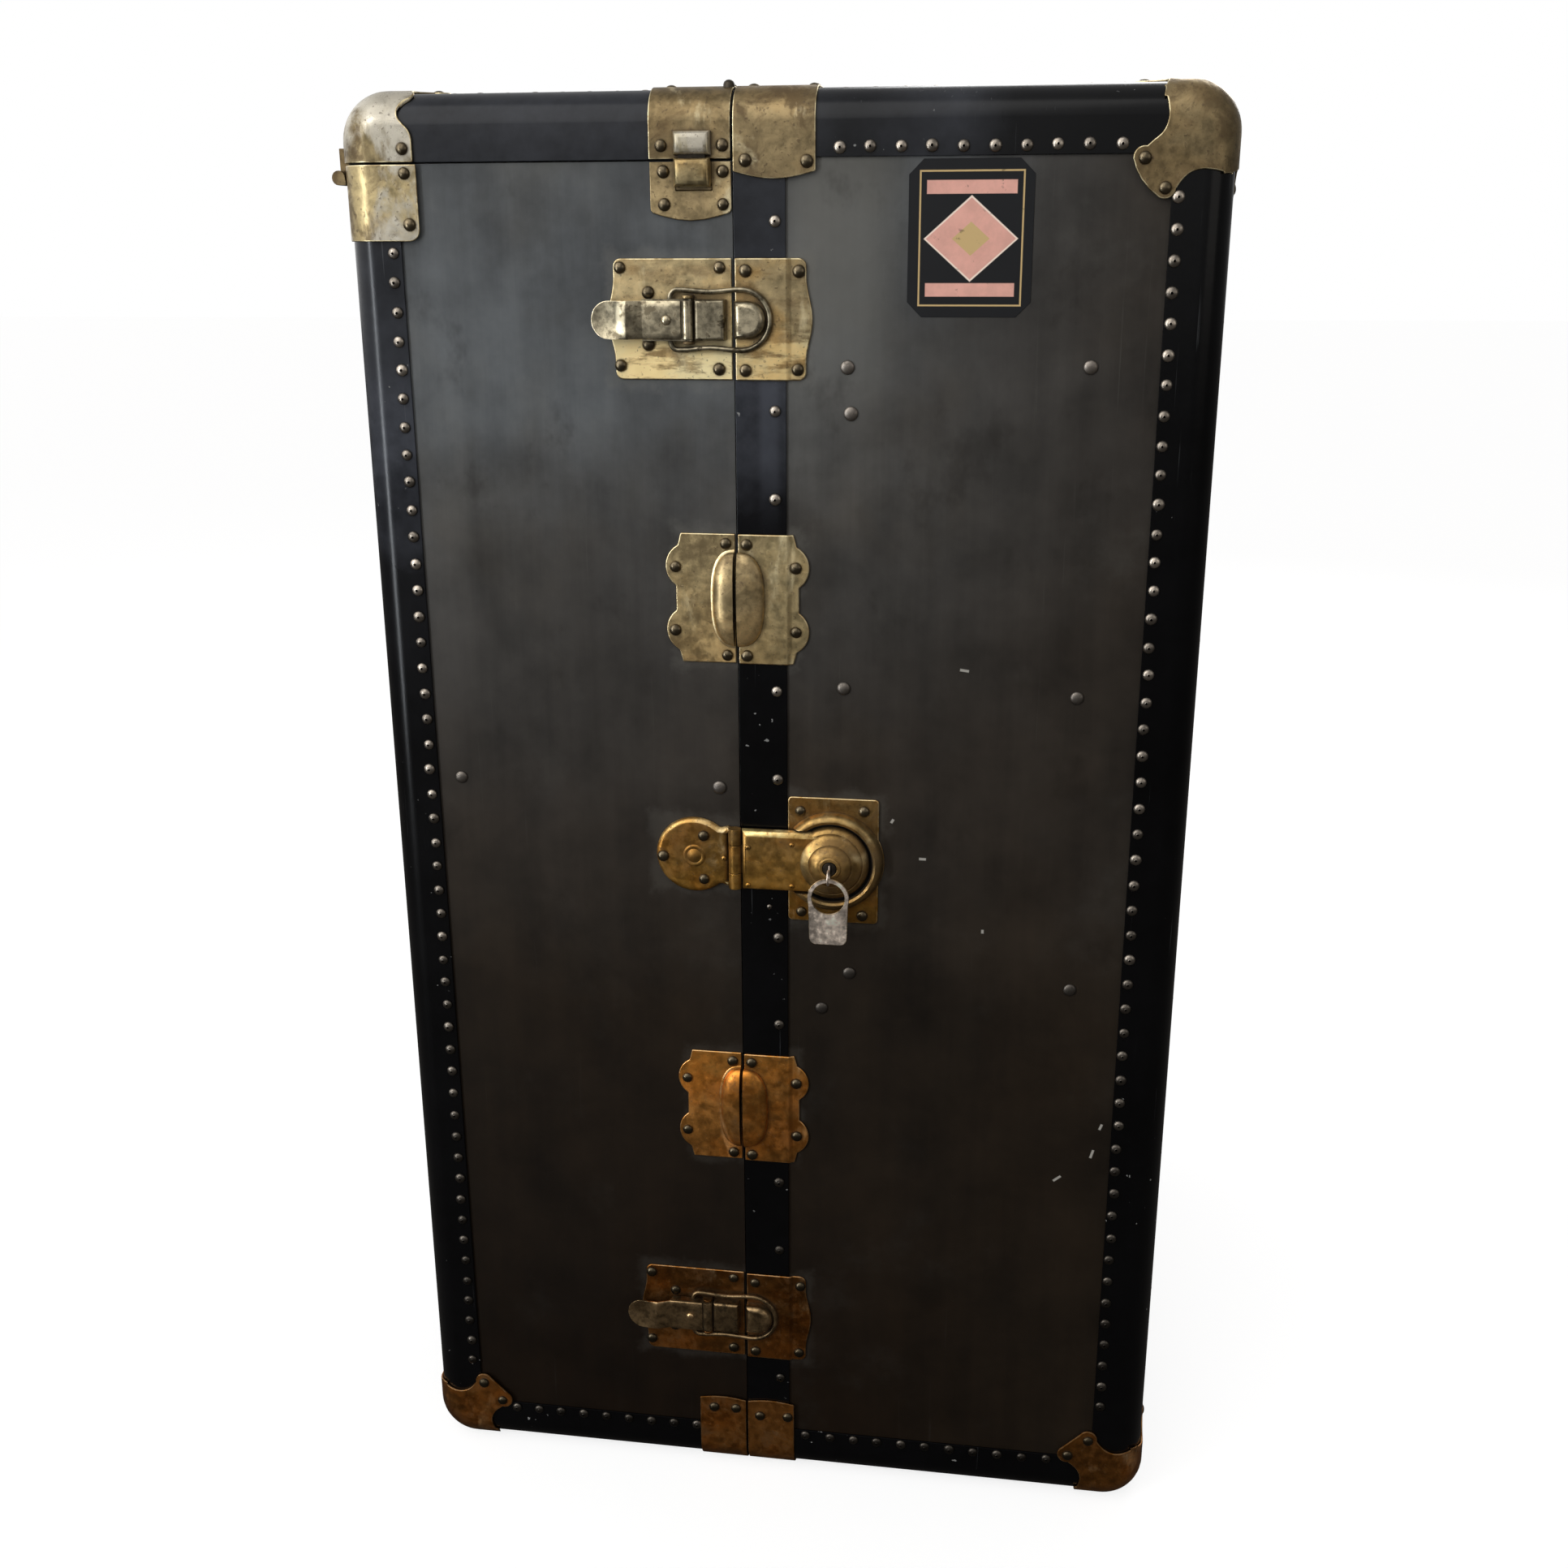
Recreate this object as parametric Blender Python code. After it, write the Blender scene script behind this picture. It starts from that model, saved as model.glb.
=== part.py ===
"""Wardrobe trunk standing upright: a drawer half and a hanger half hinged at the back."""

import math

import bmesh
import bpy
from mathutils import Matrix, Vector

MM = 0.001

# Body, measured over the fibre covered carcass
WIDTH = 558 * MM
DEPTH = 542 * MM
HEIGHT = 1016.6 * MM
WALL = 10 * MM
SEAM_X = -25 * MM
SEAM_GAP = 0.8 * MM
LID_HEIGHT = 40.4 * MM
LID_GAP = 0.8 * MM
CORNER_RADIUS = 28 * MM
EDGE_RADIUS = 18 * MM
CORNER_STEPS = 4
EDGE_STEPS = 3
INNER_CHAMFER = 8 * MM
GAP = 0.3 * MM
MERGE = 0.01 * MM

# Bindings and the brass that lies over them
BINDING_WIDTH = 36.4 * MM
TOP_BINDING_WIDTH = 41 * MM
BINDING_THICKNESS = 1.4 * MM
SEAM_STRIP_WIDTH = 34.5 * MM
CAP_THICKNESS = 1.8 * MM
SHEET = 1.4 * MM
CAP_REACH = 48 * MM
CAP_WAIST_IN = 4 * MM
CAP_WAIST_BOW = 1 * MM
CAP_WAIST_DROP = 19.6 * MM
CAP_FLARE = 3 * MM
CAP_FLARE_DROP = 7 * MM
CAP_LOBE_BEYOND = 6.9 * MM
CAP_LOBE_DROP = 39.3 * MM
CAP_LOBE_RADIUS = 6.7 * MM
CAP_LOBE_TURN = (-75, 45)
LID_CAP_WAIST = 39.5 * MM
LID_CAP_WAIST_DROP = 10.2 * MM
LID_CAP_WAIST_TURN = 3.5 * MM
LID_CAP_FLARE_DROP = 24 * MM
COLLAR_REACH = 50 * MM
COLLAR_HEIGHT = 47 * MM
CLAMP_WRAP = 45 * MM
TOP_CLAMP_WIDTH = 52 * MM
RIGHT_CLAMP_DROP = 50.6 * MM
BOTTOM_CLAMP_WIDTH = 37 * MM
BOTTOM_CLAMP_RISE = 60 * MM
CLAMP_BOW = 4 * MM
BOW_STEPS = 6

# Lid seam: tongue on the lid, pocket on the body
STRIKE_HEIGHT = 30 * MM
STRIKE_BOW = 5 * MM
LID_BLOCK_HEIGHT = 14 * MM
POCKET_WIDTH = 23.5 * MM
POCKET_LENGTH = 17 * MM
POCKET_HEIGHT = 9.5 * MM
POCKET_FROM_SEAM = 24 * MM
POCKET_WALL = 1.6 * MM
POCKET_BEVEL = 2 * MM
TONGUE_LENGTH = 12 * MM
TONGUE_PLAY = 0.9 * MM

# Lid hinge at the corner collars
LID_HINGE_DROP = 8 * MM
LID_HINGE_INSET = 12 * MM
LID_KNUCKLE = 10 * MM

# Every knuckle and its pin
KNUCKLE_RADIUS = 4.6 * MM
PIN_RADIUS = 2.2 * MM
PIN_PLAY = 0.3 * MM
PIN_INSET = 1 * MM

# Back hinges
HINGES_FROM_MIDDLE = {"lower": -322.1 * MM, "upper": 317.9 * MM}
HINGE_OUT = 7 * MM
HINGE_LENGTH = 72 * MM
HINGE_LEAF = 34 * MM
HINGE_WEB = 2 * MM

# Draw latches
LATCH_ABOVE_BOTTOM = 139.2 * MM
LATCH_BELOW_LID = 95.5 * MM
LATCH_PLATE_HEIGHT = 75 * MM
LATCH_PLATE_WIDTH = 78 * MM
KEEPER_PLATE_WIDTH = 46.5 * MM
PLATE_SET_BACK = 1.6 * MM
PLATE_BULGE = 3.5 * MM
PLATE_BULGE_HALF = 22 * MM
PLATE_CORNER = 5 * MM
LEVER_WIDTH = 25.6 * MM
LEVER_AXIS_X = 29 * MM
LEVER_AXIS_OUT = 7 * MM
LEVER_KNUCKLE = 3.6 * MM
LEVER_PIN = 1.6 * MM
LEVER_FLAT = 29 * MM
LEVER_KICK = 11 * MM
LEVER_REACH = 62 * MM
LEVER_RISE = 3.2 * MM
LEVER_END_RISE = 1.9 * MM
LEVER_SKIRT = 2.6 * MM
EAR_THICKNESS = 2 * MM
BLOCK_LENGTH = 19 * MM
BLOCK_WIDTH = 25.2 * MM
BLOCK_OUT = 10.2 * MM
BLOCK_BEVEL = 1.5 * MM
BLOCK_PLAY = 1 * MM
BAIL_ARM = 11.5 * MM
BAIL_OUT = 5.4 * MM
BAIL_WIRE = 1.55 * MM
BAIL_HALF = 18.6 * MM
BAIL_BEND = 3.6 * MM
BAIL_HOOK = 3 * MM
KEEPER_HALF = 11.7 * MM
KEEPER_REACH = 21 * MM
KEEPER_OUT = 11 * MM
KEEPER_SLOPE = 2.5 * MM
JOGGLE_PAST = 1 * MM

# Dowel plates
DOWELS_FROM_LOCK = {"lower": -197.5 * MM, "upper": 183.5 * MM}
DOWEL_PLATE_HEIGHT = 87.8 * MM
DOWEL_PLATE_WIDTH = 38 * MM
DOWEL_LOBE = 16 * MM
DOWEL_LOBE_IN = 5.4 * MM
DOWEL_LOBE_Z = 21.6 * MM
DOWEL_LOBE_TURN = (-62, 55)
DOME_HALF_WIDTH = 19.6 * MM
DOME_HALF_HEIGHT = 32 * MM
DOME_OUT = 10.5 * MM
DOWEL_TONGUE = 9 * MM
DOWEL_TONGUE_HALF = 14 * MM
DOWEL_TONGUE_THICKNESS = 3 * MM
DOWEL_TONGUE_OUT = 4 * MM
DOWEL_PLAY = 0.8 * MM

# Hasp lock
LOCK_ABOVE_MIDDLE = 8.4 * MM
LOCK_FROM_SEAM = 65 * MM
LOCK_PLATE_PLAY = 0.4 * MM
LOCK_PLATE_WIDTH = 62 * MM
LOCK_PLATE_HEIGHT = 92 * MM
SHROUD_RADIUS = 36 * MM
SHROUD_WALL = 6 * MM
SHROUD_OUT = 8.5 * MM
SHROUD_EDGE = 1 * MM
SHROUD_SLOPE = 3 * MM
SHROUD_FALL = 3.5 * MM
SHROUD_PLAY = 1.2 * MM
ARM_HALF = 22.2 * MM
ARM_END_RADIUS = 26.5 * MM
ARM_IN = 4.2 * MM
ARM_OUT = 10 * MM
ARM_SLOPE = 3.2 * MM
HASP_AXIS_FROM_SEAM = 3 * MM
HASP_AXIS_OUT = 6 * MM
HASP_ROUND_FROM_SEAM = 36 * MM
HASP_ROUND_RADIUS = 24.5 * MM
HASP_WAIST_FROM_SEAM = 20 * MM
HASP_WAIST_HALF = 17.8 * MM
HASP_BASE_OUT = 4.6 * MM
HASP_BASE_SLOPE = 2.4 * MM
HASP_SHOULDER = 5 * MM
HASP_SHOULDER_DROP = 1 * MM
HASP_ROUND_TURN = (50, 310)
HASP_KNUCKLE_HALF = 10.4 * MM
HASP_WEB = 2 * MM
POST_RADIUS = 5 * MM
POST_OUT = 7 * MM
POST_PLAY = 1.6 * MM
DISH_INSET = 4.9 * MM
DISH_RISE = 1.6 * MM
RING_RADIUS = 14.5 * MM
RING_RISE = 0.8 * MM
HUB_RADIUS = 11.4 * MM
HUB_RISE = 3.2 * MM
NOSE_RADIUS = 7.8 * MM
NOSE_RISE = 1.2 * MM
TIP_RISE = 1.6 * MM
STEP_DRAFT = 0.6 * MM
CYLINDER_RADIUS = 4.6 * MM
KEYWAY_WIDTH = 1.8 * MM
KEYWAY_HEIGHT = 6.6 * MM
KEYWAY_FLOOR = 2.5 * MM
KEY_OUT = 20.5 * MM
LOOP_RADIUS = 4.9 * MM
LOOP_WIRE = 0.8 * MM
LOOP_OUT = 24.5 * MM
LOOP_DROP = 4 * MM
FOB_RADIUS = 13.4 * MM
FOB_HOLE = 11 * MM
FOB_LENGTH = 35 * MM
FOB_THICKNESS = 1.4 * MM

# Carrying handles
HANDLE_ABOVE_MIDDLE = 47.9 * MM
HANDLE_SPAN = 150 * MM
HANDLE_DROP = 62 * MM
HANDLE_OUT = 10 * MM
HANDLE_ROLL = 6.2 * MM
HANDLE_ROLL_LENGTH = 24 * MM
HANDLE_BORE = 3.1 * MM
HANDLE_PIN = 2.6 * MM
GRIP_RADIUS = 8 * MM
GRIP_NECK = 5 * MM
GRIP_SQUARENESS = 2.9
GRIP_STEPS = 12
LOOP_PLATE_HEIGHT = 48 * MM
LOOP_PLATE_MARGIN = 3 * MM
LOOP_EAR = 5.2 * MM

# Drawer half fittings
LIP_REACH = 6 * MM
LIP_THICKNESS = 2 * MM
LIP_SEAT = 30 * MM
LIP_PLAY = 0.5 * MM
TOP_COMPARTMENT = 152.4 * MM
RACK_SIDE = 8 * MM
RACK_SHELF = 6 * MM
RACK_SET_BACK = 3 * MM
RACK_BEHIND = 11.6 * MM
DRAWERS = 4
DRAWER_WALL = 7 * MM
DRAWER_FRONT = 12 * MM
DRAWER_FLOOR = 5 * MM
DRAWER_PLAY = 1 * MM
KNOB_RADIUS = 9 * MM
KNOB_FACE = 7.2 * MM
KNOB_NECK = 4.5 * MM
KNOB_OUT = 16 * MM

# Hanger half fittings
ROD_BELOW_LID = 26 * MM
ROD_RADIUS = 5 * MM
ROD_FROM_WALL = 6 * MM
ROD_FROM_EDGE = 12.6 * MM
ROD_STOP = 8 * MM
SLEEVE_RADIUS = 8.5 * MM
SLEEVE_TO_HANGER = 24.7 * MM
SLEEVE_FLANGE = 56 * MM
SLEEVE_FLANGE_RISE = 20 * MM
SLEEVE_FLANGE_THICKNESS = 3 * MM
HANGERS_FROM_END = {"inner": 58 * MM, "outer": 24 * MM}
HANGER_WIRE = 1.6 * MM
HANGER_STEM = 42 * MM
HANGER_HALF = 205 * MM
HANGER_FALL = 34 * MM
HANGER_CURVE = 1.6
HANGER_STEPS = 12
HANGER_NECK = 4 * MM
HANGER_HOOK_TURN = (20, 290)
HANGER_RADIUS = 7 * MM

# Places worked out from the sizes above
BINDING_OUT = GAP + BINDING_THICKNESS
OVER_BINDING = BINDING_OUT + GAP
CAP_OUT = OVER_BINDING + CAP_THICKNESS
SHEET_OUT = OVER_BINDING + SHEET
PLATE_OUT = GAP + SHEET
LID_HINGE_OUT = SHEET_OUT + GAP + KNUCKLE_RADIUS
BOSS_OUT = ARM_OUT + DISH_RISE + RING_RISE + HUB_RISE + NOSE_RISE + TIP_RISE
FRONT_PROUD = LOOP_OUT + LOOP_RADIUS + LOOP_WIRE
BACK_PROUD = HINGE_OUT + KNUCKLE_RADIUS
FRONT = (FRONT_PROUD - DEPTH - BACK_PROUD) / 2
BACK = FRONT + DEPTH
BOTTOM = CAP_OUT
TOP = BOTTOM + HEIGHT
SIDE = WIDTH / 2
MIDDLE = Vector((0, (FRONT + BACK) / 2, (BOTTOM + TOP) / 2))
RIGHT_EDGE = SEAM_X + SEAM_GAP / 2
LEFT_EDGE = SEAM_X - SEAM_GAP / 2
STRIP_EDGE = RIGHT_EDGE + SEAM_STRIP_WIDTH
LID_SEAM_Z = TOP - LID_HEIGHT
LATCH_HEIGHTS = {"lower": BOTTOM + LATCH_ABOVE_BOTTOM, "upper": LID_SEAM_Z - LATCH_BELOW_LID}
HINGE_HEIGHTS = {level: MIDDLE.z + rise for level, rise in HINGES_FROM_MIDDLE.items()}
LOCK_Z = MIDDLE.z + LOCK_ABOVE_MIDDLE
LOCK_X = SEAM_X + LOCK_FROM_SEAM
DOWEL_HEIGHTS = {level: LOCK_Z + rise for level, rise in DOWELS_FROM_LOCK.items()}
HASP_AXIS_X = SEAM_X - HASP_AXIS_FROM_SEAM
HANDLE_Z = MIDDLE.z + HANDLE_ABOVE_MIDDLE
RACK_TOP = TOP - WALL - TOP_COMPARTMENT
ROD_Z = LID_SEAM_Z - ROD_BELOW_LID
ROD_END_X = LEFT_EDGE - ROD_FROM_EDGE
FAR = 1.0

BRASS = ("aged brass", (0.36, 0.27, 0.12, 1), 0.38, 1.0)
STEEL = ("nickel plate", (0.42, 0.39, 0.33, 1), 0.32, 1.0)
FIBRE = ("grey vulcanised fibre", (0.07, 0.075, 0.08, 1), 0.62, 0.0)
BINDING = ("black fibre binding", (0.012, 0.014, 0.02, 1), 0.3, 0.0)
WOOD = ("varnished wood", (0.33, 0.18, 0.08, 1), 0.45, 0.0)
PLYWOOD = ("lined plywood", (0.28, 0.22, 0.16, 1), 0.7, 0.0)
LEATHER = ("brown leather", (0.09, 0.04, 0.02, 1), 0.55, 0.0)


def clear_scene():
    """Remove what the new file holds."""
    for thing in list(bpy.data.objects):
        bpy.data.objects.remove(thing, do_unlink=True)


def collection(name):
    made = bpy.data.collections.new(name)
    bpy.context.scene.collection.children.link(made)
    return made


def material(look):
    """One Principled material for each object, named for its look."""
    name, colour, roughness, metallic = look
    made = bpy.data.materials.new(name)
    made.use_nodes = True
    shader = made.node_tree.nodes["Principled BSDF"]
    shader.inputs["Base Color"].default_value = colour
    shader.inputs["Roughness"].default_value = roughness
    shader.inputs["Metallic"].default_value = metallic
    made.diffuse_color = colour
    return made


def to_mesh(name, shape):
    """Write a bmesh into a mesh with its normals pointing out."""
    bmesh.ops.recalc_face_normals(shape, faces=shape.faces)
    mesh = bpy.data.meshes.new(name)
    shape.to_mesh(mesh)
    shape.free()
    return mesh


def empty(name, place, parent=None):
    made = bpy.data.objects.new(name, None)
    PARTS.objects.link(made)
    made.parent = parent
    made.location = place
    if parent:
        made.location = Vector(place) - world_place(parent)
    return made


def world_place(thing):
    """Where an object stands when no parent is turned."""
    place = Vector((0, 0, 0))
    while thing:
        place += thing.location
        thing = thing.parent
    return place


def piece(name, shape, look, parent, place):
    """A named sub-part whose own frame stands at a world place."""
    made = bpy.data.objects.new(name, to_mesh(name, shape))
    made.data.materials.append(material(look))
    PARTS.objects.link(made)
    made.parent = parent
    made.location = Vector(place) - world_place(parent)
    return made


def hidden(label, shape, target):
    """A cutter in the frame of the piece that it works on."""
    cutter = bpy.data.objects.new(label, to_mesh(label, shape))
    cutter.hide_render = True
    cutter.display_type = "WIRE"
    CUTTERS.objects.link(cutter)
    cutter.parent = target.parent
    cutter.location = target.location
    return cutter


def work_on(target, shape, operation):
    """Add a Boolean; the shape may be an object that has cuts of its own."""
    label = f"{target.name}_{operation.lower()}_{len(target.modifiers)}"
    cutter = shape
    if isinstance(shape, bmesh.types.BMesh):
        cutter = hidden(label, shape, target)
    step = target.modifiers.new(label, "BOOLEAN")
    step.operation = operation
    step.solver = "EXACT"
    step.object = cutter
    return target


def cut(target, shape):
    return work_on(target, shape, "DIFFERENCE")


def join(target, shape):
    return work_on(target, shape, "UNION")


def keep(target, shape):
    return work_on(target, shape, "INTERSECT")


def box(x, y, z):
    """A box from three (low, high) ranges."""
    shape = bmesh.new()
    low = Vector((min(x), min(y), min(z)))
    high = Vector((max(x), max(y), max(z)))
    size = Matrix.Diagonal((*(high - low), 1))
    bmesh.ops.create_cube(shape, size=1, matrix=Matrix.Translation((low + high) / 2) @ size)
    return shape


def bevel_where(shape, test, width, steps=1):
    """Bevel the edges whose two ends pass a test."""
    edges = [e for e in shape.edges if all(test(v.co) for v in e.verts)]
    bmesh.ops.bevel(
        shape, geom=edges, offset=width, offset_type="OFFSET", segments=steps,
        profile=0.5, affect="EDGES", clamp_overlap=False,
    )
    return shape


TURNS = {
    "X": Matrix.Rotation(math.pi / 2, 4, "Y"),
    "Y": Matrix.Rotation(-math.pi / 2, 4, "X"),
    "Z": Matrix.Identity(4),
}
ALONG = {"X": Vector((1, 0, 0)), "Y": Vector((0, 1, 0)), "Z": Vector((0, 0, 1))}


def rod(axis, centre, low, high, radius, sides=16, end_radius=None):
    """A cylinder or cone along an axis, from low to high on that axis."""
    shape = bmesh.new()
    middle = Vector(centre) + ALONG[axis] * (low + high) / 2
    bmesh.ops.create_cone(
        shape, cap_ends=True, segments=sides, radius1=radius,
        radius2=radius if end_radius is None else end_radius, depth=high - low,
        matrix=Matrix.Translation(middle) @ TURNS[axis],
    )
    return shape


def prism(axis, outline, low, high):
    """An outline extruded along an axis; its points are the two other coordinates."""
    places = {
        "X": lambda u, v: (low, u, v),
        "Y": lambda u, v: (u, low, v),
        "Z": lambda u, v: (u, v, low),
    }
    shape = bmesh.new()
    face = shape.faces.new([shape.verts.new(places[axis](u, v)) for u, v in outline])
    grown = bmesh.ops.extrude_face_region(shape, geom=[face])["geom"]
    verts = [g for g in grown if isinstance(g, bmesh.types.BMVert)]
    bmesh.ops.translate(shape, verts=verts, vec=ALONG[axis] * (high - low))
    return shape


def arc(centre, radius, start, end, steps):
    """Points on an arc, angles in degrees."""
    turn = [math.radians(start + (end - start) * i / steps) for i in range(steps + 1)]
    return [(centre[0] + radius * math.cos(a), centre[1] + radius * math.sin(a)) for a in turn]


def mirrored(outline):
    return [(-u, v) for u, v in reversed(outline)]


def turned(profile, sides=24):
    """A profile of (radius, out) turned round the outward axis of a front fitting."""
    shape = bmesh.new()
    verts = [shape.verts.new((r, -out, 0)) for r, out in profile]
    edges = [shape.edges.new(pair) for pair in zip(verts, verts[1:])]
    bmesh.ops.spin(
        shape, geom=verts + edges, cent=(0, 0, 0), axis=(0, 1, 0),
        angle=2 * math.pi, steps=sides, use_merge=True,
    )
    bmesh.ops.remove_doubles(shape, verts=shape.verts, dist=MERGE)
    return shape


def tube(points, radius, sides_step=2, radii=None, closed=False):
    """A bevelled curve through points, as a closed bmesh."""
    curve = bpy.data.curves.new("tube", "CURVE")
    curve.dimensions = "3D"
    curve.bevel_depth = radius
    curve.bevel_resolution = sides_step
    curve.use_fill_caps = not closed
    spline = curve.splines.new("POLY")
    spline.points.add(len(points) - 1)
    for i, (target, place) in enumerate(zip(spline.points, points)):
        target.co = (*place, 1)
        target.radius = radii[i] if radii else 1
    spline.use_cyclic_u = closed
    holder = bpy.data.objects.new("tube", curve)
    bpy.context.scene.collection.objects.link(holder)
    graph = bpy.context.evaluated_depsgraph_get()
    mesh = bpy.data.meshes.new_from_object(holder.evaluated_get(graph))
    bpy.data.objects.remove(holder)
    shape = bmesh.new()
    shape.from_mesh(mesh)
    bpy.data.meshes.remove(mesh)
    bmesh.ops.remove_doubles(shape, verts=shape.verts, dist=MERGE)
    return shape


def form(out):
    """The trunk's rounded block, grown outwards by a distance."""
    half = Vector((WIDTH, DEPTH, HEIGHT)) / 2 + Vector((out, out, out))
    low, high = MIDDLE - half, MIDDLE + half
    shape = box((low.x, high.x), (low.y, high.y), (low.z, high.z))
    bmesh.ops.bevel(
        shape, geom=[e for e in shape.edges if abs(e.verts[0].co.y - e.verts[1].co.y) > half.y],
        offset=CORNER_RADIUS + out, segments=CORNER_STEPS, profile=0.5, affect="EDGES",
    )
    for side in (low.y, high.y):
        bevel_where(shape, lambda co, s=side: abs(co.y - s) < GAP, EDGE_RADIUS + out, EDGE_STEPS)
    return shape


def layer(name, inside, outside, bounds, look, parent):
    """A piece of the layer between two distances, kept inside bounds."""
    made = piece(name, form(outside), look, parent, (0, 0, 0))
    cut(made, form(inside))
    return keep(made, bounds)


RIGHT_SPAN = (RIGHT_EDGE, FAR)
LEFT_SPAN = (-FAR, LEFT_EDGE)
BODY_SPAN = (-FAR, LID_SEAM_Z - LID_GAP / 2)
LID_SPAN = (LID_SEAM_Z + LID_GAP / 2, FAR + FAR)
EVERYWHERE = (-FAR, FAR + FAR)
HOLLOW_Y = (FRONT + WALL, BACK - WALL)
HOLLOW_Z = (BOTTOM + WALL, TOP - WALL)


def hollow(x, z):
    """The inside of a half, with its long corners taken off."""
    shape = box(x, HOLLOW_Y, z)
    along = [e for e in shape.edges if abs(e.verts[0].co.y - e.verts[1].co.y) > GAP]
    bmesh.ops.bevel(shape, geom=along, offset=INNER_CHAMFER, segments=1, affect="EDGES")
    return shape


def shells(drawer_half, hanger_half, lid):
    """The three covered carcasses, open at the seams."""
    right = piece("right_shell", form(0), FIBRE, drawer_half, (0, 0, 0))
    keep(right, box(RIGHT_SPAN, EVERYWHERE, EVERYWHERE))
    cut(right, hollow((RIGHT_EDGE - 2 * WALL, SIDE - WALL), HOLLOW_Z))
    left = piece("left_shell", form(0), FIBRE, hanger_half, (0, 0, 0))
    keep(left, box(LEFT_SPAN, EVERYWHERE, BODY_SPAN))
    cut(left, hollow((WALL - SIDE, LEFT_EDGE + 2 * WALL), (HOLLOW_Z[0], TOP + WALL)))
    cover = piece("lid_shell", form(0), FIBRE, lid, (0, 0, 0))
    keep(cover, box(LEFT_SPAN, EVERYWHERE, LID_SPAN))
    cut(cover, hollow((WALL - SIDE, LEFT_EDGE + 2 * WALL), (BOTTOM, HOLLOW_Z[1])))


def bindings(drawer_half, hanger_half, lid):
    """Edge bindings: the outer layer with a window left over each panel."""
    near, far = FRONT + BINDING_WIDTH, BACK - BINDING_WIDTH
    low, high = BOTTOM + BINDING_WIDTH, TOP - TOP_BINDING_WIDTH
    edge = SIDE - BINDING_WIDTH
    jobs = {
        "right_binding": (drawer_half, RIGHT_SPAN, EVERYWHERE, (STRIP_EDGE, edge), (low, high)),
        "left_binding": (hanger_half, LEFT_SPAN, BODY_SPAN, (-edge, 0), (low, TOP)),
        "lid_binding": (lid, LEFT_SPAN, LID_SPAN, (-edge, 0), None),
    }
    for name, (body, span, heights, across, up) in jobs.items():
        made = layer(name, GAP, BINDING_OUT, box(span, EVERYWHERE, heights), BINDING, body)
        cut(made, box(across, (near, far), EVERYWHERE))
        if up:
            cut(made, box(across, EVERYWHERE, up))
            cut(made, box(span, (near, far), up))


def corner_outline():
    """One face of a corner cap, from the corner at (0, 0) inwards."""
    waist = CAP_REACH - CAP_WAIST_IN
    half = [(CAP_REACH, 0), (waist + CAP_WAIST_BOW, CAP_WAIST_DROP / 2), (waist, CAP_WAIST_DROP)]
    half.append((waist + CAP_FLARE, CAP_WAIST_DROP + CAP_FLARE_DROP))
    half += arc((CAP_REACH + CAP_LOBE_BEYOND, CAP_LOBE_DROP), CAP_LOBE_RADIUS, *CAP_LOBE_TURN, 4)
    return [(0, 0), *half, *[(v, u) for u, v in reversed(half)]]


def lid_outline():
    """One upright face of a lid cap: waisted near the top, then straight past the seam."""
    turn = LID_CAP_WAIST_TURN
    edge = [(CAP_REACH, 0), (LID_CAP_WAIST + turn, turn), (LID_CAP_WAIST, LID_CAP_WAIST_DROP - turn / 2)]
    edge += [(LID_CAP_WAIST, LID_CAP_WAIST_DROP + turn / 2)]
    edge += [(CAP_REACH, LID_CAP_FLARE_DROP), (CAP_REACH, LID_HEIGHT + WALL)]
    return [(0, 0), *edge, (0, LID_HEIGHT + WALL)]


def corner_cap(name, right, front, top, body, upright, bounds=None):
    """A cap over one corner: an outline on its two upright faces, the lobed one on the flat."""
    x_out = SIDE if right else -SIDE
    y_out = FRONT if front else BACK
    z_out = TOP if top else BOTTOM
    x_in, y_in, z_in = (-1 if right else 1), (1 if front else -1), (-1 if top else 1)
    margin = CAP_OUT + WALL
    deep = CORNER_RADIUS + WALL
    points, flat = [[(u if u > 0 else -margin, v if v > 0 else -margin) for u, v in outline]
                    for outline in (upright, corner_outline())]
    face_y = prism("Y", [(x_out + x_in * u, z_out + z_in * v) for u, v in points],
                   y_out - y_in * margin, y_out + y_in * deep)
    face_x = prism("X", [(y_out + y_in * u, z_out + z_in * v) for u, v in points],
                   x_out - x_in * margin, x_out + x_in * deep)
    face_z = prism("Z", [(x_out + x_in * u, y_out + y_in * v) for u, v in flat],
                   z_out - z_in * margin, z_out + z_in * deep)
    made = piece(name, form(CAP_OUT), BRASS, body, (0, 0, 0))
    cut(made, form(OVER_BINDING))
    across = (x_out - x_in * margin, x_out + x_in * 2 * CAP_REACH)
    along = (y_out - y_in * margin, y_out + y_in * 2 * CAP_REACH)
    up = (z_out - z_in * margin, z_out + z_in * 2 * CAP_REACH)
    keep(made, box(across, along, up))
    faces = hidden(f"{name}_outline", face_y, made)
    join(faces, face_x)
    join(faces, face_z)
    keep(made, faces)
    if bounds:
        keep(made, bounds)
    return made


def corner_caps(drawer_half, hanger_half, lid):
    caps = {}
    lobed = corner_outline()
    for depth, front in (("front", True), ("back", False)):
        for level, top in (("top", True), ("bottom", False)):
            corner_cap(f"right_cap_{level}_{depth}", True, front, top, drawer_half, lobed)
        corner_cap(f"left_cap_bottom_{depth}", False, front, False, hanger_half, lobed)
        bounds = box(LEFT_SPAN, EVERYWHERE, LID_SPAN)
        caps[depth] = corner_cap(f"lid_cap_{depth}", False, front, True, lid, lid_outline(), bounds)
    return caps


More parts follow.
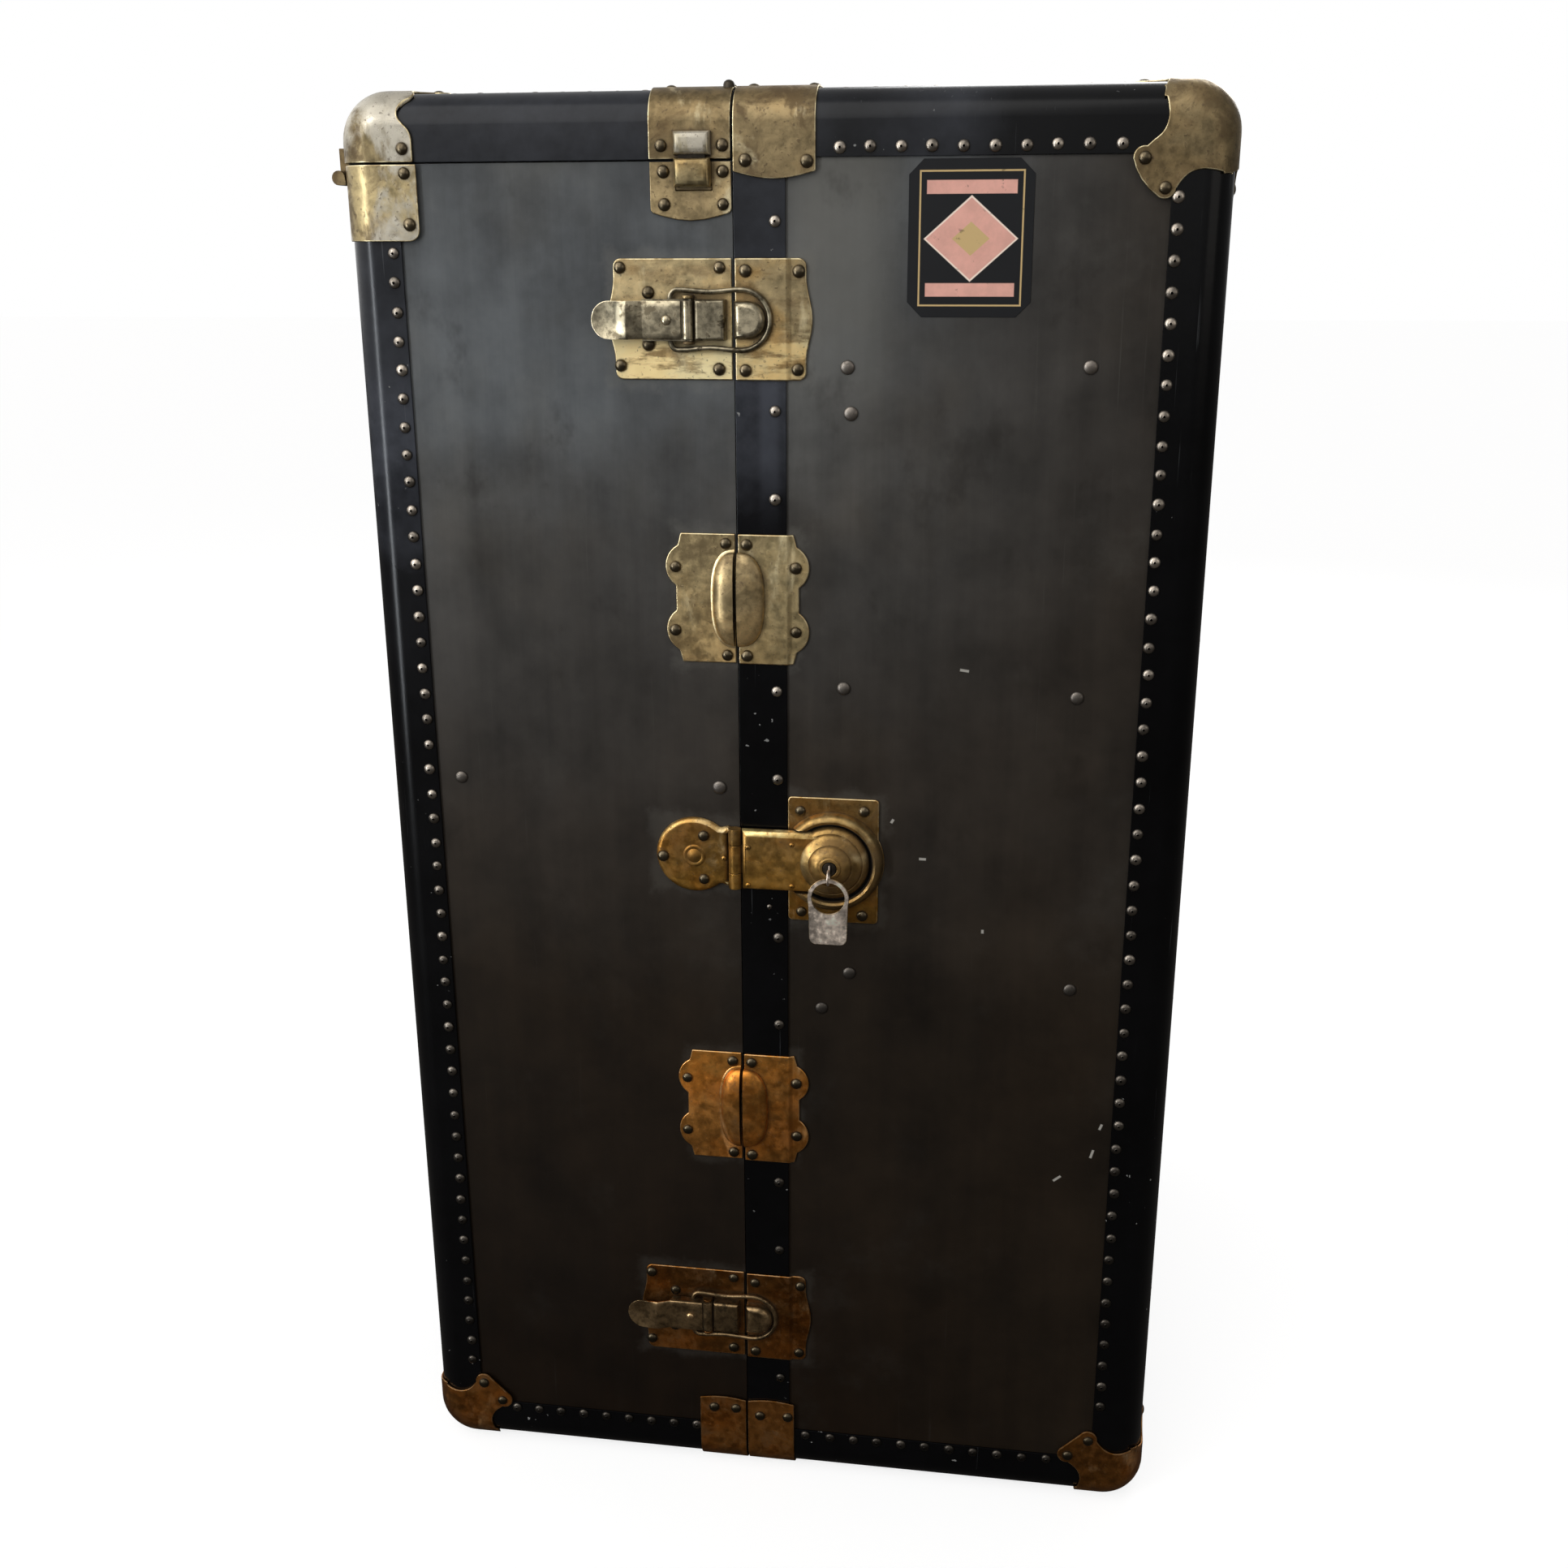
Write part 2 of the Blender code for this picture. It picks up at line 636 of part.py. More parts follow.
def lid_hinges(caps, hanger_half):
    """Collars under the lid seam and the knuckles that they share with the lid's caps."""
    out = -SIDE - LID_HINGE_OUT
    axis_z = LID_SEAM_Z - LID_HINGE_DROP
    low = LID_SEAM_Z - COLLAR_HEIGHT
    for depth, cap in caps.items():
        inwards = 1 if depth == "front" else -1
        face = FRONT if depth == "front" else BACK
        wrap = (face - inwards * WALL, face + inwards * COLLAR_REACH)
        bounds = box((-FAR, COLLAR_REACH - SIDE), wrap, (low, BODY_SPAN[1]))
        collar = layer(f"left_collar_{depth}", OVER_BINDING, SHEET_OUT, bounds, BRASS, hanger_half)
        start = face + inwards * LID_HINGE_INSET
        spans = []
        for i in range(3):
            ends = (start + inwards * LID_KNUCKLE * i, start + inwards * LID_KNUCKLE * (i + 1))
            spans.append((min(ends) + GAP / 2, max(ends) - GAP / 2))
        centre = (out, 0, axis_z)
        root = (out, GAP - SIDE - SHEET_OUT)
        for span in (spans[0], spans[2]):
            join(collar, rod("Y", centre, *span, KNUCKLE_RADIUS))
            join(collar, box(root, span, (axis_z - KNUCKLE_RADIUS, axis_z - PIN_RADIUS / 2)))
        pin = (min(spans)[0] + GAP, max(spans)[1] - GAP)
        join(collar, rod("Y", centre, *pin, PIN_RADIUS))
        join(cap, rod("Y", centre, *spans[1], KNUCKLE_RADIUS))
        web = (-SIDE - SHEET_OUT - GAP, out - KNUCKLE_RADIUS / 2)
        join(cap, box(web, spans[1], (axis_z, LID_SPAN[0] + LID_KNUCKLE)))
        bore = (spans[1][0] - GAP, spans[1][1] + GAP)
        cut(cap, rod("Y", centre, *bore, PIN_RADIUS + PIN_PLAY))


def bowed(low, high, edge, bow, outwards):
    """An outline from a low to a high x whose one long side is bowed."""
    rise = []
    for i in range(BOW_STEPS + 1):
        part = i / BOW_STEPS
        rise.append((low + (high - low) * part, edge - bow * math.sin(math.pi * part)))
    return rise + [(high, outwards), (low, outwards)]


def clamps(drawer_half, hanger_half, lid):
    """Brass that wraps the top and bottom edges beside the seam."""
    wrap = (FRONT - WALL, FRONT + CLAMP_WRAP)
    right = (RIGHT_EDGE + GAP, RIGHT_EDGE + TOP_CLAMP_WIDTH)
    left = (LEFT_EDGE - TOP_CLAMP_WIDTH, LEFT_EDGE - GAP)
    low_right = (RIGHT_EDGE + GAP, RIGHT_EDGE + BOTTOM_CLAMP_WIDTH)
    low_left = (LEFT_EDGE - BOTTOM_CLAMP_WIDTH, LEFT_EDGE - GAP)
    over, under = TOP + WALL, BOTTOM - WALL
    seam = LID_SPAN[0] + GAP
    jobs = {
        "right_clamp_top": (drawer_half, bowed(*right, TOP - RIGHT_CLAMP_DROP, CLAMP_BOW, over)),
        "lid_clamp": (lid, [(left[0], seam), (left[1], seam), (left[1], over), (left[0], over)]),
        "right_clamp_bottom": (
            drawer_half, bowed(*low_right, BOTTOM + BOTTOM_CLAMP_RISE, -CLAMP_BOW / 2, under)),
        "left_clamp_bottom": (
            hanger_half, bowed(*low_left, BOTTOM + BOTTOM_CLAMP_RISE, -CLAMP_BOW / 2, under)),
    }
    made = {}
    for name, (body, outline) in jobs.items():
        bounds = prism("Y", outline, *wrap)
        made[name] = layer(name, OVER_BINDING, SHEET_OUT, bounds, BRASS, body)
    return made["lid_clamp"]


def out(value):
    """The y of a distance out from the front panel."""
    return FRONT - value


def lid_tongue(clamp, hanger_half):
    """The block and tongue on the lid's clamp and the pocket that takes the tongue."""
    centre = LEFT_EDGE - POCKET_FROM_SEAM
    half = POCKET_WIDTH / 2
    x = (centre - half, centre + half)
    seam = LID_SPAN[0] + GAP
    block = box(x, (out(OVER_BINDING + GAP), out(POCKET_HEIGHT)), (seam, seam + LID_BLOCK_HEIGHT))
    bevel_where(block, lambda co: co.y < out(POCKET_HEIGHT) + GAP, POCKET_BEVEL, 2)
    join(clamp, block)
    inner = (x[0] + POCKET_WALL, x[1] - POCKET_WALL)
    hole = (out(PLATE_OUT + POCKET_WALL), out(POCKET_HEIGHT - POCKET_WALL))
    tongue = box((inner[0] + TONGUE_PLAY, inner[1] - TONGUE_PLAY),
                 (hole[0] - TONGUE_PLAY, hole[1] + TONGUE_PLAY),
                 (seam - TONGUE_LENGTH, seam + POCKET_WALL))
    join(clamp, tongue)
    top = BODY_SPAN[1] - GAP
    plate = (LEFT_EDGE - TOP_CLAMP_WIDTH, LEFT_EDGE - GAP)
    outline = bowed(*plate, top - STRIKE_HEIGHT, STRIKE_BOW, top)
    strike = piece("lid_strike", prism("Y", outline, out(PLATE_OUT), out(GAP)), BRASS,
                   hanger_half, (0, 0, 0))
    pocket = box(x, (out(PLATE_OUT - GAP), out(POCKET_HEIGHT)), (top - POCKET_LENGTH, top))
    bevel_where(pocket, lambda co: co.y < out(POCKET_HEIGHT) + GAP, POCKET_BEVEL, 2)
    join(strike, pocket)
    cut(strike, box(inner, hole, (top - 2 * POCKET_LENGTH, top + WALL)))


def joggled(body, name, outline, centre):
    """A sheet over the seam strip that steps down to the panel beyond it."""
    step = STRIP_EDGE - centre[0] + JOGGLE_PAST
    fall = OVER_BINDING - GAP
    upper = [(-WALL, OVER_BINDING), (step, OVER_BINDING), (step + fall, GAP), (FAR, GAP)]
    section = [(u, -v) for u, v in upper]
    section += [(u, -v - SHEET) for u, v in reversed(upper)]
    height = max(v for _, v in outline) + WALL
    made = piece(name, prism("Z", section, -height, height), BRASS, body, centre)
    return keep(made, prism("Y", outline, -WALL, WALL))


def dowel_outline():
    """Half of a dowel plate: a rectangle with two round lobes on its outer side."""
    half = DOWEL_PLATE_HEIGHT / 2
    inner = GAP + PLATE_SET_BACK / 2
    across = DOWEL_PLATE_WIDTH - DOWEL_LOBE_IN
    start, end = DOWEL_LOBE_TURN
    lobes = arc((across, -DOWEL_LOBE_Z), DOWEL_LOBE, start, end, 7)
    lobes += arc((across, DOWEL_LOBE_Z), DOWEL_LOBE, -end, -start, 7)
    return [(inner, -half), (DOWEL_PLATE_WIDTH, -half), *lobes,
            (DOWEL_PLATE_WIDTH, half), (inner, half)]


def half_dome(base, side):
    """Half of the oval boss that the two dowel plates share."""
    shape = bmesh.new()
    bmesh.ops.create_uvsphere(
        shape, u_segments=16, v_segments=10, radius=1,
        matrix=Matrix.Translation((0, -base, 0))
        @ Matrix.Diagonal((DOME_HALF_WIDTH, DOME_OUT - base, DOME_HALF_HEIGHT, 1)),
    )
    inner = GAP + PLATE_SET_BACK / 4
    edge = side * inner
    for point, normal in (((edge, 0, 0), (-side, 0, 0)), ((0, -base, 0), (0, 1, 0))):
        geometry = shape.verts[:] + shape.edges[:] + shape.faces[:]
        cutline = bmesh.ops.bisect_plane(
            shape, geom=geometry, plane_co=point, plane_no=normal, clear_outer=True)["geom_cut"]
        loop = [g for g in cutline if isinstance(g, bmesh.types.BMEdge)]
        bmesh.ops.holes_fill(shape, edges=loop, sides=0)
    return shape


def dowels(level, z, drawer_half, hanger_half):
    """The pair of plates whose tongue and socket line the halves up."""
    centre = (SEAM_X, FRONT, z)
    tongue_z = (-DOWEL_TONGUE_HALF, DOWEL_TONGUE_HALF)
    tongue_out = (-DOWEL_TONGUE_OUT, -DOWEL_TONGUE_OUT - DOWEL_TONGUE_THICKNESS)
    left = piece(f"{level}_dowel_plate", prism("Y", mirrored(dowel_outline()), -PLATE_OUT, -GAP),
                 BRASS, hanger_half, centre)
    join(left, half_dome(PLATE_OUT - GAP, -1))
    join(left, box((-DOME_HALF_WIDTH / 2, DOWEL_TONGUE), tongue_out, tongue_z))
    right = joggled(drawer_half, f"{level}_dowel_socket", dowel_outline(), centre)
    join(right, half_dome(SHEET_OUT - GAP, 1))
    play = DOWEL_PLAY
    socket = box((-WALL, DOWEL_TONGUE + play), (tongue_out[0] + play / 2, tongue_out[1] - play),
                 (tongue_z[0] - play, tongue_z[1] + play))
    cut(right, socket)


def latch_outline(width):
    """A latch plate: square at the seam, rounded and bowed on its outer side."""
    half = LATCH_PLATE_HEIGHT / 2
    inner = GAP + PLATE_SET_BACK / 2
    turn = PLATE_CORNER
    low = arc((width - turn, turn - half), turn, -90, 0, 3)
    high = arc((width - turn, half - turn), turn, 0, 90, 3)
    side = [(width, -PLATE_BULGE_HALF - PLATE_BULGE), (width + PLATE_BULGE, -PLATE_BULGE_HALF / 2),
            (width + PLATE_BULGE, PLATE_BULGE_HALF / 2), (width, PLATE_BULGE_HALF + PLATE_BULGE)]
    return [(inner, -half), *low, *side, *high, (inner, half)]


def latch_base(level, z, hanger_half):
    """The left plate with its block, the two ears and the pin of the lever."""
    made = piece(f"{level}_latch_base",
                 prism("Y", mirrored(latch_outline(LATCH_PLATE_WIDTH)), -PLATE_OUT, -GAP),
                 BRASS, hanger_half, (SEAM_X, FRONT, z))
    block_x = -LEVER_AXIS_X + LEVER_KNUCKLE + BLOCK_PLAY
    block = box((block_x, block_x + BLOCK_LENGTH), (-PLATE_OUT + GAP, -BLOCK_OUT),
                (-BLOCK_WIDTH / 2, BLOCK_WIDTH / 2))
    bevel_where(block, lambda co: co.y < GAP - BLOCK_OUT, BLOCK_BEVEL, 1)
    join(made, block)
    ear = [(-LEVER_AXIS_X + u, v) for u, v in (
        (LEVER_KNUCKLE, -PLATE_OUT + GAP), *arc((0, -LEVER_AXIS_OUT), LEVER_KNUCKLE, 0, -180, 6),
        (-LEVER_KNUCKLE, -PLATE_OUT + GAP))]
    inner = LEVER_WIDTH / 2 + GAP
    for side in (-1, 1):
        join(made, prism("Z", ear, *sorted((side * inner, side * (inner + EAR_THICKNESS)))))
    pin = inner + EAR_THICKNESS / 2
    join(made, rod("Z", (-LEVER_AXIS_X, -LEVER_AXIS_OUT, 0), -pin, pin, LEVER_PIN, 12))


def latch_lever(level, z, hanger_half):
    """The folded lever on its pin, with a raised tab to lift it by."""
    pivot = empty(f"{level}_lever_axis", (SEAM_X - LEVER_AXIS_X, FRONT - LEVER_AXIS_OUT, z),
                  hanger_half)
    half = LEVER_WIDTH / 2
    top = LEVER_KNUCKLE
    path = [(0, top), (LEVER_FLAT, top), (LEVER_FLAT + LEVER_KICK, top + LEVER_RISE),
            (LEVER_REACH, top + LEVER_END_RISE)]
    section = [(-u, -v) for u, v in path] + [(-u, SHEET - v) for u, v in reversed(path)]
    made = piece(f"{level}_latch_lever", prism("Z", section, -half, half), STEEL, pivot,
                 world_place(pivot))
    shape = [(LEVER_KNUCKLE, -half), (LEVER_KNUCKLE, half)]
    shape += arc((half - LEVER_REACH, 0), half, 90, 270, 8)
    keep(made, prism("Y", shape, -WALL * 2, WALL))
    join(made, rod("Z", (0, 0, 0), -half, half, LEVER_KNUCKLE, 16))
    side = [(-LEVER_KNUCKLE / 2, SHEET / 2 - top), (-LEVER_FLAT, SHEET / 2 - top),
            (SHEET - LEVER_FLAT, LEVER_SKIRT), (-LEVER_KNUCKLE, top)]
    for sign in (-1, 1):
        join(made, prism("Z", side, *sorted((sign * half, sign * (half - SHEET)))))
    cut(made, rod("Z", (0, 0, 0), -half - WALL, half + WALL, LEVER_PIN + PIN_PLAY, 12))
    hole = (-BAIL_ARM, LEVER_AXIS_OUT - BAIL_OUT, 0)
    cut(made, rod("Z", hole, -half - WALL, half + WALL, BAIL_WIRE + PIN_PLAY, 12))
    return pivot


def bail(level, z, lever_pivot):
    """The wire bail: hooked into the lever, round the keeper in one bend."""
    place = (SEAM_X - LEVER_AXIS_X - BAIL_ARM, FRONT - BAIL_OUT, z)
    pivot = empty(f"{level}_bail_axis", place, lever_pivot)
    inside = LEVER_WIDTH / 2 - BAIL_HOOK
    reach = LEVER_AXIS_X + BAIL_ARM + KEEPER_REACH + GAP * 4 + BAIL_WIRE
    bend = BAIL_HALF - BAIL_BEND
    upper = [(0, inside), *[(BAIL_BEND + u, bend + v) for u, v in arc((0, 0), BAIL_BEND, 180, 90, 3)]]
    head = arc((reach - BAIL_HALF, 0), BAIL_HALF, 90, -90, 10)
    lower = [(u, -v) for u, v in reversed(upper)]
    points = [(u, 0, v) for u, v in (*upper, *head, *lower)]
    piece(f"{level}_latch_bail", tube(points, BAIL_WIRE), STEEL, pivot, world_place(pivot))


def keeper(level, z, drawer_half):
    """The right plate with the D shaped boss that the bail pulls on."""
    made = joggled(drawer_half, f"{level}_keeper", latch_outline(KEEPER_PLATE_WIDTH),
                   (SEAM_X, FRONT, z))
    start = GAP + PLATE_SET_BACK / 2
    outline = [(start, -KEEPER_HALF)]
    outline += arc((KEEPER_REACH - KEEPER_HALF, 0), KEEPER_HALF, -90, 90, 8)
    outline += [(start, KEEPER_HALF)]
    boss = prism("Y", outline, -KEEPER_OUT, -SHEET_OUT + GAP)
    bevel_where(boss, lambda co: co.y < GAP - KEEPER_OUT, KEEPER_SLOPE, 1)
    join(made, boss)


def lock_plate(drawer_half):
    """The plate under the hasp: a shroud open to the left, and the post inside it."""
    half = LOCK_PLATE_HEIGHT / 2
    left = STRIP_EDGE + LOCK_PLATE_PLAY - LOCK_X
    right = left + LOCK_PLATE_WIDTH
    rim = SHROUD_RADIUS + GAP
    swing = math.degrees(math.acos(right / rim))
    outline = [(left, -half), (right, -half), *arc((0, 0), rim, -swing, swing, 6),
               (right, half), (left, half)]
    made = piece("lock_plate", prism("Y", outline, -PLATE_OUT, -GAP), BRASS, drawer_half,
                 (LOCK_X, FRONT, LOCK_Z))
    wall = SHROUD_RADIUS - SHROUD_WALL
    foot = PLATE_OUT - GAP
    ring = turned([(wall, foot), (wall, SHROUD_OUT - SHROUD_EDGE), (wall + SHROUD_EDGE, SHROUD_OUT),
                   (SHROUD_RADIUS - SHROUD_SLOPE, SHROUD_OUT),
                   (SHROUD_RADIUS, SHROUD_OUT - SHROUD_FALL), (SHROUD_RADIUS, foot),
                   (wall, foot)], 32)
    shroud = hidden("lock_plate_shroud", ring, made)
    cut(shroud, box((-FAR, left), (-FAR, FAR), (-FAR, FAR)))
    passage = ARM_HALF + SHROUD_PLAY
    cut(shroud, box((-FAR, 0), (-FAR, FAR), (-passage, passage)))
    join(made, shroud)
    join(made, rod("Y", (0, 0, 0), -POST_OUT, -PLATE_OUT + GAP, POST_RADIUS, 16))


def hasp_base(hanger_half):
    """The raised pan on the left with the outer knuckles and pin of the hasp."""
    neck = HASP_AXIS_X - KNUCKLE_RADIUS - GAP
    centre_x = SEAM_X - HASP_ROUND_FROM_SEAM - LOCK_X
    waist = (SEAM_X - HASP_WAIST_FROM_SEAM - LOCK_X, HASP_WAIST_HALF)
    start = (neck - LOCK_X, ARM_HALF)
    round_end = arc((centre_x, 0), HASP_ROUND_RADIUS, *HASP_ROUND_TURN, 14)
    shoulder = (start[0] - HASP_SHOULDER, start[1] - HASP_SHOULDER_DROP)
    outline = [(start[0], -start[1]), start, shoulder, waist, *round_end,
               (waist[0], -waist[1]), (shoulder[0], -shoulder[1])]
    shape = prism("Y", outline, -HASP_BASE_OUT, -GAP)
    bevel_where(shape, lambda co: co.y < GAP / 2 - HASP_BASE_OUT, HASP_BASE_SLOPE, 1)
    made = piece("hasp_base", shape, BRASS, hanger_half, (LOCK_X, FRONT, LOCK_Z))
    axis = (HASP_AXIS_X - LOCK_X, -HASP_AXIS_OUT, 0)
    for side in (-1, 1):
        span = sorted((side * (HASP_KNUCKLE_HALF + GAP / 2), side * ARM_HALF))
        join(made, rod("Z", axis, *span, KNUCKLE_RADIUS))
        web = (start[0] - HASP_WEB, axis[0])
        join(made, box(web, (HASP_WEB / 2 - HASP_BASE_OUT, -PLATE_OUT), span))
    join(made, rod("Z", axis, PIN_INSET - ARM_HALF, ARM_HALF - PIN_INSET, PIN_RADIUS, 12))


def hasp_arm(hanger_half):
    """The swinging arm: a bevelled strap that ends in a stepped round boss."""
    pivot = empty("hasp_axis", (HASP_AXIS_X, FRONT - HASP_AXIS_OUT, LOCK_Z), hanger_half)
    end = LOCK_X - HASP_AXIS_X
    near = KNUCKLE_RADIUS + GAP

    def local(value):
        return HASP_AXIS_OUT - value

    strap = box((near, end - POST_RADIUS), (local(ARM_IN), local(ARM_OUT)), (-ARM_HALF, ARM_HALF))
    bevel_where(strap, lambda co: co.y < local(ARM_OUT) + GAP, ARM_SLOPE, 1)
    made = piece("hasp_arm", strap, BRASS, pivot, world_place(pivot))
    under = ARM_IN - GAP
    dish = ARM_END_RADIUS - DISH_INSET
    dish_out = ARM_OUT + DISH_RISE
    ring_out = dish_out + RING_RISE
    hub_out = ring_out + HUB_RISE
    profile = [(0, under), (ARM_END_RADIUS, under), (ARM_END_RADIUS, ARM_OUT - ARM_SLOPE - 2 * GAP),
               (ARM_END_RADIUS - ARM_SLOPE, ARM_OUT + GAP), (dish, ARM_OUT + GAP),
               (dish - STEP_DRAFT, dish_out), (RING_RADIUS, ring_out),
               (RING_RADIUS - STEP_DRAFT, ring_out + STEP_DRAFT), (HUB_RADIUS, hub_out),
               (NOSE_RADIUS, hub_out + NOSE_RISE), (NOSE_RADIUS - STEP_DRAFT, BOSS_OUT),
               (0, BOSS_OUT)]
    boss = turned(profile, 28)
    bmesh.ops.translate(boss, verts=boss.verts, vec=(end, HASP_AXIS_OUT, 0))
    join(made, boss)
    span = (GAP / 2 - HASP_KNUCKLE_HALF, HASP_KNUCKLE_HALF - GAP / 2)
    join(made, rod("Z", (0, 0, 0), *span, KNUCKLE_RADIUS))
    web = (local(ARM_IN + GAP), local(ARM_OUT - ARM_SLOPE - GAP))
    join(made, box((0, near + ARM_SLOPE + HASP_WEB), web, span))
    cut(made, rod("Z", (0, 0, 0), -ARM_HALF, ARM_HALF, PIN_RADIUS + PIN_PLAY, 12))
    recess = (local(POST_OUT + POST_PLAY / 2), local(ARM_IN) + WALL)
    cut(made, rod("Y", (end, 0, 0), *recess, POST_RADIUS + POST_PLAY))
    bore = (local(BOSS_OUT + WALL), local(POST_OUT))
    cut(made, rod("Y", (end, 0, 0), *bore, CYLINDER_RADIUS + PIN_PLAY))
    return pivot


def lock_and_key(hasp_pivot):
    """The turning cylinder, its key with a wire loop, and the fob on the loop."""
    centre = (LOCK_X, FRONT, LOCK_Z)
    turn = empty("lock_axis", centre, hasp_pivot)
    face = -BOSS_OUT - GAP
    back = -POST_OUT - POST_PLAY / 2 - GAP
    plug = piece("lock_cylinder", rod("Y", (0, 0, 0), face, back, CYLINDER_RADIUS, 20), STEEL,
                 turn, centre)
    deep = back - KEYWAY_FLOOR
    cut(plug, box((-KEYWAY_WIDTH / 2, KEYWAY_WIDTH / 2), (face - WALL, deep),
                  (-KEYWAY_HEIGHT / 2, KEYWAY_HEIGHT / 2)))
    blade = (KEYWAY_WIDTH / 2 - GAP, KEYWAY_HEIGHT / 2 - GAP)
    key = piece("key", box((-blade[0], blade[0]), (-KEY_OUT, deep - GAP), (-blade[1], blade[1])),
                STEEL, turn, centre)
    ring = [(0, v - LOOP_OUT, u - LOOP_DROP) for u, v in arc((0, 0), LOOP_RADIUS, 0, 360, 18)[:-1]]
    join(key, tube(ring, LOOP_WIRE, 2, closed=True))
    swing = empty("fob_axis", (LOCK_X, FRONT - LOOP_OUT, LOCK_Z - LOOP_DROP), turn)
    drop = -(LOOP_RADIUS + FOB_HOLE - LOOP_WIRE - GAP)
    top = arc((0, drop), FOB_RADIUS, 0, 180, 12)
    low = drop - FOB_LENGTH
    corner = FOB_RADIUS / 2
    foot = arc((corner - FOB_RADIUS, low + corner), corner, 180, 270, 4)
    foot += arc((FOB_RADIUS - corner, low + corner), corner, 270, 360, 4)
    outline = top + foot
    half = FOB_THICKNESS / 2
    fob = piece("key_fob", prism("Y", outline, -half, half), STEEL, swing, world_place(swing))
    cut(fob, rod("Y", (0, 0, drop), -WALL, WALL, FOB_HOLE, 24))


def back_hinges(drawer_half, hanger_half):
    """Two butt hinges on the back, three knuckles each, the pin held by the right leaf."""
    third = HINGE_LENGTH / 3
    for level, z in HINGE_HEIGHTS.items():
        centre = (SEAM_X, BACK, z)
        axis = (0, HINGE_OUT, 0)
        low = -HINGE_LENGTH / 2
        spans = [(low + third * i + GAP / 2, low + third * (i + 1) - GAP / 2) for i in range(3)]
        right = piece(f"{level}_hinge_right",
                      box((KNUCKLE_RADIUS + GAP, HINGE_LEAF), (OVER_BINDING, SHEET_OUT),
                          (low + GAP, -low - GAP)),
                      BRASS, drawer_half, centre)
        left = piece(f"{level}_hinge_left",
                     box((-HINGE_LEAF, -KNUCKLE_RADIUS - GAP), (GAP, SHEET_OUT),
                         (low + GAP, -low - GAP)),
                     BRASS, hanger_half, centre)
        for made, side, knuckles in ((right, 1, (0, 2)), (left, -1, (1,))):
            for i in knuckles:
                join(made, rod("Z", axis, *spans[i], KNUCKLE_RADIUS))
                join(made, box((side * GAP, side * (KNUCKLE_RADIUS + HINGE_WEB)),
                               (OVER_BINDING + GAP, HINGE_OUT - PIN_RADIUS), spans[i]))
        cut(left, rod("Z", axis, spans[1][0] - GAP, spans[1][1] + GAP, PIN_RADIUS + PIN_PLAY, 12))
        join(right, rod("Z", axis, low + PIN_INSET, -low - PIN_INSET, PIN_RADIUS, 12))


def handle(side, body):
    """A rolled leather handle hanging from two loop plates on a side."""
    name = "right" if side > 0 else "left"
    axis = Vector((side * (SIDE + HANDLE_OUT), MIDDLE.y, HANDLE_Z))
    roll = HANDLE_ROLL_LENGTH / 2
    for depth, sign in (("front", -1), ("back", 1)):
        centre = Vector((side * SIDE, MIDDLE.y + sign * HANDLE_SPAN / 2, HANDLE_Z))
        half = roll + GAP + EAR_THICKNESS
        edge = half + LOOP_PLATE_MARGIN
        plate = box((side * GAP, side * PLATE_OUT), (-edge, edge),
                    (-LOOP_PLATE_HEIGHT / 2, LOOP_PLATE_HEIGHT / 2))
        loop = piece(f"{name}_handle_loop_{depth}", plate, BRASS, body, centre)
        root = side * (PLATE_OUT - GAP)
        ear = [(root, -HANDLE_ROLL), (root, HANDLE_ROLL)]
        top = arc((0, 0), LOOP_EAR, 90, -90, 6)
        ear += [(side * (HANDLE_OUT + u), v) for u, v in top]
        for wall in (-1, 1):
            inner = roll + GAP
            span = sorted((wall * inner, wall * half))
            cheek = prism("Y", ear, *span)
            join(loop, cheek)
        ends = (PIN_INSET - half, half - PIN_INSET)
        join(loop, rod("Y", (side * HANDLE_OUT, 0, 0), *ends, HANDLE_PIN, 12))
    pivot = empty(f"{name}_handle_axis", axis, body)
    reach = HANDLE_SPAN / 2
    run = []
    radii = []
    for i in range(GRIP_STEPS + 1):
        turn = math.pi * i / GRIP_STEPS
        across = math.copysign(abs(math.cos(turn)) ** (2 / GRIP_SQUARENESS), math.cos(turn))
        fall = math.sin(turn) ** (2 / GRIP_SQUARENESS) if 0 < i < GRIP_STEPS else 0
        run.append((0, -reach * across, -HANDLE_DROP * fall))
        radii.append((GRIP_NECK + (GRIP_RADIUS - GRIP_NECK) * fall) / GRIP_RADIUS)
    grip = tube(run, GRIP_RADIUS, 3, radii)
    made = piece(f"{name}_handle", grip, LEATHER, pivot, axis)
    for sign in (-1, 1):
        span = (sign * reach - roll, sign * reach + roll)
        join(made, rod("Y", (0, 0, 0), *span, HANDLE_ROLL))
    for sign in (-1, 1):
        span = (sign * reach - roll - GAP, sign * reach + roll + GAP)
        cut(made, rod("Y", (0, 0, 0), *span, HANDLE_BORE, 12))


def lip(drawer_half):
    """The rim that guides the halves together, on the front, top and bottom."""
    y = (HOLLOW_Y[0] + LIP_PLAY, HOLLOW_Y[1] - 2 * WALL)
    z = (HOLLOW_Z[0] + LIP_PLAY, HOLLOW_Z[1] - LIP_PLAY)
    x = (RIGHT_EDGE - LIP_REACH, RIGHT_EDGE + LIP_SEAT)
    made = piece("closing_lip", box(x, y, z), BINDING, drawer_half, (0, 0, 0))
    within = (z[0] + LIP_THICKNESS, z[1] - LIP_THICKNESS)
    cut(made, box((-FAR, FAR), (y[0] + LIP_THICKNESS, FAR), within))


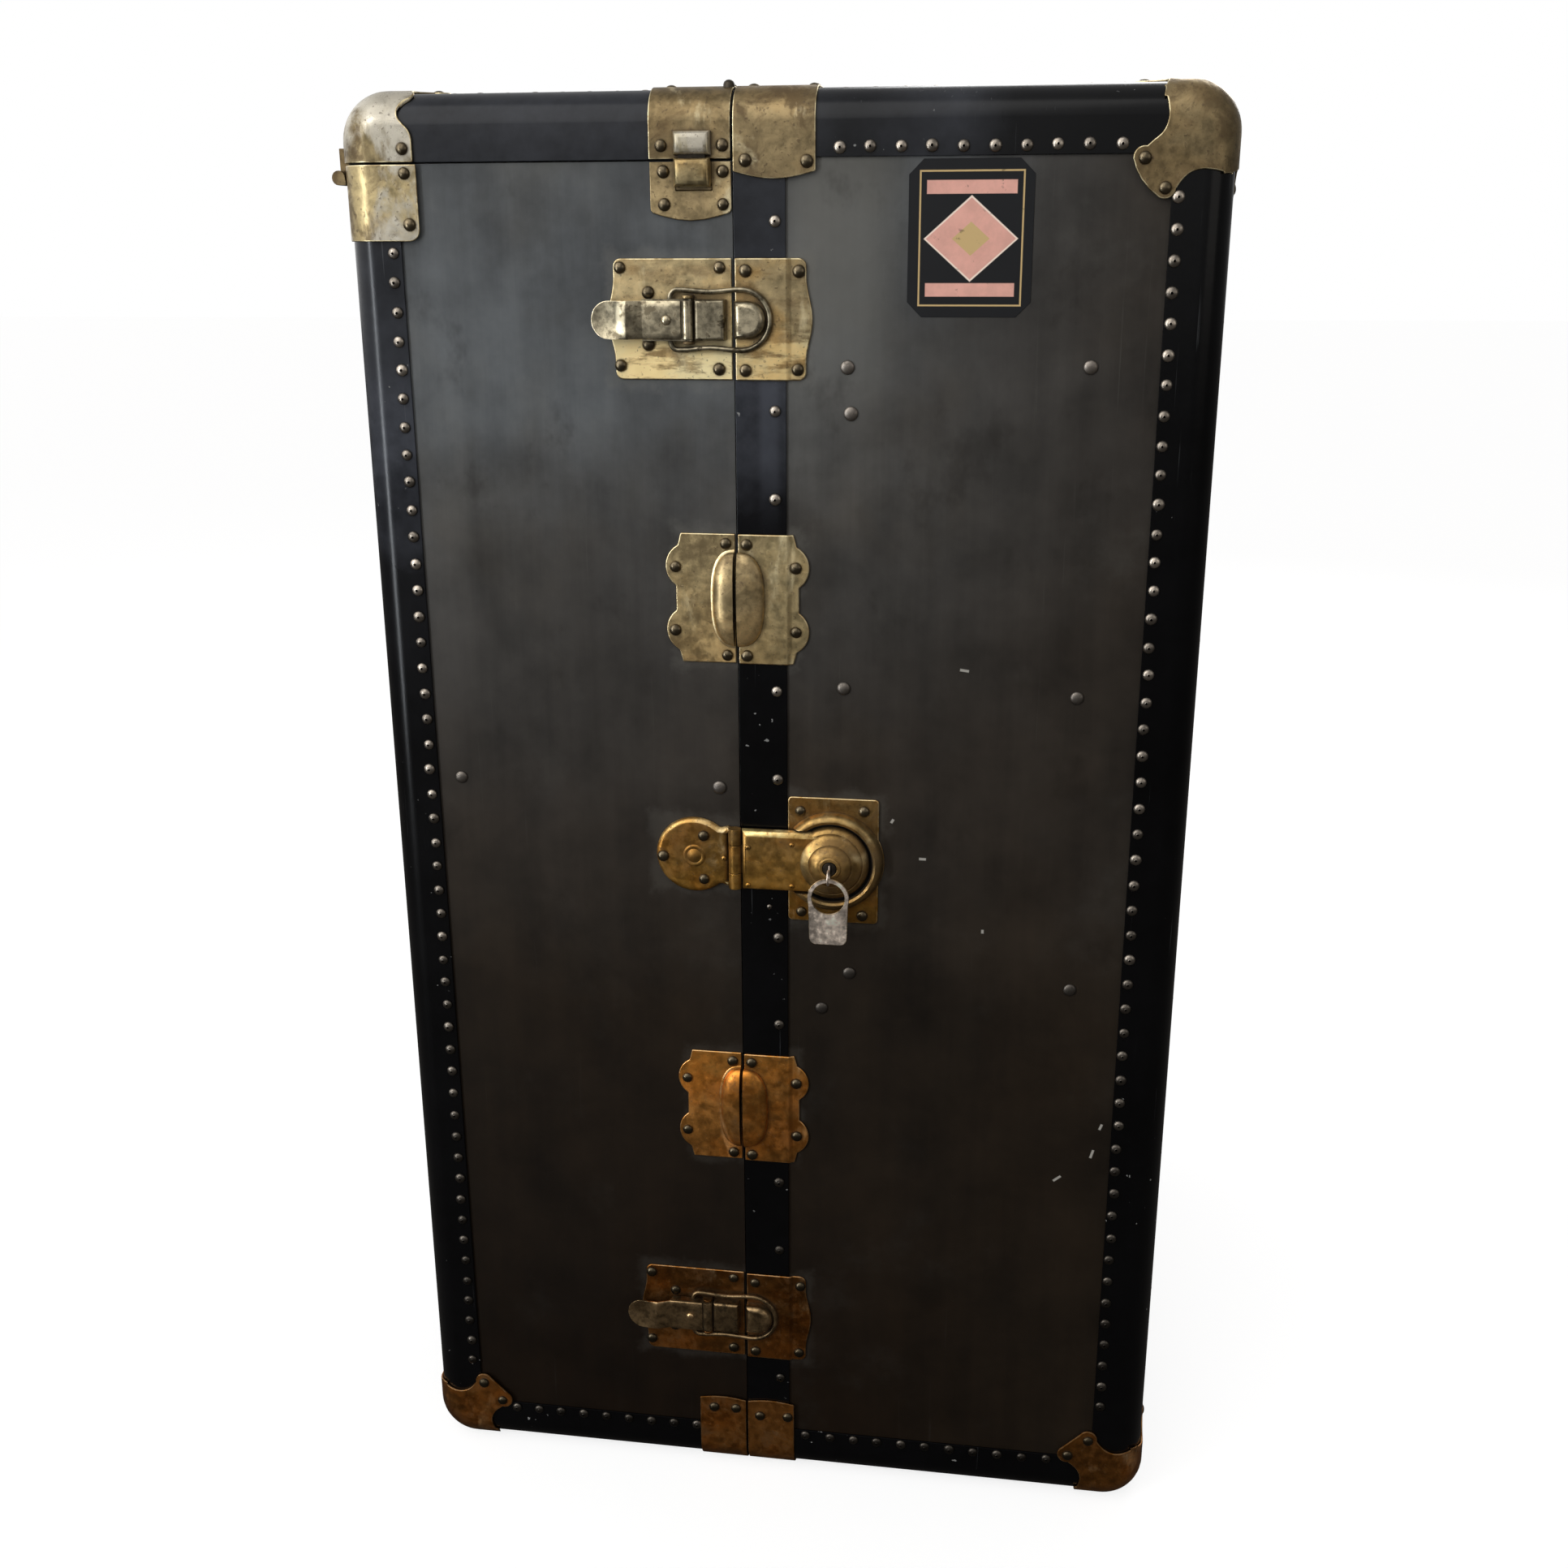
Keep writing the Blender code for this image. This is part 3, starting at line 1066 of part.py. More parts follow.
def drawers(drawer_half):
    """The rack of shelves and the drawers that slide in it."""
    x = (RIGHT_EDGE + RACK_SET_BACK, SIDE - WALL - RACK_BEHIND)
    inset = LIP_PLAY + LIP_THICKNESS + GAP
    y = (HOLLOW_Y[0] + inset, HOLLOW_Y[1] - inset)
    z = (HOLLOW_Z[0] + inset, RACK_TOP)
    rack = piece("drawer_rack", box(x, y, z), PLYWOOD, drawer_half, (0, 0, 0))
    pitch = (z[1] - z[0] - RACK_SHELF) / DRAWERS
    inner_y = (y[0] + RACK_SIDE, y[1] - RACK_SIDE)
    for i in range(DRAWERS):
        low = z[0] + RACK_SHELF + pitch * i
        high = low + pitch - RACK_SHELF
        cut(rack, box((x[0] - WALL, x[1] - RACK_SHELF), inner_y, (low, high)))
        base = (low + GAP, high - DRAWER_PLAY)
        width = (inner_y[0] + DRAWER_PLAY / 2, inner_y[1] - DRAWER_PLAY / 2)
        depth = (x[0] + DRAWER_PLAY, x[1] - RACK_SHELF - DRAWER_PLAY)
        middle = Vector((depth[0], (width[0] + width[1]) / 2, (base[0] + base[1]) / 2))
        drawer = piece(f"drawer_{i + 1}", box(depth, width, base), WOOD, drawer_half, (0, 0, 0))
        cut(drawer, box((depth[0] + DRAWER_FRONT, depth[1] - DRAWER_WALL),
                        (width[0] + DRAWER_WALL, width[1] - DRAWER_WALL),
                        (base[0] + DRAWER_FLOOR, base[1] + WALL)))
        neck = (-KNOB_OUT / 2 - DRAWER_PLAY, DRAWER_FRONT / 2)
        join(drawer, rod("X", middle, -KNOB_OUT, -KNOB_OUT / 2, KNOB_FACE, 14, KNOB_RADIUS))
        join(drawer, rod("X", middle, *neck, KNOB_NECK, 14))


def trolley(hanger_half):
    """The sleeve on the left wall, the rod that slides in it, and the hangers."""
    wall = WALL - SIDE + GAP
    centre = (0, MIDDLE.y, ROD_Z)
    half = SLEEVE_FLANGE / 2
    flange = box((wall, wall + SLEEVE_FLANGE_THICKNESS), (-half, half), (-half, SLEEVE_FLANGE_RISE))
    sleeve = piece("trolley_sleeve", flange, STEEL, hanger_half, centre)
    end = ROD_END_X - HANGERS_FROM_END["inner"] - SLEEVE_TO_HANGER
    join(sleeve, rod("X", (0, 0, 0), wall + GAP, end, SLEEVE_RADIUS))
    cut(sleeve, rod("X", (0, 0, 0), wall - WALL, end + WALL, ROD_RADIUS + GAP))
    start = WALL - SIDE + ROD_FROM_WALL
    shape = rod("X", (0, 0, 0), start, ROD_END_X, ROD_RADIUS)
    slide = empty("trolley_axis", centre, hanger_half)
    made = piece("trolley_rod", shape, STEEL, slide, centre)
    join(made, rod("X", (0, 0, 0), ROD_END_X - ROD_STOP, ROD_END_X + GAP, ROD_STOP))
    for name, distance in HANGERS_FROM_END.items():
        hanger(name, ROD_END_X - distance, slide)


def hanger(name, x, slide):
    """A bent wooden hanger with a wire hook over the rod."""
    seat = ROD_RADIUS + GAP + HANGER_WIRE
    hook = [(0, -HANGER_STEM), (0, -seat - HANGER_NECK)]
    hook += [(v, -u) for u, v in arc((0, 0), seat, *HANGER_HOOK_TURN, 12)]
    wire = tube([(0, u, v) for u, v in hook], HANGER_WIRE)
    run = []
    for i in range(HANGER_STEPS + 1):
        u = 2 * i / HANGER_STEPS - 1
        run.append((0, u * HANGER_HALF, -HANGER_STEM - HANGER_FALL * abs(u) ** HANGER_CURVE))
    made = piece(f"hanger_{name}", tube(run, HANGER_RADIUS), WOOD, slide, (x, MIDDLE.y, ROD_Z))
    join(made, wire)


def main():
    drawer_half = empty("drawer_half", (0, 0, 0))
    hanger_half = empty("hanger_half_axis", (SEAM_X, BACK + HINGE_OUT, 0), drawer_half)
    lid = empty("lid_axis", (-SIDE - LID_HINGE_OUT, MIDDLE.y, LID_SEAM_Z - LID_HINGE_DROP),
                hanger_half)
    shells(drawer_half, hanger_half, lid)
    bindings(drawer_half, hanger_half, lid)
    lid_hinges(corner_caps(drawer_half, hanger_half, lid), hanger_half)
    lid_tongue(clamps(drawer_half, hanger_half, lid), hanger_half)
    for level, z in DOWEL_HEIGHTS.items():
        dowels(level, z, drawer_half, hanger_half)
    for level, z in LATCH_HEIGHTS.items():
        latch_base(level, z, hanger_half)
        bail(level, z, latch_lever(level, z, hanger_half))
        keeper(level, z, drawer_half)
    lock_plate(drawer_half)
    hasp_base(hanger_half)
    lock_and_key(hasp_arm(hanger_half))
    back_hinges(drawer_half, hanger_half)
    handle(1, drawer_half)
    handle(-1, hanger_half)
    lip(drawer_half)
    drawers(drawer_half)
    trolley(hanger_half)


clear_scene()
PARTS = collection("wardrobe_trunk")
CUTTERS = collection("cutters")
main()
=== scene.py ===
"""Dresses the wardrobe trunk: panels, bindings, aged brass, nails, leather and the studio."""

import math
import random

import bmesh
import bpy
from mathutils import Matrix, Vector


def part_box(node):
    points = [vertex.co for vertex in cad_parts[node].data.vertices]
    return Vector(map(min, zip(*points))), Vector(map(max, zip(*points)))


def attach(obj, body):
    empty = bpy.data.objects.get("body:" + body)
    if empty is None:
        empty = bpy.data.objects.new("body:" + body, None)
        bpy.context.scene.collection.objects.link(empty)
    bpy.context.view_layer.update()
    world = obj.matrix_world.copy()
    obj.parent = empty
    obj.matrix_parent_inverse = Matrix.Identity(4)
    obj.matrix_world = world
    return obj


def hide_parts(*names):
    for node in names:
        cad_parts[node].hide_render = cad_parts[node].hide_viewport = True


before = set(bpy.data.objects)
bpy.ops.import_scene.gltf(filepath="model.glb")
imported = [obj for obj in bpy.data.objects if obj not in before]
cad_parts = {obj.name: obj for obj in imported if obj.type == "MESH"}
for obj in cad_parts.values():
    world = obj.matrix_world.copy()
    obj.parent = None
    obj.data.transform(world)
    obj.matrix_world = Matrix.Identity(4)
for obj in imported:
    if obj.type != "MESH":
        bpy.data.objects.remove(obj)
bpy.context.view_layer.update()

bl_info = {
    "name": "Wardrobe trunk",
    "version": (1, 0, 0),
    "blender": (4, 5, 0),
    "location": "3D View > Sidebar > Trunk",
    "description": "Models the panels, bindings, brass hardware and fittings of a wardrobe trunk",
    "category": "Object",
}

MM = 0.001

# Places read from the frame
(RIGHT_EDGE, FRONT, BOTTOM), (SIDE, BACK, TOP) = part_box("right_shell")
LEFT_EDGE, _, BODY_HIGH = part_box("left_shell")[1]
LID_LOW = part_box("lid_shell")[0][2]
SEAM_X = (RIGHT_EDGE + LEFT_EDGE) / 2
MIDDLE = Vector((0, (FRONT + BACK) / 2, (BOTTOM + TOP) / 2))


def middle(node):
    low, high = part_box(node)
    return (Vector(low) + Vector(high)) / 2


LATCH_HEIGHTS = {level: middle(f"{level}_latch_base").z for level in ("upper", "lower")}
DOWEL_HEIGHTS = {level: middle(f"{level}_dowel_plate").z for level in ("upper", "lower")}
LOCK = middle("lock_cylinder")
HANDLE_Z = middle("right_handle_loop_front").z
STRIP_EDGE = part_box("lock_plate")[0][0] - 1.9 * MM
FAR = 1.0
EVERYWHERE = (-FAR, 2 * FAR)
HAIR = 0.02 * MM
RIVET_STRAY = 0.3 * MM
SHEET_RIM = 0.6 * MM
SEAM_INSET = 1.1 * MM
TOOL_MARGIN = 5 * MM
STRIKE_X = LEFT_EDGE - 24 * MM
LEVER_AXIS_X = SEAM_X - 29 * MM
HASP_AXIS_X = SEAM_X - 3 * MM
HASP_KNUCKLE = 4.9 * MM
WELD = 0.01 * MM
RIGHT_SPAN = (RIGHT_EDGE, FAR)
LEFT_SPAN = (-FAR, LEFT_EDGE)
BODY_SPAN = (-FAR, BODY_HIGH)
LID_SPAN = (LID_LOW, 2 * FAR)


def length(name, description, value):
    return bpy.props.FloatProperty(
        name=name, description=description, default=value, min=0, unit="LENGTH", precision=5)


def colour(name, description, *value):
    return bpy.props.FloatVectorProperty(
        name=name, description=description, default=value, subtype="COLOR", min=0, max=1)


class TrunkSizes(bpy.types.PropertyGroup):
    corner_radius: length("Corner radius", "Rounding of the long edges from front to back", 28 * MM)
    edge_radius: length("Edge radius", "Rounding round the front and back", 18 * MM)
    clearance: length("Clearance", "Gap between pieces that touch", 0.3 * MM)
    binding_width: length("Binding width", "Width of the fibre edge bindings", 36.4 * MM)
    top_binding: length("Top binding width",
                        "Width of the bindings along the top of the drawer half", 39.3 * MM)
    binding: length("Binding thickness", "Thickness of the bindings", 1.4 * MM)
    cap: length("Cap thickness", "Thickness of the corner caps", 1.8 * MM)
    sheet: length("Sheet thickness", "Thickness of the brass plates", 1.4 * MM)
    rim: length("Polished rim", "Width of the worn bright edge of a plate", 0.75 * MM)
    cap_reach: length("Cap reach", "How far a corner cap runs along an edge", 48 * MM)
    collar_reach: length("Collar reach", "How far the lid collars run inwards", 50 * MM)
    collar_height: length("Collar height", "Height of the lid collars", 47 * MM)
    clamp_wrap: length("Clamp wrap", "How far the clamps run over the top and bottom", 45 * MM)
    top_clamp: length("Top clamp width", "Width of each clamp at the top", 52 * MM)
    bottom_clamp: length("Bottom clamp width", "Width of each clamp at the bottom", 37 * MM)
    latch_height: length("Latch plate height", "Height of the latch plates", 75 * MM)
    latch_width: length("Latch plate width", "Width of the left latch plate", 78 * MM)
    keeper_width: length("Keeper plate width", "Width of the right latch plate", 46.5 * MM)
    dowel_height: length("Dowel plate height", "Height of the dowel plates", 87.8 * MM)
    dowel_width: length("Dowel plate width", "Width of each dowel plate", 38 * MM)
    rivet: length("Rivet radius", "Radius of the rivet heads", 3.95 * MM)
    nail: length("Nail radius", "Radius of the nail heads", 3.9 * MM)
    sunk: length("Sunk nails", "How much deeper the nails of the top and sides are driven",
                 0.9 * MM)
    nail_pitch: length("Nail pitch", "Distance between nails along a binding", 18.6 * MM)
    nail_inset: length("Nail inset", "Distance of the nails from the outer edge", 32 * MM)


class TrunkFinishes(bpy.types.PropertyGroup):
    fibre_high: colour("Fibre, top", "Panels at the upper left", 0.088, 0.094, 0.099)
    fibre_upper: colour("Fibre, upper", "Panels above the lock", 0.050, 0.0480, 0.0450)
    fibre_mid: colour("Fibre, middle", "Panels at half height", 0.0250, 0.0200, 0.0155)
    fibre_worn: colour("Fibre, lower", "Panels below the lock", 0.0128, 0.0086, 0.0050)
    fibre_low: colour("Fibre, bottom", "Panels near the floor", 0.0062, 0.0030, 0.0009)
    fibre_dust: colour("Dust", "Pale dust round the plates", 0.14, 0.135, 0.12)
    lining: colour("Lining", "Paper lining inside the trunk", 0.26, 0.235, 0.19)
    binding: colour("Binding", "Black fibre bindings", 0.0013, 0.0013, 0.0016)
    binding_dusty: colour("Dusty binding", "Bindings near the top", 0.026, 0.028, 0.034)
    brass_high: colour("Brass, top", "Brass near the top", 0.58, 0.435, 0.225)
    brass_mid: colour("Brass, middle", "Brass round the lock", 0.74, 0.38, 0.070)
    brass_pale: colour("Pale brass", "Handled brass of the lock", 0.70, 0.58, 0.30)
    brass_amber: colour("Brass, lower", "Brass below the lock", 0.98, 0.42, 0.09)
    brass_low: colour("Brass, bottom", "Brass near the floor", 0.66, 0.26, 0.055)
    # Also the colour of painted shade on the brass.
    brass_stain: colour("Brass stain", "Brown tarnish on the brass", 0.10, 0.055, 0.020)
    brass_bright: colour("Bright brass", "Polished edges and scratches", 0.98, 0.86, 0.54)
    brass_gold: colour("Scratched brass", "Fresh scratches on the upper latch", 1.0, 0.85, 0.47)
    silver: colour("Worn plate", "Where the top corners are worn bright", 0.50, 0.46, 0.375)
    nickel: colour("Nickel", "Levers, bails and latch blocks", 0.44, 0.38, 0.26)
    nickel_low: colour("Tarnished nickel", "The lower latch", 0.36, 0.24, 0.12)
    bronze: colour("Bronze", "Rivet heads", 0.17, 0.135, 0.085)
    tin: colour("Tin", "Grey rivet heads of the panels", 0.26, 0.23, 0.20)
    copper: colour("Copper", "Nail heads", 0.32, 0.28, 0.235)
    steel: colour("Steel", "Key and fob", 0.74, 0.63, 0.53)
    leather: colour("Leather", "Carrying handles", 0.075, 0.033, 0.016)
    wood: colour("Wood", "Drawers and hangers", 0.30, 0.155, 0.065)
    plywood: colour("Plywood", "Drawer rack", 0.33, 0.25, 0.17)
    label_field: colour("Label", "Black field of the label", 0.0032, 0.0036, 0.0048)
    label_panel: colour("Label panel", "Rose diamond and bands of the label", 0.84, 0.44, 0.36)
    label_cream: colour("Label cream", "Pale edge of the label's diamond", 0.95, 0.78, 0.66)
    label_line: colour("Label line", "Gilt lines of the label", 0.62, 0.44, 0.20)


def sizes():
    return bpy.context.scene.trunk_sizes


def finishes():
    return bpy.context.scene.trunk_finishes


def over_binding():
    """The height of the lowest brass over the covered carcass."""
    s = sizes()
    return 2 * s.clearance + s.binding


def sheet_out():
    return over_binding() + sizes().sheet


def plate_out():
    return sizes().clearance + sizes().sheet


# Working in edit mode

def clear():
    """Leave edit mode with nothing selected."""
    active = bpy.context.view_layer.objects.active
    if active and active.mode != "OBJECT":
        bpy.ops.object.mode_set(mode="OBJECT")
    bpy.ops.object.select_all(action="DESELECT")


def only(*things):
    clear()
    for thing in things:
        thing.select_set(True)
    bpy.context.view_layer.objects.active = things[-1]


def edit(thing, kind="VERT"):
    """Enter edit mode with everything selected."""
    only(thing)
    bpy.ops.object.mode_set(mode="EDIT")
    bpy.ops.mesh.select_mode(type=kind)
    bpy.ops.mesh.select_all(action="SELECT")


def pick(thing, kind, test):
    """Enter edit mode with the vertices, edges or faces that pass a test selected."""
    edit(thing, kind)
    bpy.ops.mesh.select_all(action="DESELECT")
    shape = bmesh.from_edit_mesh(thing.data)
    for part in {"VERT": shape.verts, "EDGE": shape.edges, "FACE": shape.faces}[kind]:
        if test(part):
            part.select_set(True)
    shape.select_flush_mode()
    bmesh.update_edit_mesh(thing.data)


def named(name):
    """The new active primitive under its name, its place in its mesh."""
    bpy.ops.object.transform_apply(location=True, rotation=True, scale=True)
    made = bpy.context.object
    made.name = name
    made.data.name = name
    return made


def block(name, x, y, z):
    """A box from three (low, high) ranges."""
    clear()
    low = Vector((min(x), min(y), min(z)))
    high = Vector((max(x), max(y), max(z)))
    bpy.ops.mesh.primitive_cube_add(size=1, location=(low + high) / 2, scale=high - low)
    return named(name)


def bevelled(thing, test, width, segments, profile=0.5):
    """Round the edges that pass a test on their two ends."""
    pick(thing, "EDGE", lambda e: all(test(v.co) for v in e.verts))
    bpy.ops.mesh.bevel(offset=width, offset_type="OFFSET", segments=segments, profile=profile,
                       affect="EDGES", clamp_overlap=False)
    clear()
    return thing


def use(thing, kind, **settings):
    """Add one modifier and apply it."""
    only(thing)
    step = thing.modifiers.new(kind.lower(), kind)
    for key, value in settings.items():
        setattr(step, key, value)
    bpy.ops.object.modifier_apply(modifier=step.name)
    return thing


def carve(thing, other, operation="DIFFERENCE"):
    """Work one shape on another, which is used up."""
    use(thing, "BOOLEAN", operation=operation, solver="EXACT", object=other)
    bpy.data.objects.remove(other)
    return thing


def within(thing, x=EVERYWHERE, y=EVERYWHERE, z=EVERYWHERE):
    """Keep what lies in three ranges."""
    return carve(thing, block("bounds", x, y, z), "INTERSECT")


def cut_away(thing, x=EVERYWHERE, y=EVERYWHERE, z=EVERYWHERE):
    """Take off what lies in three ranges."""
    return carve(thing, block("bounds", x, y, z))


def welded(thing, flat=0.5):
    """Join loose triangles and dissolve what lies flat."""
    edit(thing)
    bpy.ops.mesh.remove_doubles(threshold=WELD)
    if flat:
        bpy.ops.mesh.dissolve_limited(angle_limit=math.radians(flat))
    bpy.ops.mesh.normals_make_consistent(inside=False)
    clear()
    return thing


def blend_between(value, low, high):
    """0 below low, 1 above high, smooth between them."""
    part = min(1.0, max(0.0, (value - low) / (high - low)))
    return part * part * (3 - 2 * part)


def painted_top_highlight(thing, rise=0.22):
    """The second, brighter look on the faces that point up: a painted highlight where light falls
    from above.
    """
    pick(thing, "FACE", lambda f: f.normal.z > rise and abs(f.normal.y) > 0.05)
    thing.active_material_index = 1
    bpy.ops.object.material_slot_assign()
    clear()
    return thing


def paint(thing, *looks):
    thing.data.materials.clear()
    for made in looks:
        thing.data.materials.append(made)
    return thing


def eased(thing, width, segments=2, angle=32, rim=False):
    """Ease the sharp edges, with the second look on them where there is a rim."""
    use(thing, "BEVEL", width=width, segments=segments, limit_method="ANGLE",
        angle_limit=math.radians(angle), use_clamp_overlap=False, miter_outer="MITER_ARC",
        material=1 if rim else -1)
    return smooth(thing)


def rimmed(thing, name, width, segments=2, angle=50):
    """Painted in a brass look, its eased edges worn bright."""
    return eased(paint(thing, look(name), look("brass_rim")), width, segments, angle, True)


def smooth(thing, angle=35, weighted=True):
    only(thing)
    bpy.ops.object.shade_smooth_by_angle(angle=math.radians(angle))
    if weighted:
        use(thing, "WEIGHTED_NORMAL", keep_sharp=True)
    return thing


def settle(thing, body, slot, *nodes):
    """The piece rides on a body and stands for CAD nodes, which it hides; its slot is not used."""
    clear()
    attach(thing, body)
    if nodes:
        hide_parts(*nodes)
    return thing


def twin(source, name):
    """A copy of a piece with its own mesh."""
    made = source.copy()
    made.data = source.data.copy()
    made.name = name
    made.data.name = name
    bpy.context.scene.collection.objects.link(made)
    return made


def from_node(node, name=None):
    """A welded copy of a CAD node's form."""
    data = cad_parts[node].data.copy()
    made = bpy.data.objects.new(name or f"{node}_form", data)
    bpy.context.scene.collection.objects.link(made)
    return welded(made)


def refined(node, body, slot, look, rim=None, width=0.5 * MM, segments=2, angle=32):
    """The CAD node's own form with eased edges."""
    made = paint(from_node(node), look, *([rim] if rim else []))
    eased(made, width, segments, angle, bool(rim))
    return settle(made, body, slot, node)


def mirror(thing, axis, place):
    """Turn a piece over across a plane, its faces still pointing out."""
    only(thing)
    thing.matrix_world = (Matrix.Translation(place) @ Matrix.Diagonal(
        [-1 if i == axis else 1 for i in range(3)] + [1]) @ Matrix.Translation(-Vector(place)))
    bpy.ops.object.transform_apply(location=True, rotation=True, scale=True)
    edit(thing)
    bpy.ops.mesh.normals_make_consistent(inside=False)
    clear()
    return thing


# Outlines

def in_mm(points):
    return [(u * MM, v * MM) for u, v in points]


def arc(centre, radius, start, end, steps):
    turn = [math.radians(start + (end - start) * i / steps) for i in range(steps + 1)]
    return [(centre[0] + radius * math.cos(a), centre[1] + radius * math.sin(a)) for a in turn]


def flipped(outline):
    return [(-u, v) for u, v in reversed(outline)]


def curved(points, steps=5):
    """A smooth run through points."""
    run = []
    ends = [points[0], *points, points[-1]]
    for a, b, c, d in zip(ends, ends[1:], ends[2:], ends[3:]):
        for i in range(steps):
            t = i / steps
            run.append(tuple(
                0.5 * (2 * q + (r - p) * t + (2 * p - 5 * q + 4 * r - s) * t * t
                       + (3 * q - p - 3 * r + s) * t ** 3) for p, q, r, s in zip(a, b, c, d)))
    return [*run, tuple(points[-1])]


FACINGS = {
    "Y": (lambda u, v, w: (u, w, v), Vector((0, 1, 0))),
    "X": (lambda u, v, w: (w, u, v), Vector((1, 0, 0))),
    "Z": (lambda u, v, w: (u, v, w), Vector((0, 0, 1))),
}


def prism(name, axis, outline, low, high):
    """An outline extruded along an axis, started as a filled circle."""
    place, along = FACINGS[axis]
    clear()
    bpy.ops.mesh.primitive_circle_add(vertices=len(outline), radius=1, fill_type="NGON")
    made = named(name)
    edit(made, "FACE")
    for vert, (u, v) in zip(bmesh.from_edit_mesh(made.data).verts, outline):
        vert.co = place(u, v, low)
    bmesh.update_edit_mesh(made.data)
    bpy.ops.mesh.extrude_region_move(TRANSFORM_OT_translate={"value": along * (high - low)})
    bpy.ops.mesh.select_all(action="SELECT")
    bpy.ops.mesh.normals_make_consistent(inside=False)
    clear()
    return made


def plate(name, outline, centre, inner, outer):
    """A flat plate on the front: an outline round a centre, between two distances out."""
    moved = [(centre[0] + u, centre[1] + v) for u, v in outline]
    return prism(name, "Y", moved, FRONT - inner, FRONT - outer)


def turned(name, profile, centre, sides=48):
    """A profile of (radius, out) spun round an axis that points out of the front."""
    clear()
    bpy.ops.mesh.primitive_circle_add(vertices=len(profile), radius=1, fill_type="NOTHING")
    made = named(name)
    edit(made)
    shape = bmesh.from_edit_mesh(made.data)
    shape.verts.ensure_lookup_table()
    for vert, (r, out) in zip(shape.verts, profile):
        vert.co = (centre[0] + r, FRONT - out, centre[1])
    if profile[0][0] == 0 and profile[-1][0] == 0:
        ends = {shape.verts[0], shape.verts[len(profile) - 1]}
        closing = [e for e in shape.edges if set(e.verts) == ends]
        bmesh.ops.delete(shape, geom=closing, context="EDGES")
    bmesh.update_edit_mesh(made.data)
    bpy.ops.mesh.select_all(action="SELECT")
    bpy.ops.mesh.spin(steps=sides, angle=math.tau, center=(centre[0], FRONT, centre[1]),
                      axis=(0, -1, 0), use_auto_merge=True)
    bpy.ops.mesh.select_all(action="SELECT")
    bpy.ops.mesh.remove_doubles(threshold=WELD)
    bpy.ops.mesh.normals_make_consistent(inside=False)
    clear()
    return made


def barrel(name, axis, centre, low, high, radius, sides, ease=0.4 * MM):
    """A round bar with eased ends."""
    turn = {"X": (0, math.pi / 2, 0), "Y": (math.pi / 2, 0, 0), "Z": (0, 0, 0)}[axis]
    place = Vector(centre) + FACINGS[axis][1] * (low + high) / 2
    clear()
    bpy.ops.mesh.primitive_cylinder_add(vertices=sides, radius=radius, depth=high - low,
                                        location=place, rotation=turn)
    return use(named(name), "BEVEL", width=ease, segments=2, limit_method="ANGLE",
               angle_limit=math.radians(50))


def wire(name, points, radius, closed=False, sides=5):
    """A round wire through points, made a mesh."""
    data = bpy.data.curves.new(name, "CURVE")
    data.dimensions = "3D"
    data.bevel_depth = radius
    data.bevel_resolution = sides
    data.use_fill_caps = True
    run = data.splines.new("POLY")
    run.points.add(len(points) - 1)
    for target, place in zip(run.points, points):
        target.co = (*place, 1)
    run.use_cyclic_u = closed
    made = bpy.data.objects.new(name, data)
    bpy.context.scene.collection.objects.link(made)
    only(made)
    bpy.ops.object.convert(target="MESH")
    made = bpy.context.object
    welded(made, 0)
    return smooth(made, 50, False)


def joined(name, *things):
    only(*reversed(things))
    bpy.ops.object.join()
    made = bpy.context.object
    made.name = name
    made.data.name = name
    return made


# Rounded layers of the trunk

def rounded_block(name, out):
    """The trunk's rounded block, grown outwards."""
    s = sizes()
    half = Vector((SIDE, (BACK - FRONT) / 2, (TOP - BOTTOM) / 2)) + Vector((out, out, out))
    low, high = MIDDLE - half, MIDDLE + half
    made = block(name, (low.x, high.x), (low.y, high.y), (low.z, high.z))
    pick(made, "EDGE", lambda e: abs(e.verts[0].co.y - e.verts[1].co.y) > half.y)
    bpy.ops.mesh.bevel(offset=s.corner_radius + out, segments=14, profile=0.5, affect="EDGES")
    for side in (low.y, high.y):
        bevelled(made, lambda co, y=side: abs(co.y - y) < 0.1 * MM, s.edge_radius + out, 10)
    return made


def layer(name, inside, outside):
    return carve(rounded_block(name, outside), rounded_block("inner", inside))


BASES = {}


def base_layer(kind):
    """The layers that bindings, caps and sheets are cut from, each made once."""
    s = sizes()
    if kind not in BASES:
        inside, outside = {
            "binding": (s.clearance, s.clearance + s.binding),
            "cap": (over_binding(), over_binding() + s.cap),
            "sheet": (over_binding(), sheet_out()),
        }[kind]
        BASES[kind] = layer(f"{kind}_base", inside, outside)
    return BASES[kind]


def cut_out(kind, name, bounds):
    return carve(twin(base_layer(kind), name), bounds, "INTERSECT")


# Shader looks

def times(share, tone):
    return [share * c for c in tone]


class Value:
    """A shader socket on which arithmetic adds nodes."""

    def __init__(self, look, socket):
        self.look = look
        self.socket = socket

    def __add__(self, other):
        return self.look.math("ADD", self, other)

    def __sub__(self, other):
        return self.look.math("SUBTRACT", self, other)

    def __rsub__(self, other):
        return self.look.math("SUBTRACT", other, self)

    def __mul__(self, other):
        return self.look.math("MULTIPLY", self, other)

    def __pow__(self, other):
        return self.look.math("POWER", self, other)

    def __abs__(self):
        return self.look.math("ABSOLUTE", self)

    __radd__ = __add__
    __rmul__ = __mul__


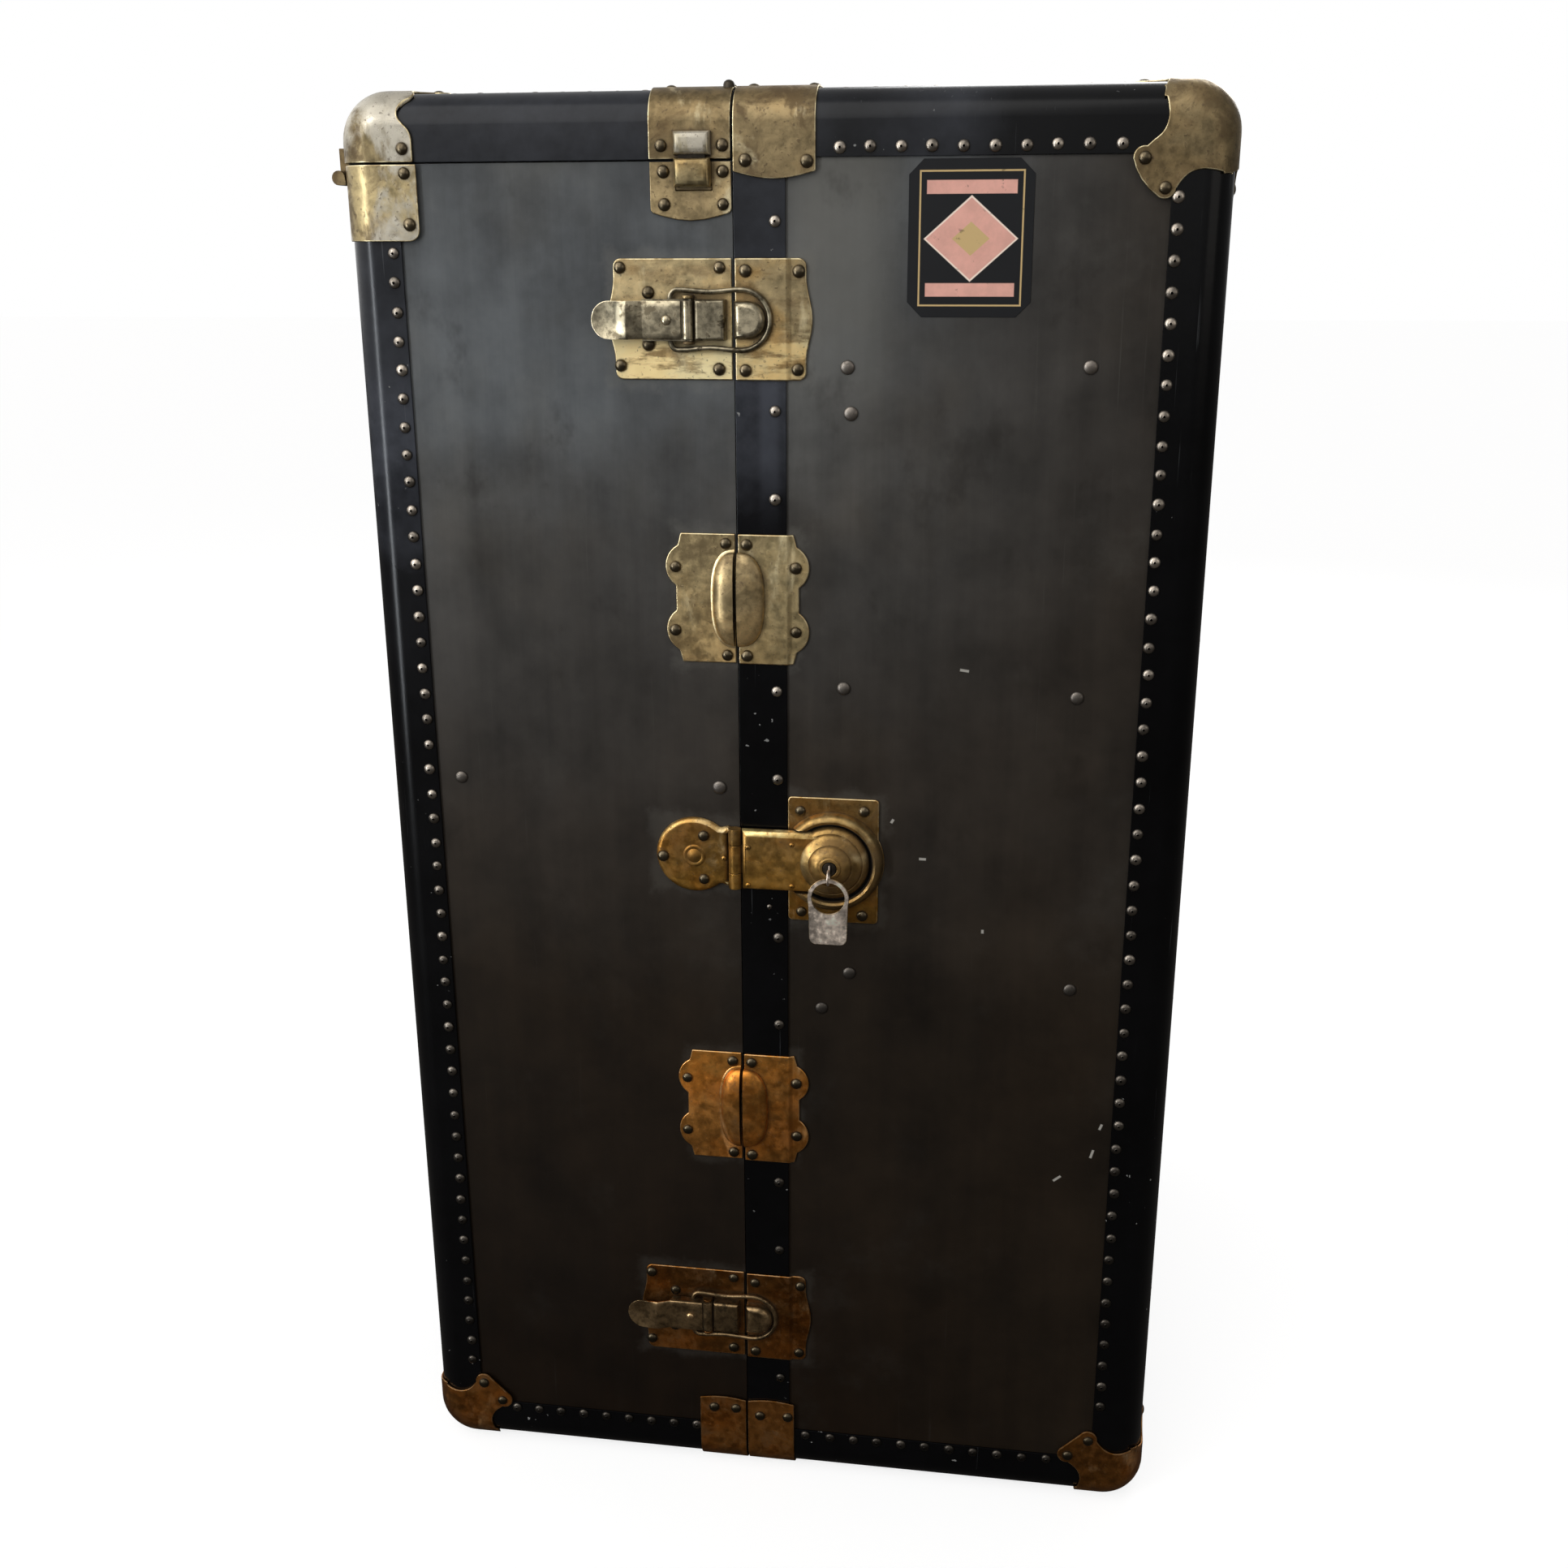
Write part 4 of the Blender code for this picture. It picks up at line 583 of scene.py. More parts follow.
class Nodes:
    """A node tree and what is built in it."""

    def __init__(self, tree):
        self.tree = tree

    def node(self, kind, settings=None, values=None, out=0):
        """Any node: its settings, its inputs by name or number, and one output."""
        made = self.tree.nodes.new(kind)
        for key, value in (settings or {}).items():
            if key == "stops":
                ramp = made.color_ramp
                while len(ramp.elements) < len(value):
                    ramp.elements.new(0.5)
                for stop, (place, tone) in zip(ramp.elements, value):
                    stop.position = place
                    stop.color = (*tone, 1)
            else:
                setattr(made, key, value)
        for key, value in (values or {}).items():
            socket = made.inputs[key]
            if isinstance(value, Value):
                self.tree.links.new(value.socket, socket)
            elif socket.type == "RGBA":
                socket.default_value = (*value, 1)
            else:
                socket.default_value = value
        return made if out is None else Value(self, made.outputs[out])

    def math(self, operation, *values):
        return self.node("ShaderNodeMath", {"operation": operation}, dict(enumerate(values)))

    def most(self, *values):
        result = values[0]
        for value in values[1:]:
            result = self.math("MAXIMUM", result, value)
        return result

    def step(self, value, low, high):
        """0 below low, 1 above high, smooth between them."""
        return self.node("ShaderNodeMapRange", {"interpolation_type": "SMOOTHSTEP"},
                         {"Value": value, "From Min": low, "From Max": high})

    def parts(self, vector):
        """The x, y and z of a vector."""
        made = self.node("ShaderNodeSeparateXYZ", {}, {0: vector}, out=None)
        return [Value(self, made.outputs[i]) for i in range(3)]

    def mix(self, factor, a, b, kind="MIX"):
        """A colour between two colours."""
        return self.node("ShaderNodeMix", {"data_type": "RGBA", "blend_type": kind},
                         {0: factor, 6: a, 7: b}, out=2)

    def ramp(self, value, *stops):
        return self.node("ShaderNodeValToRGB", {"stops": stops}, {0: value})


class Look(Nodes):
    """One node material, read in the object's own coordinates."""

    def __init__(self, name, **constants):
        self.material = bpy.data.materials.new(name)
        self.material.use_nodes = True
        super().__init__(self.material.node_tree)
        self.shader = self.tree.nodes["Principled BSDF"]
        for label, value in constants.items():
            self.shader.inputs[label.replace("_", " ")].default_value = value
        self.point = self.node("ShaderNodeTexCoord", out="Object")
        self.x, self.y, self.z = self.parts(self.point)

    def stretched(self, scale, turn=(0, 0, 0)):
        """The point, turned and scaled along each axis."""
        return self.node("ShaderNodeMapping", {}, {
            "Vector": self.point, "Scale": scale, "Rotation": [math.radians(a) for a in turn]})

    def noise(self, scale, detail=3, rough=0.55, vector=None, distortion=0.0):
        return self.node("ShaderNodeTexNoise", {}, {
            "Vector": vector or self.point, "Scale": scale, "Detail": detail, "Roughness": rough,
            "Distortion": distortion})

    def bump(self, height, distance, strength=1.0, under=None):
        values = {"Height": height, "Distance": distance, "Strength": strength}
        if under:
            values["Normal"] = under
        return self.node("ShaderNodeBump", {}, values)

    def grain(self, scale, distance, strength=0.5, detail=2):
        return self.bump(self.noise(scale, detail), distance, strength)

    def random(self):
        """One number for each separate shape in a piece."""
        return self.node("ShaderNodeNewGeometry", out="Random Per Island")

    def grime(self, reach):
        """1 in corners and beside raised work, 0 on open faces, from ambient occlusion: it paints
        shade there, which stands for soiling too.
        """
        open_sky = self.node("ShaderNodeAmbientOcclusion", {"samples": 6}, {"Distance": reach},
                             out=1)
        return 1 - self.step(open_sky, 0.35, 0.95)

    def grey(self, value):
        return self.node("ShaderNodeCombineColor", {},
                         {"Red": value, "Green": value, "Blue": value})

    def lit_height(self, pull):
        """Height, pulled so that the upper right reads lower and the upper left a little higher:
        painted light and shade, falling off towards the upper right as if lit from the left.
        """
        across = self.most(self.x - 0.03, 0) * 0.85 + self.x * 0.2
        return self.z - across * (self.z - 0.47) * pull

    def done(self, **results):
        for label, value in results.items():
            self.tree.links.new(value.socket, self.shader.inputs[label.replace("_", " ")])
        return self.material


LOOKS = {}


def look(name):
    """A named look, made once."""
    if name not in LOOKS:
        LOOKS[name] = brass(name, **BRASSES[name]) if name in BRASSES else MAKERS[name](name)
    return LOOKS[name]


def near_plates(made):
    """How close a point of the front is to a plate's edge, as a dusty halo."""
    s = sizes()
    left, right = SEAM_X - s.latch_width, SEAM_X + s.keeper_width
    areas = []
    for z in LATCH_HEIGHTS.values():
        areas.append((left, right, z, s.latch_height / 2))
    for z in DOWEL_HEIGHTS.values():
        areas.append((SEAM_X - s.dowel_width, SEAM_X + s.dowel_width, z, s.dowel_height / 2))
    areas.append((LOCK.x - 124 * MM, LOCK.x + 33 * MM, LOCK.z, 24 * MM))
    areas.append((LOCK.x - 30 * MM, LOCK.x + 33 * MM, LOCK.z, 46 * MM))
    wobble = (made.noise(60, 5, 0.65) - 0.5) * (26 * MM)
    halo = None
    for low, high, z, half in areas:
        across = abs(made.x - (low + high) / 2) - (high - low) / 2
        up = abs(made.z - z) - half
        near = 1 - made.step(made.most(across, up) + wobble, -1 * MM, 9 * MM)
        halo = near if halo is None else made.most(halo, near)
    return halo


# Scratches on the front: x, z and half length in mm, and angle in degrees
MARKS = ((127.7, 659.6, 2.6, 172), (81.3, 551.2, 1.2, 60), (102.7, 524.4, 2, 0),
         (145.7, 472.6, 1, 90),
         (234.9, 325.8, 2, 70), (229.8, 303.5, 3, 75), (205.9, 281.4, 3, 40))


def marks(made):
    """Short pale scratches on the front."""
    found = None
    for x, z, half, turn in MARKS:
        cos, sin = math.cos(math.radians(turn)), math.sin(math.radians(turn))
        u, v = made.x - x * MM, made.z - z * MM
        along = abs(u * cos + v * sin) - half * MM
        across = abs(v * cos - u * sin) - 0.5 * MM
        mark = 1 - made.step(made.most(along, across), 0, 0.7 * MM)
        found = mark if found is None else made.most(found, mark)
    return found


def fibre(name):
    """Semi-matte fibre: grey at the top, brown-black lower down, with painted shade towards the
    upper right, clouded and streaked.
    """
    f = finishes()
    made = Look(name, Specular_IOR_Level=0.16)
    clouds = made.noise(4.2, 5, 0.6)
    middle_sized = made.noise(11, 4, 0.6, None, 0.3)
    mottle = made.noise(24, 5, 0.62)
    streaks = made.noise(1, 5, 0.62, made.stretched((55, 55, 3.2)))
    # Painted light and shade: the tone's height is pulled so the upper left reads lighter and the
    # upper right darker.
    height = made.lit_height(3.1) + (clouds - 0.5) * 0.20
    tone = made.ramp(height, (0.05, f.fibre_low), (0.41, f.fibre_worn), (0.55, f.fibre_mid),
                     (0.75, f.fibre_upper), (0.86, f.fibre_high))
    front = 1 - made.step(made.y, FRONT + 1 * MM, FRONT + 2 * MM)
    halo = near_plates(made) * front
    shade = made.most(0.35, mottle * 1.0 + streaks * 0.75 + middle_sized * 1.25 - 0.5 + halo * 0.15)
    tone = made.mix(1.0, tone, made.grey(shade), "MULTIPLY")
    warm = made.step(made.noise(6, 4, 0.6, made.stretched((1, 1, 0.7), (0, 0, 30))), 0.42, 0.62)
    tone = made.mix(warm * 0.5, tone, made.mix(1.0, tone, (1.10, 1.0, 0.86), "MULTIPLY"))
    lift = 0.30 + made.step(made.z, 0.35, 0.95) * 0.70
    beside = 1 - made.step(abs(made.x - (STRIP_EDGE + 34 * MM)), 15 * MM, 50 * MM)
    beside = beside * made.step(made.z, 0.80, 0.90)
    dust = made.step(made.noise(9, 6, 0.68), 0.55, 0.78) * 0.18 + halo * 0.30 + beside * front * 0.5
    tone = made.mix(dust * lift, tone, f.fibre_dust)
    dark = made.step(made.noise(12, 5, 0.62, made.stretched((1.5, 1, 1))), 0.57, 0.72)
    tone = made.mix(dark * 0.38, tone, times(0.6, f.fibre_worn))
    rubbed = made.noise(1, 4, 0.6, made.stretched((240, 240, 5), (0, 4, 0)))
    tone = made.mix(made.step(rubbed, 0.66, 0.74) * 0.14 * lift, tone, f.fibre_dust)
    tone = made.mix(marks(made) * front * 0.85, tone, (0.42, 0.40, 0.36))
    skin = 3 * MM
    inner = [made.step(v, *span) for v, span in (
        (made.y, (FRONT + skin, FRONT + skin + 1 * MM)),
        (BACK - made.y, (skin, skin + 1 * MM)),
        (SIDE - abs(made.x), (skin, skin + 1 * MM)),
        (made.z, (BOTTOM + skin, BOTTOM + skin + 1 * MM)),
        (TOP - made.z, (skin, skin + 1 * MM)))]
    inside = inner[0] * inner[1] * inner[2] * inner[3] * inner[4]
    paper = made.mix(made.noise(26, 4), times(0.8, f.lining), f.lining)
    spots = made.step(made.noise(60, 5, 0.65), 0.6, 0.75)
    paper = made.mix(spots * 0.25, paper, times(0.5, f.lining))
    tone = made.mix(inside, tone, paper)
    rough = 0.48 + mottle * 0.18 + inside * 0.2 - halo * 0.04
    fine = made.noise(650, 2) * 0.4 + made.noise(120, 3) * 0.6
    return made.done(Base_Color=tone, Roughness=rough, Normal=made.bump(fine, 0.25 * MM, 0.35))


def binding(name):
    """Glossy black fibre, dusty at the top, with smudges and hairline scratches; painted shade
    towards the upper right and in corners, and a painted highlight down the seam strip.
    """
    f = finishes()
    made = Look(name, Specular_IOR_Level=0.25)
    smudge = made.noise(11, 5, 0.62)
    fine = made.noise(90, 4, 0.6)
    # Painted light and shade: the tone's height is pulled so the upper left reads lighter and the
    # upper right darker.
    height = made.lit_height(3.5) + (smudge - 0.5) * 0.10
    tone = made.ramp(height, (0.62, f.binding), (0.77, times(3, f.binding)),
                     (0.85, times(1.9, f.binding_dusty)), (0.90, times(1.5, f.binding_dusty)),
                     (0.94, times(0.7, f.binding_dusty)), (0.99, times(0.8, f.binding_dusty)))
    tone = made.mix(1.0, tone, made.grey(made.most(0.25, smudge * 1.9 + fine * 0.9 - 0.42)),
                    "MULTIPLY")
    # Painted highlight: a lighter vertical band down the middle of the seam strip, where its
    # rounded face catches the light.
    painted_highlight_column = 1 - made.step(abs(made.x - (STRIP_EDGE - 11 * MM)), 3 * MM, 9 * MM)
    painted_highlight_column = painted_highlight_column * made.step(made.z, 0.74, 0.84)
    tone = made.mix(painted_highlight_column * (1 - made.step(made.z, 0.86, 0.92)) * 0.5, tone,
                    times(3, f.binding_dusty))
    right_top = made.step(made.x, 0.02, 0.05) * made.step(made.z, 0.96, 0.98)
    tone = made.mix(right_top * 0.6, tone, f.binding)
    hair = made.noise(1, 3, 0.5, made.stretched((420, 420, 8), (0, 3, 0)))
    scratch = made.step(hair, 0.68, 0.75) * made.step(made.noise(9, 3), 0.48, 0.60)
    tone = made.mix(scratch * 0.30, tone, (0.09, 0.095, 0.10))
    flecks = made.step(made.noise(210, 2, 0.4), 0.735, 0.765)
    flecks = flecks * made.step(made.noise(14, 2), 0.52, 0.6)
    tone = made.mix(flecks * 0.7, tone, (0.30, 0.30, 0.29))
    # Painted shade: darker in corners and beside raised work, from ambient occlusion.
    tone = made.mix(made.grime(5 * MM) * 0.7, tone, times(0.5, f.binding))
    rough = 0.15 + smudge * 0.16 + scratch * 0.2
    wave = made.bump(made.noise(9, 3), 0.8 * MM, 0.30)
    return made.done(Base_Color=tone, Roughness=rough,
                     Normal=made.bump(made.noise(260, 3), 0.08 * MM, 0.35, wave))


def height_tone(made, bright, pale=0.0):
    """The brass tone of a height, darker towards the floor: khaki at the top, golden at the lock,
    dark brown at the floor.
    """
    f = finishes()

    def tone(value, share=1.0):
        return [min(1.0,
                    bright * share * ((1 - pale) * c + pale * d))
                    for c, d in zip(value, f.brass_pale)]

    return made.ramp(
        made.z, (0.0, tone(f.brass_low, 0.75)), (0.08, tone(f.brass_low, 0.85)),
        (0.16, tone(f.brass_low, 0.55)),
        (0.24, tone(f.brass_low, 0.65)), (0.32, tone(f.brass_amber, 0.9)),
        (0.50, tone(f.brass_mid)), (0.71, tone(f.brass_high, 1.6)),
        (0.88, tone(f.brass_high, 1.15)),
        (0.98, tone(f.brass_high, 0.8)))


def brass(name, shade, stain, worn, silver=False, scratch=0.0, pale=0.0, gold=0.2):
    """Aged brass: brown tarnish, finger-worn bright places, dents, speckle, and painted shade in
    corners that stands for soiling too.
    """
    f = finishes()
    made = Look(name)
    blot = made.noise(40, 6, 0.66, None, 0.5)
    cloud = made.noise(14, 4, 0.6)
    fine = made.noise(150, 5, 0.62)
    tone = made.mix(made.step(cloud * 0.55 + fine * 0.45, 0.36, 0.64),
                    height_tone(made, 0.5 * shade, pale),
                    height_tone(made, 1.4 * shade, pale))
    brown = made.step(blot * 0.6 + fine * 0.25 + cloud * 0.15, 0.48, 0.60)
    tone = made.mix(brown * stain, tone,
                    made.mix(0.5, f.brass_stain, height_tone(made, 0.3 * shade, pale)))
    patch = made.noise(30, 6, 0.62, made.stretched((1, 1, 0.5), (0, 25, 0)), 0.4)
    bright = made.step(patch, 0.60 - 0.25 * worn, 0.72 - 0.2 * worn)
    high = 0.25 + made.step(made.z, 0.25, 0.8) * 0.75
    tone = made.mix(bright * (0.35 + worn) * high, tone, f.silver if silver else f.brass_bright)
    if scratch:
        lines = made.noise(1, 5, 0.66, made.stretched((26, 26, 120), (0, -32, 0)))
        low = made.step(LATCH_HEIGHTS["upper"] + 2 * MM - made.z, 0, 22 * MM)
        glow = (0.15 + low * 0.85) * made.step(lines, 0.40, 0.53) * scratch
        tone = made.mix(glow, tone, f.brass_gold)
    warm = made.step(made.noise(20, 4, 0.6, made.stretched((1, 1, 1.4))), 0.44, 0.62)
    warm = warm * made.most(gold, 0.8 - made.step(made.z, 0.58, 0.72) * 0.8)
    tone = made.mix(warm, tone, made.mix(1.0, tone, (1.16, 0.93, 0.62), "MULTIPLY"))
    if pale and not silver:
        # Painted shade: the pale brass of the lock darkened towards its lower right, as if lit from
        # the upper left.
        painted_shade_lower_right = made.step(made.x - LOCK.x - (made.z - LOCK.z), -8 * MM, 34 * MM)
        tone = made.mix(painted_shade_lower_right * 0.62 * (1 - made.step(made.z, 0.6, 0.62)), tone, f.brass_stain)
    dots = made.step(made.noise(380, 2, 0.5), 0.62, 0.70)
    tone = made.mix(dots * 0.5, tone, times(0.6, f.brass_stain))
    # Painted shade in corners and beside raised work, from ambient occlusion, standing for soiling
    # there too.
    dirt_and_shade = made.grime(4.5 * MM)
    tone = made.mix(dirt_and_shade * 0.9, tone, times(0.4, f.brass_stain))
    rough = 0.28 + brown * 0.20 - bright * 0.06 + fine * 0.12 + dirt_and_shade * 0.2
    dents = made.bump(made.noise(24, 3, 0.5), 1.8 * MM, 0.35)
    dings = made.bump(made.noise(75, 3, 0.5), 0.6 * MM, 0.4, dents)
    pits = made.bump(fine * 0.6 + dots * 0.4, 0.14 * MM, 0.5, dings)
    metal = 0.90 - brown * 0.2 - dots * 0.3 - dirt_and_shade * 0.4 - bright * 0.4
    if scratch:
        metal = metal - glow * 0.7
    return made.done(Base_Color=tone, Roughness=rough, Metallic=metal, Normal=pits)


def rim(name):
    """The worn, brighter edge of a brass plate."""
    f = finishes()
    made = Look(name, Metallic=1.0)
    worn = made.noise(150, 4, 0.6)
    low = 0.25 + made.step(made.z, 0.2, 0.9) * 0.75
    tone = made.mix(made.step(worn, 0.38, 0.58) * low * 0.7, height_tone(made, 0.8), f.brass_bright)
    return made.done(Base_Color=tone, Roughness=0.27 + worn * 0.16,
                     Normal=made.grain(300, 0.1 * MM))


def worn_metal(name, tone, low, dark, speckle, rough):
    """Plated metal with dark pits and cloudy wear, in one tone high up and one low down."""
    made = Look(name)
    cloud = made.noise(55, 5, 0.62)
    fine = made.noise(240, 4, 0.62)
    height = made.step(made.z, 0.10, 0.80)
    base = made.mix(height, low, tone)
    wear = made.step(cloud * 0.6 + fine * 0.4, 0.36, 0.62)
    base = made.mix(1.0, base, made.grey(0.45 + wear * 1.15), "MULTIPLY")
    pits = made.step(made.noise(90, 5, 0.65, None, 0.6) * 0.6 + fine * 0.4, 0.52, 0.60)
    base = made.mix(pits * speckle, base, dark)
    # Painted shade in corners and beside raised work, from ambient occlusion, standing for soiling
    # there too.
    dirt_and_shade = made.grime(4 * MM)
    base = made.mix(dirt_and_shade * 0.85, base, times(0.5, dark))
    return made.done(Base_Color=base, Roughness=rough + fine * 0.12 + pits * 0.15 + dirt_and_shade * 0.2,
                     Metallic=1 - dirt_and_shade * 0.4, Normal=made.bump(
                         fine, 0.12 * MM, 0.4, made.bump(made.noise(48, 2), 0.5 * MM, 0.3)))


def heads(name, tone, spread, rough, dim):
    """Rivet and nail heads: each one a little lighter or darker than the next."""
    made = Look(name)
    chance = made.random()
    height = made.step(made.z, 0.05, 0.9) * dim + (1 - dim)
    shade = (1 - spread * 0.5 + chance ** 3 * spread * 1.9) * height
    stain = made.step(made.noise(300, 3), 0.5, 0.7)
    base = made.mix(stain * 0.5, tone, times(0.3, tone))
    base = made.mix(1.0, base, made.grey(shade), "MULTIPLY")
    # Painted shade round the foot of each head, from ambient occlusion, standing for soiling there
    # too.
    dirt_and_shade = made.grime(2.5 * MM)
    base = made.mix(dirt_and_shade * 0.9, base, times(0.08, tone))
    return made.done(Base_Color=base, Roughness=rough + stain * 0.15 + dirt_and_shade * 0.2,
                     Metallic=1 - dirt_and_shade * 0.4,
                     Normal=made.grain(240, 0.07 * MM))


def leather(name):
    """Dark rolled leather with grain, creases and worn high spots."""
    f = finishes()
    made = Look(name, Specular_IOR_Level=0.4)
    worn = made.noise(42, 5, 0.6)
    cell = made.node("ShaderNodeTexVoronoi", {"feature": "DISTANCE_TO_EDGE"}, {
        "Vector": made.point, "Scale": 520})
    crack = made.step(cell, 0.0, 0.12)
    tone = made.mix(made.step(worn, 0.45, 0.75), f.leather, times(2.4, f.leather))
    tone = made.mix((1 - crack) * 0.5, tone, times(0.35, f.leather))
    return made.done(Base_Color=tone, Roughness=0.42 + worn * 0.22,
                     Normal=made.bump(crack, 0.3 * MM, 0.5))


def timber(name, tone, along, scale=1.0, varnish=0.35):
    """Wood with rings and pores that run along one axis."""
    made = Look(name, Specular_IOR_Level=0.4)
    stretch = [70 * scale] * 3
    stretch["XYZ".index(along)] = 3.2 * scale
    rings = made.noise(1, 5, 0.6, made.stretched(stretch), 0.6)
    pores = made.noise(1, 2, 0.5, made.stretched([6 * s for s in stretch]))
    base = made.mix(made.step(rings, 0.35, 0.68), times(0.62, tone), tone)
    base = made.mix(made.step(pores, 0.60, 0.70) * 0.45, base, times(0.35, tone))
    base = made.mix(made.noise(6, 3) * 0.3, base, times(1.35, tone))
    return made.done(Base_Color=base, Roughness=varnish + pores * 0.2,
                     Normal=made.bump(rings * 0.6 + pores * 0.4, 0.2 * MM, 0.35))


def label(name):
    """A plain printed patch: a rose diamond between two rose bands in a gilt frame on black."""
    f = finishes()
    made = Look(name, Specular_IOR_Level=0.3)
    low, high = (Vector(c) for c in LABEL_BOX)
    u = made.x - ((low.x + high.x) / 2 + 0.3 * MM)
    v = made.z - low.z

    def edge(distance, soft=0.25 * MM):
        return 1 - made.step(distance, -soft, soft)

    def box(half, bottom, top):
        """Inside a box, by its distance."""
        return edge(made.most(abs(u) - half * MM,
                              abs(v - (bottom + top) / 2 * MM) - (top - bottom) / 2 * MM))

    def lozenge(z, half, rise):
        """Inside a diamond, by its distance."""
        side = (half ** 2 + rise ** 2) ** 0.5
        slope = abs(u) * (rise / side) + abs(v - z * MM) * (half / side)
        return edge(slope - half * rise / side * MM)

    frame_line = made.most(box(32, 6.6, 86.6) - box(31, 7.6, 85.6), 0)
    bands = made.most(box(27.5, 12.4, 20.4), box(27.5, 72.8, 80.8))
    rub = made.noise(70, 5, 0.65)
    rose = made.mix(made.step(rub, 0.35, 0.7), f.label_panel, times(0.85, f.label_panel))
    tone = made.mix(rub * 0.5, f.label_field, times(2.2, f.label_field))
    tone = made.mix(frame_line, tone, f.label_line)
    tone = made.mix(bands, tone, rose)
    tone = made.mix(lozenge(46.6, 29, 25.4), tone, f.label_cream)
    tone = made.mix(lozenge(46.6, 27.6, 24), tone, rose)
    tone = made.mix(lozenge(46.6, 11.5, 10), tone, f.label_line)
    tone = made.mix(made.step(made.noise(150, 4, 0.7), 0.64, 0.72) * 0.5, tone, f.label_field)
    return made.done(Base_Color=tone, Roughness=0.46 + rub * 0.2, Normal=made.grain(90, 0.2 * MM))


LABEL_BOX = ((84.8 * MM, FRONT - 0.5 * MM, 886.4 * MM), (161.4 * MM, FRONT, 979.6 * MM))

# What brass() is told for each of its looks
BRASSES = {
    "brass": dict(shade=0.52, stain=0.75, worn=0.10),
    "brass_scratched": dict(shade=0.88, stain=0.60, worn=0.20, scratch=0.95, gold=0.4),
    "brass_brown": dict(shade=0.38, stain=0.75, worn=0.12),
    "brass_worn": dict(shade=0.46, stain=0.85, worn=0.62, silver=True, pale=0.25, gold=0.0),
    "brass_cap": dict(shade=0.62, stain=0.70, worn=0.20),
    "brass_gold": dict(shade=0.66, stain=0.60, worn=0.20),
    "brass_tan": dict(shade=0.80, stain=0.55, worn=0.16),
    "brass_dome": dict(shade=0.68, stain=0.85, worn=0.14),
    "brass_strike": dict(shade=0.80, stain=0.40, worn=0.24),
    "brass_collar": dict(shade=0.74, stain=0.85, worn=0.66, silver=True, pale=0.4, gold=0.0),
    "brass_tab": dict(shade=0.66, stain=1.0, worn=0.66, silver=True, pale=0.9, gold=0.1),
    "brass_pocket": dict(shade=0.80, stain=0.60, worn=0.25, pale=0.4, gold=0.6),
    "brass_pale": dict(shade=0.50, stain=0.75, worn=0.22, pale=0.6),
    # A brighter copy of the brass for faces that point up: painted highlight.
    "brass_polished": dict(shade=1.30, stain=0.35, worn=0.60, pale=0.3),
    "brass_grey": dict(shade=0.55, stain=0.70, worn=0.22, pale=0.4),
    "brass_keeper": dict(shade=0.60, stain=0.65, worn=0.12, scratch=0.6, gold=0.7),
}

MAKERS = {
    "grey_fibre": fibre,
    "black_binding": binding,
    "brass_rim": rim,
    "nickel": lambda n: worn_metal(n, finishes().nickel, finishes().nickel_low, (0.07, 0.05, 0.026),
                                   0.75, 0.24),
    "nickel_dark": lambda n: worn_metal(n, times(0.62, finishes().nickel),
                                        times(0.6, finishes().nickel_low), (0.035, 0.025, 0.014),
                                        0.85, 0.28),
    "nickel_rim": lambda n: worn_metal(n, [min(1, 1.7 * c) for c in finishes().nickel],
                                       times(1.4, finishes().nickel_low), (0.2, 0.16, 0.10), 0.3,
                                       0.22),
    "steel": lambda n: worn_metal(n, finishes().steel, finishes().steel, (0.3, 0.25, 0.2), 0.15,
                                  0.42),
    # A dark metal: the lock's cylinder and the lid's stud, and also painted shadow in the lock's
    # shroud and on the tongues in the gaps.
    "iron": lambda n: worn_metal(n, (0.05, 0.042, 0.032), (0.04, 0.03, 0.022), (0.02, 0.014, 0.01),
                                 0.6, 0.45),
    "bronze_rivets": lambda n: heads(n, finishes().bronze, 0.6, 0.28, 0.5),
    "grey_rivets": lambda n: heads(n, finishes().tin, 0.3, 0.42, 0.93),
    "copper_nails": lambda n: heads(n, finishes().copper, 0.45, 0.32, 0.80),
    "leather": leather,
    "drawer_wood": lambda n: timber(n, finishes().wood, "Y"),
    "rack_wood": lambda n: timber(n, finishes().plywood, "Y", 0.6, 0.55),
    "label": label,
}


# Rivets and nails

def stood_up(thing, place):
    """Lathe work on the front turned to point up, at a place."""
    thing.matrix_world = (Matrix.Translation(place) @ Matrix.Rotation(-math.pi / 2, 4, "X")
                          @ Matrix.Translation((0, -FRONT, 0)))
    only(thing)
    bpy.ops.object.transform_apply(location=True, rotation=True, scale=True)
    return thing


def head(name, radius, height, sides, steps):
    """One domed head at the origin, facing up."""
    profile = [(radius * math.sin(math.pi / 2 * i / steps),
                height * (0.2 + 0.8 * math.cos(math.pi / 2 * i / steps)))
               for i in range(steps + 1)]
    profile.append((radius * 0.96, 0))
    made = turned(name, profile, (0, 0), sides)
    edit(stood_up(made, (0, 0, 0)))
    bpy.ops.mesh.normals_make_consistent(inside=False)
    clear()
    return smooth(made, 60, False)


HEADS = {}


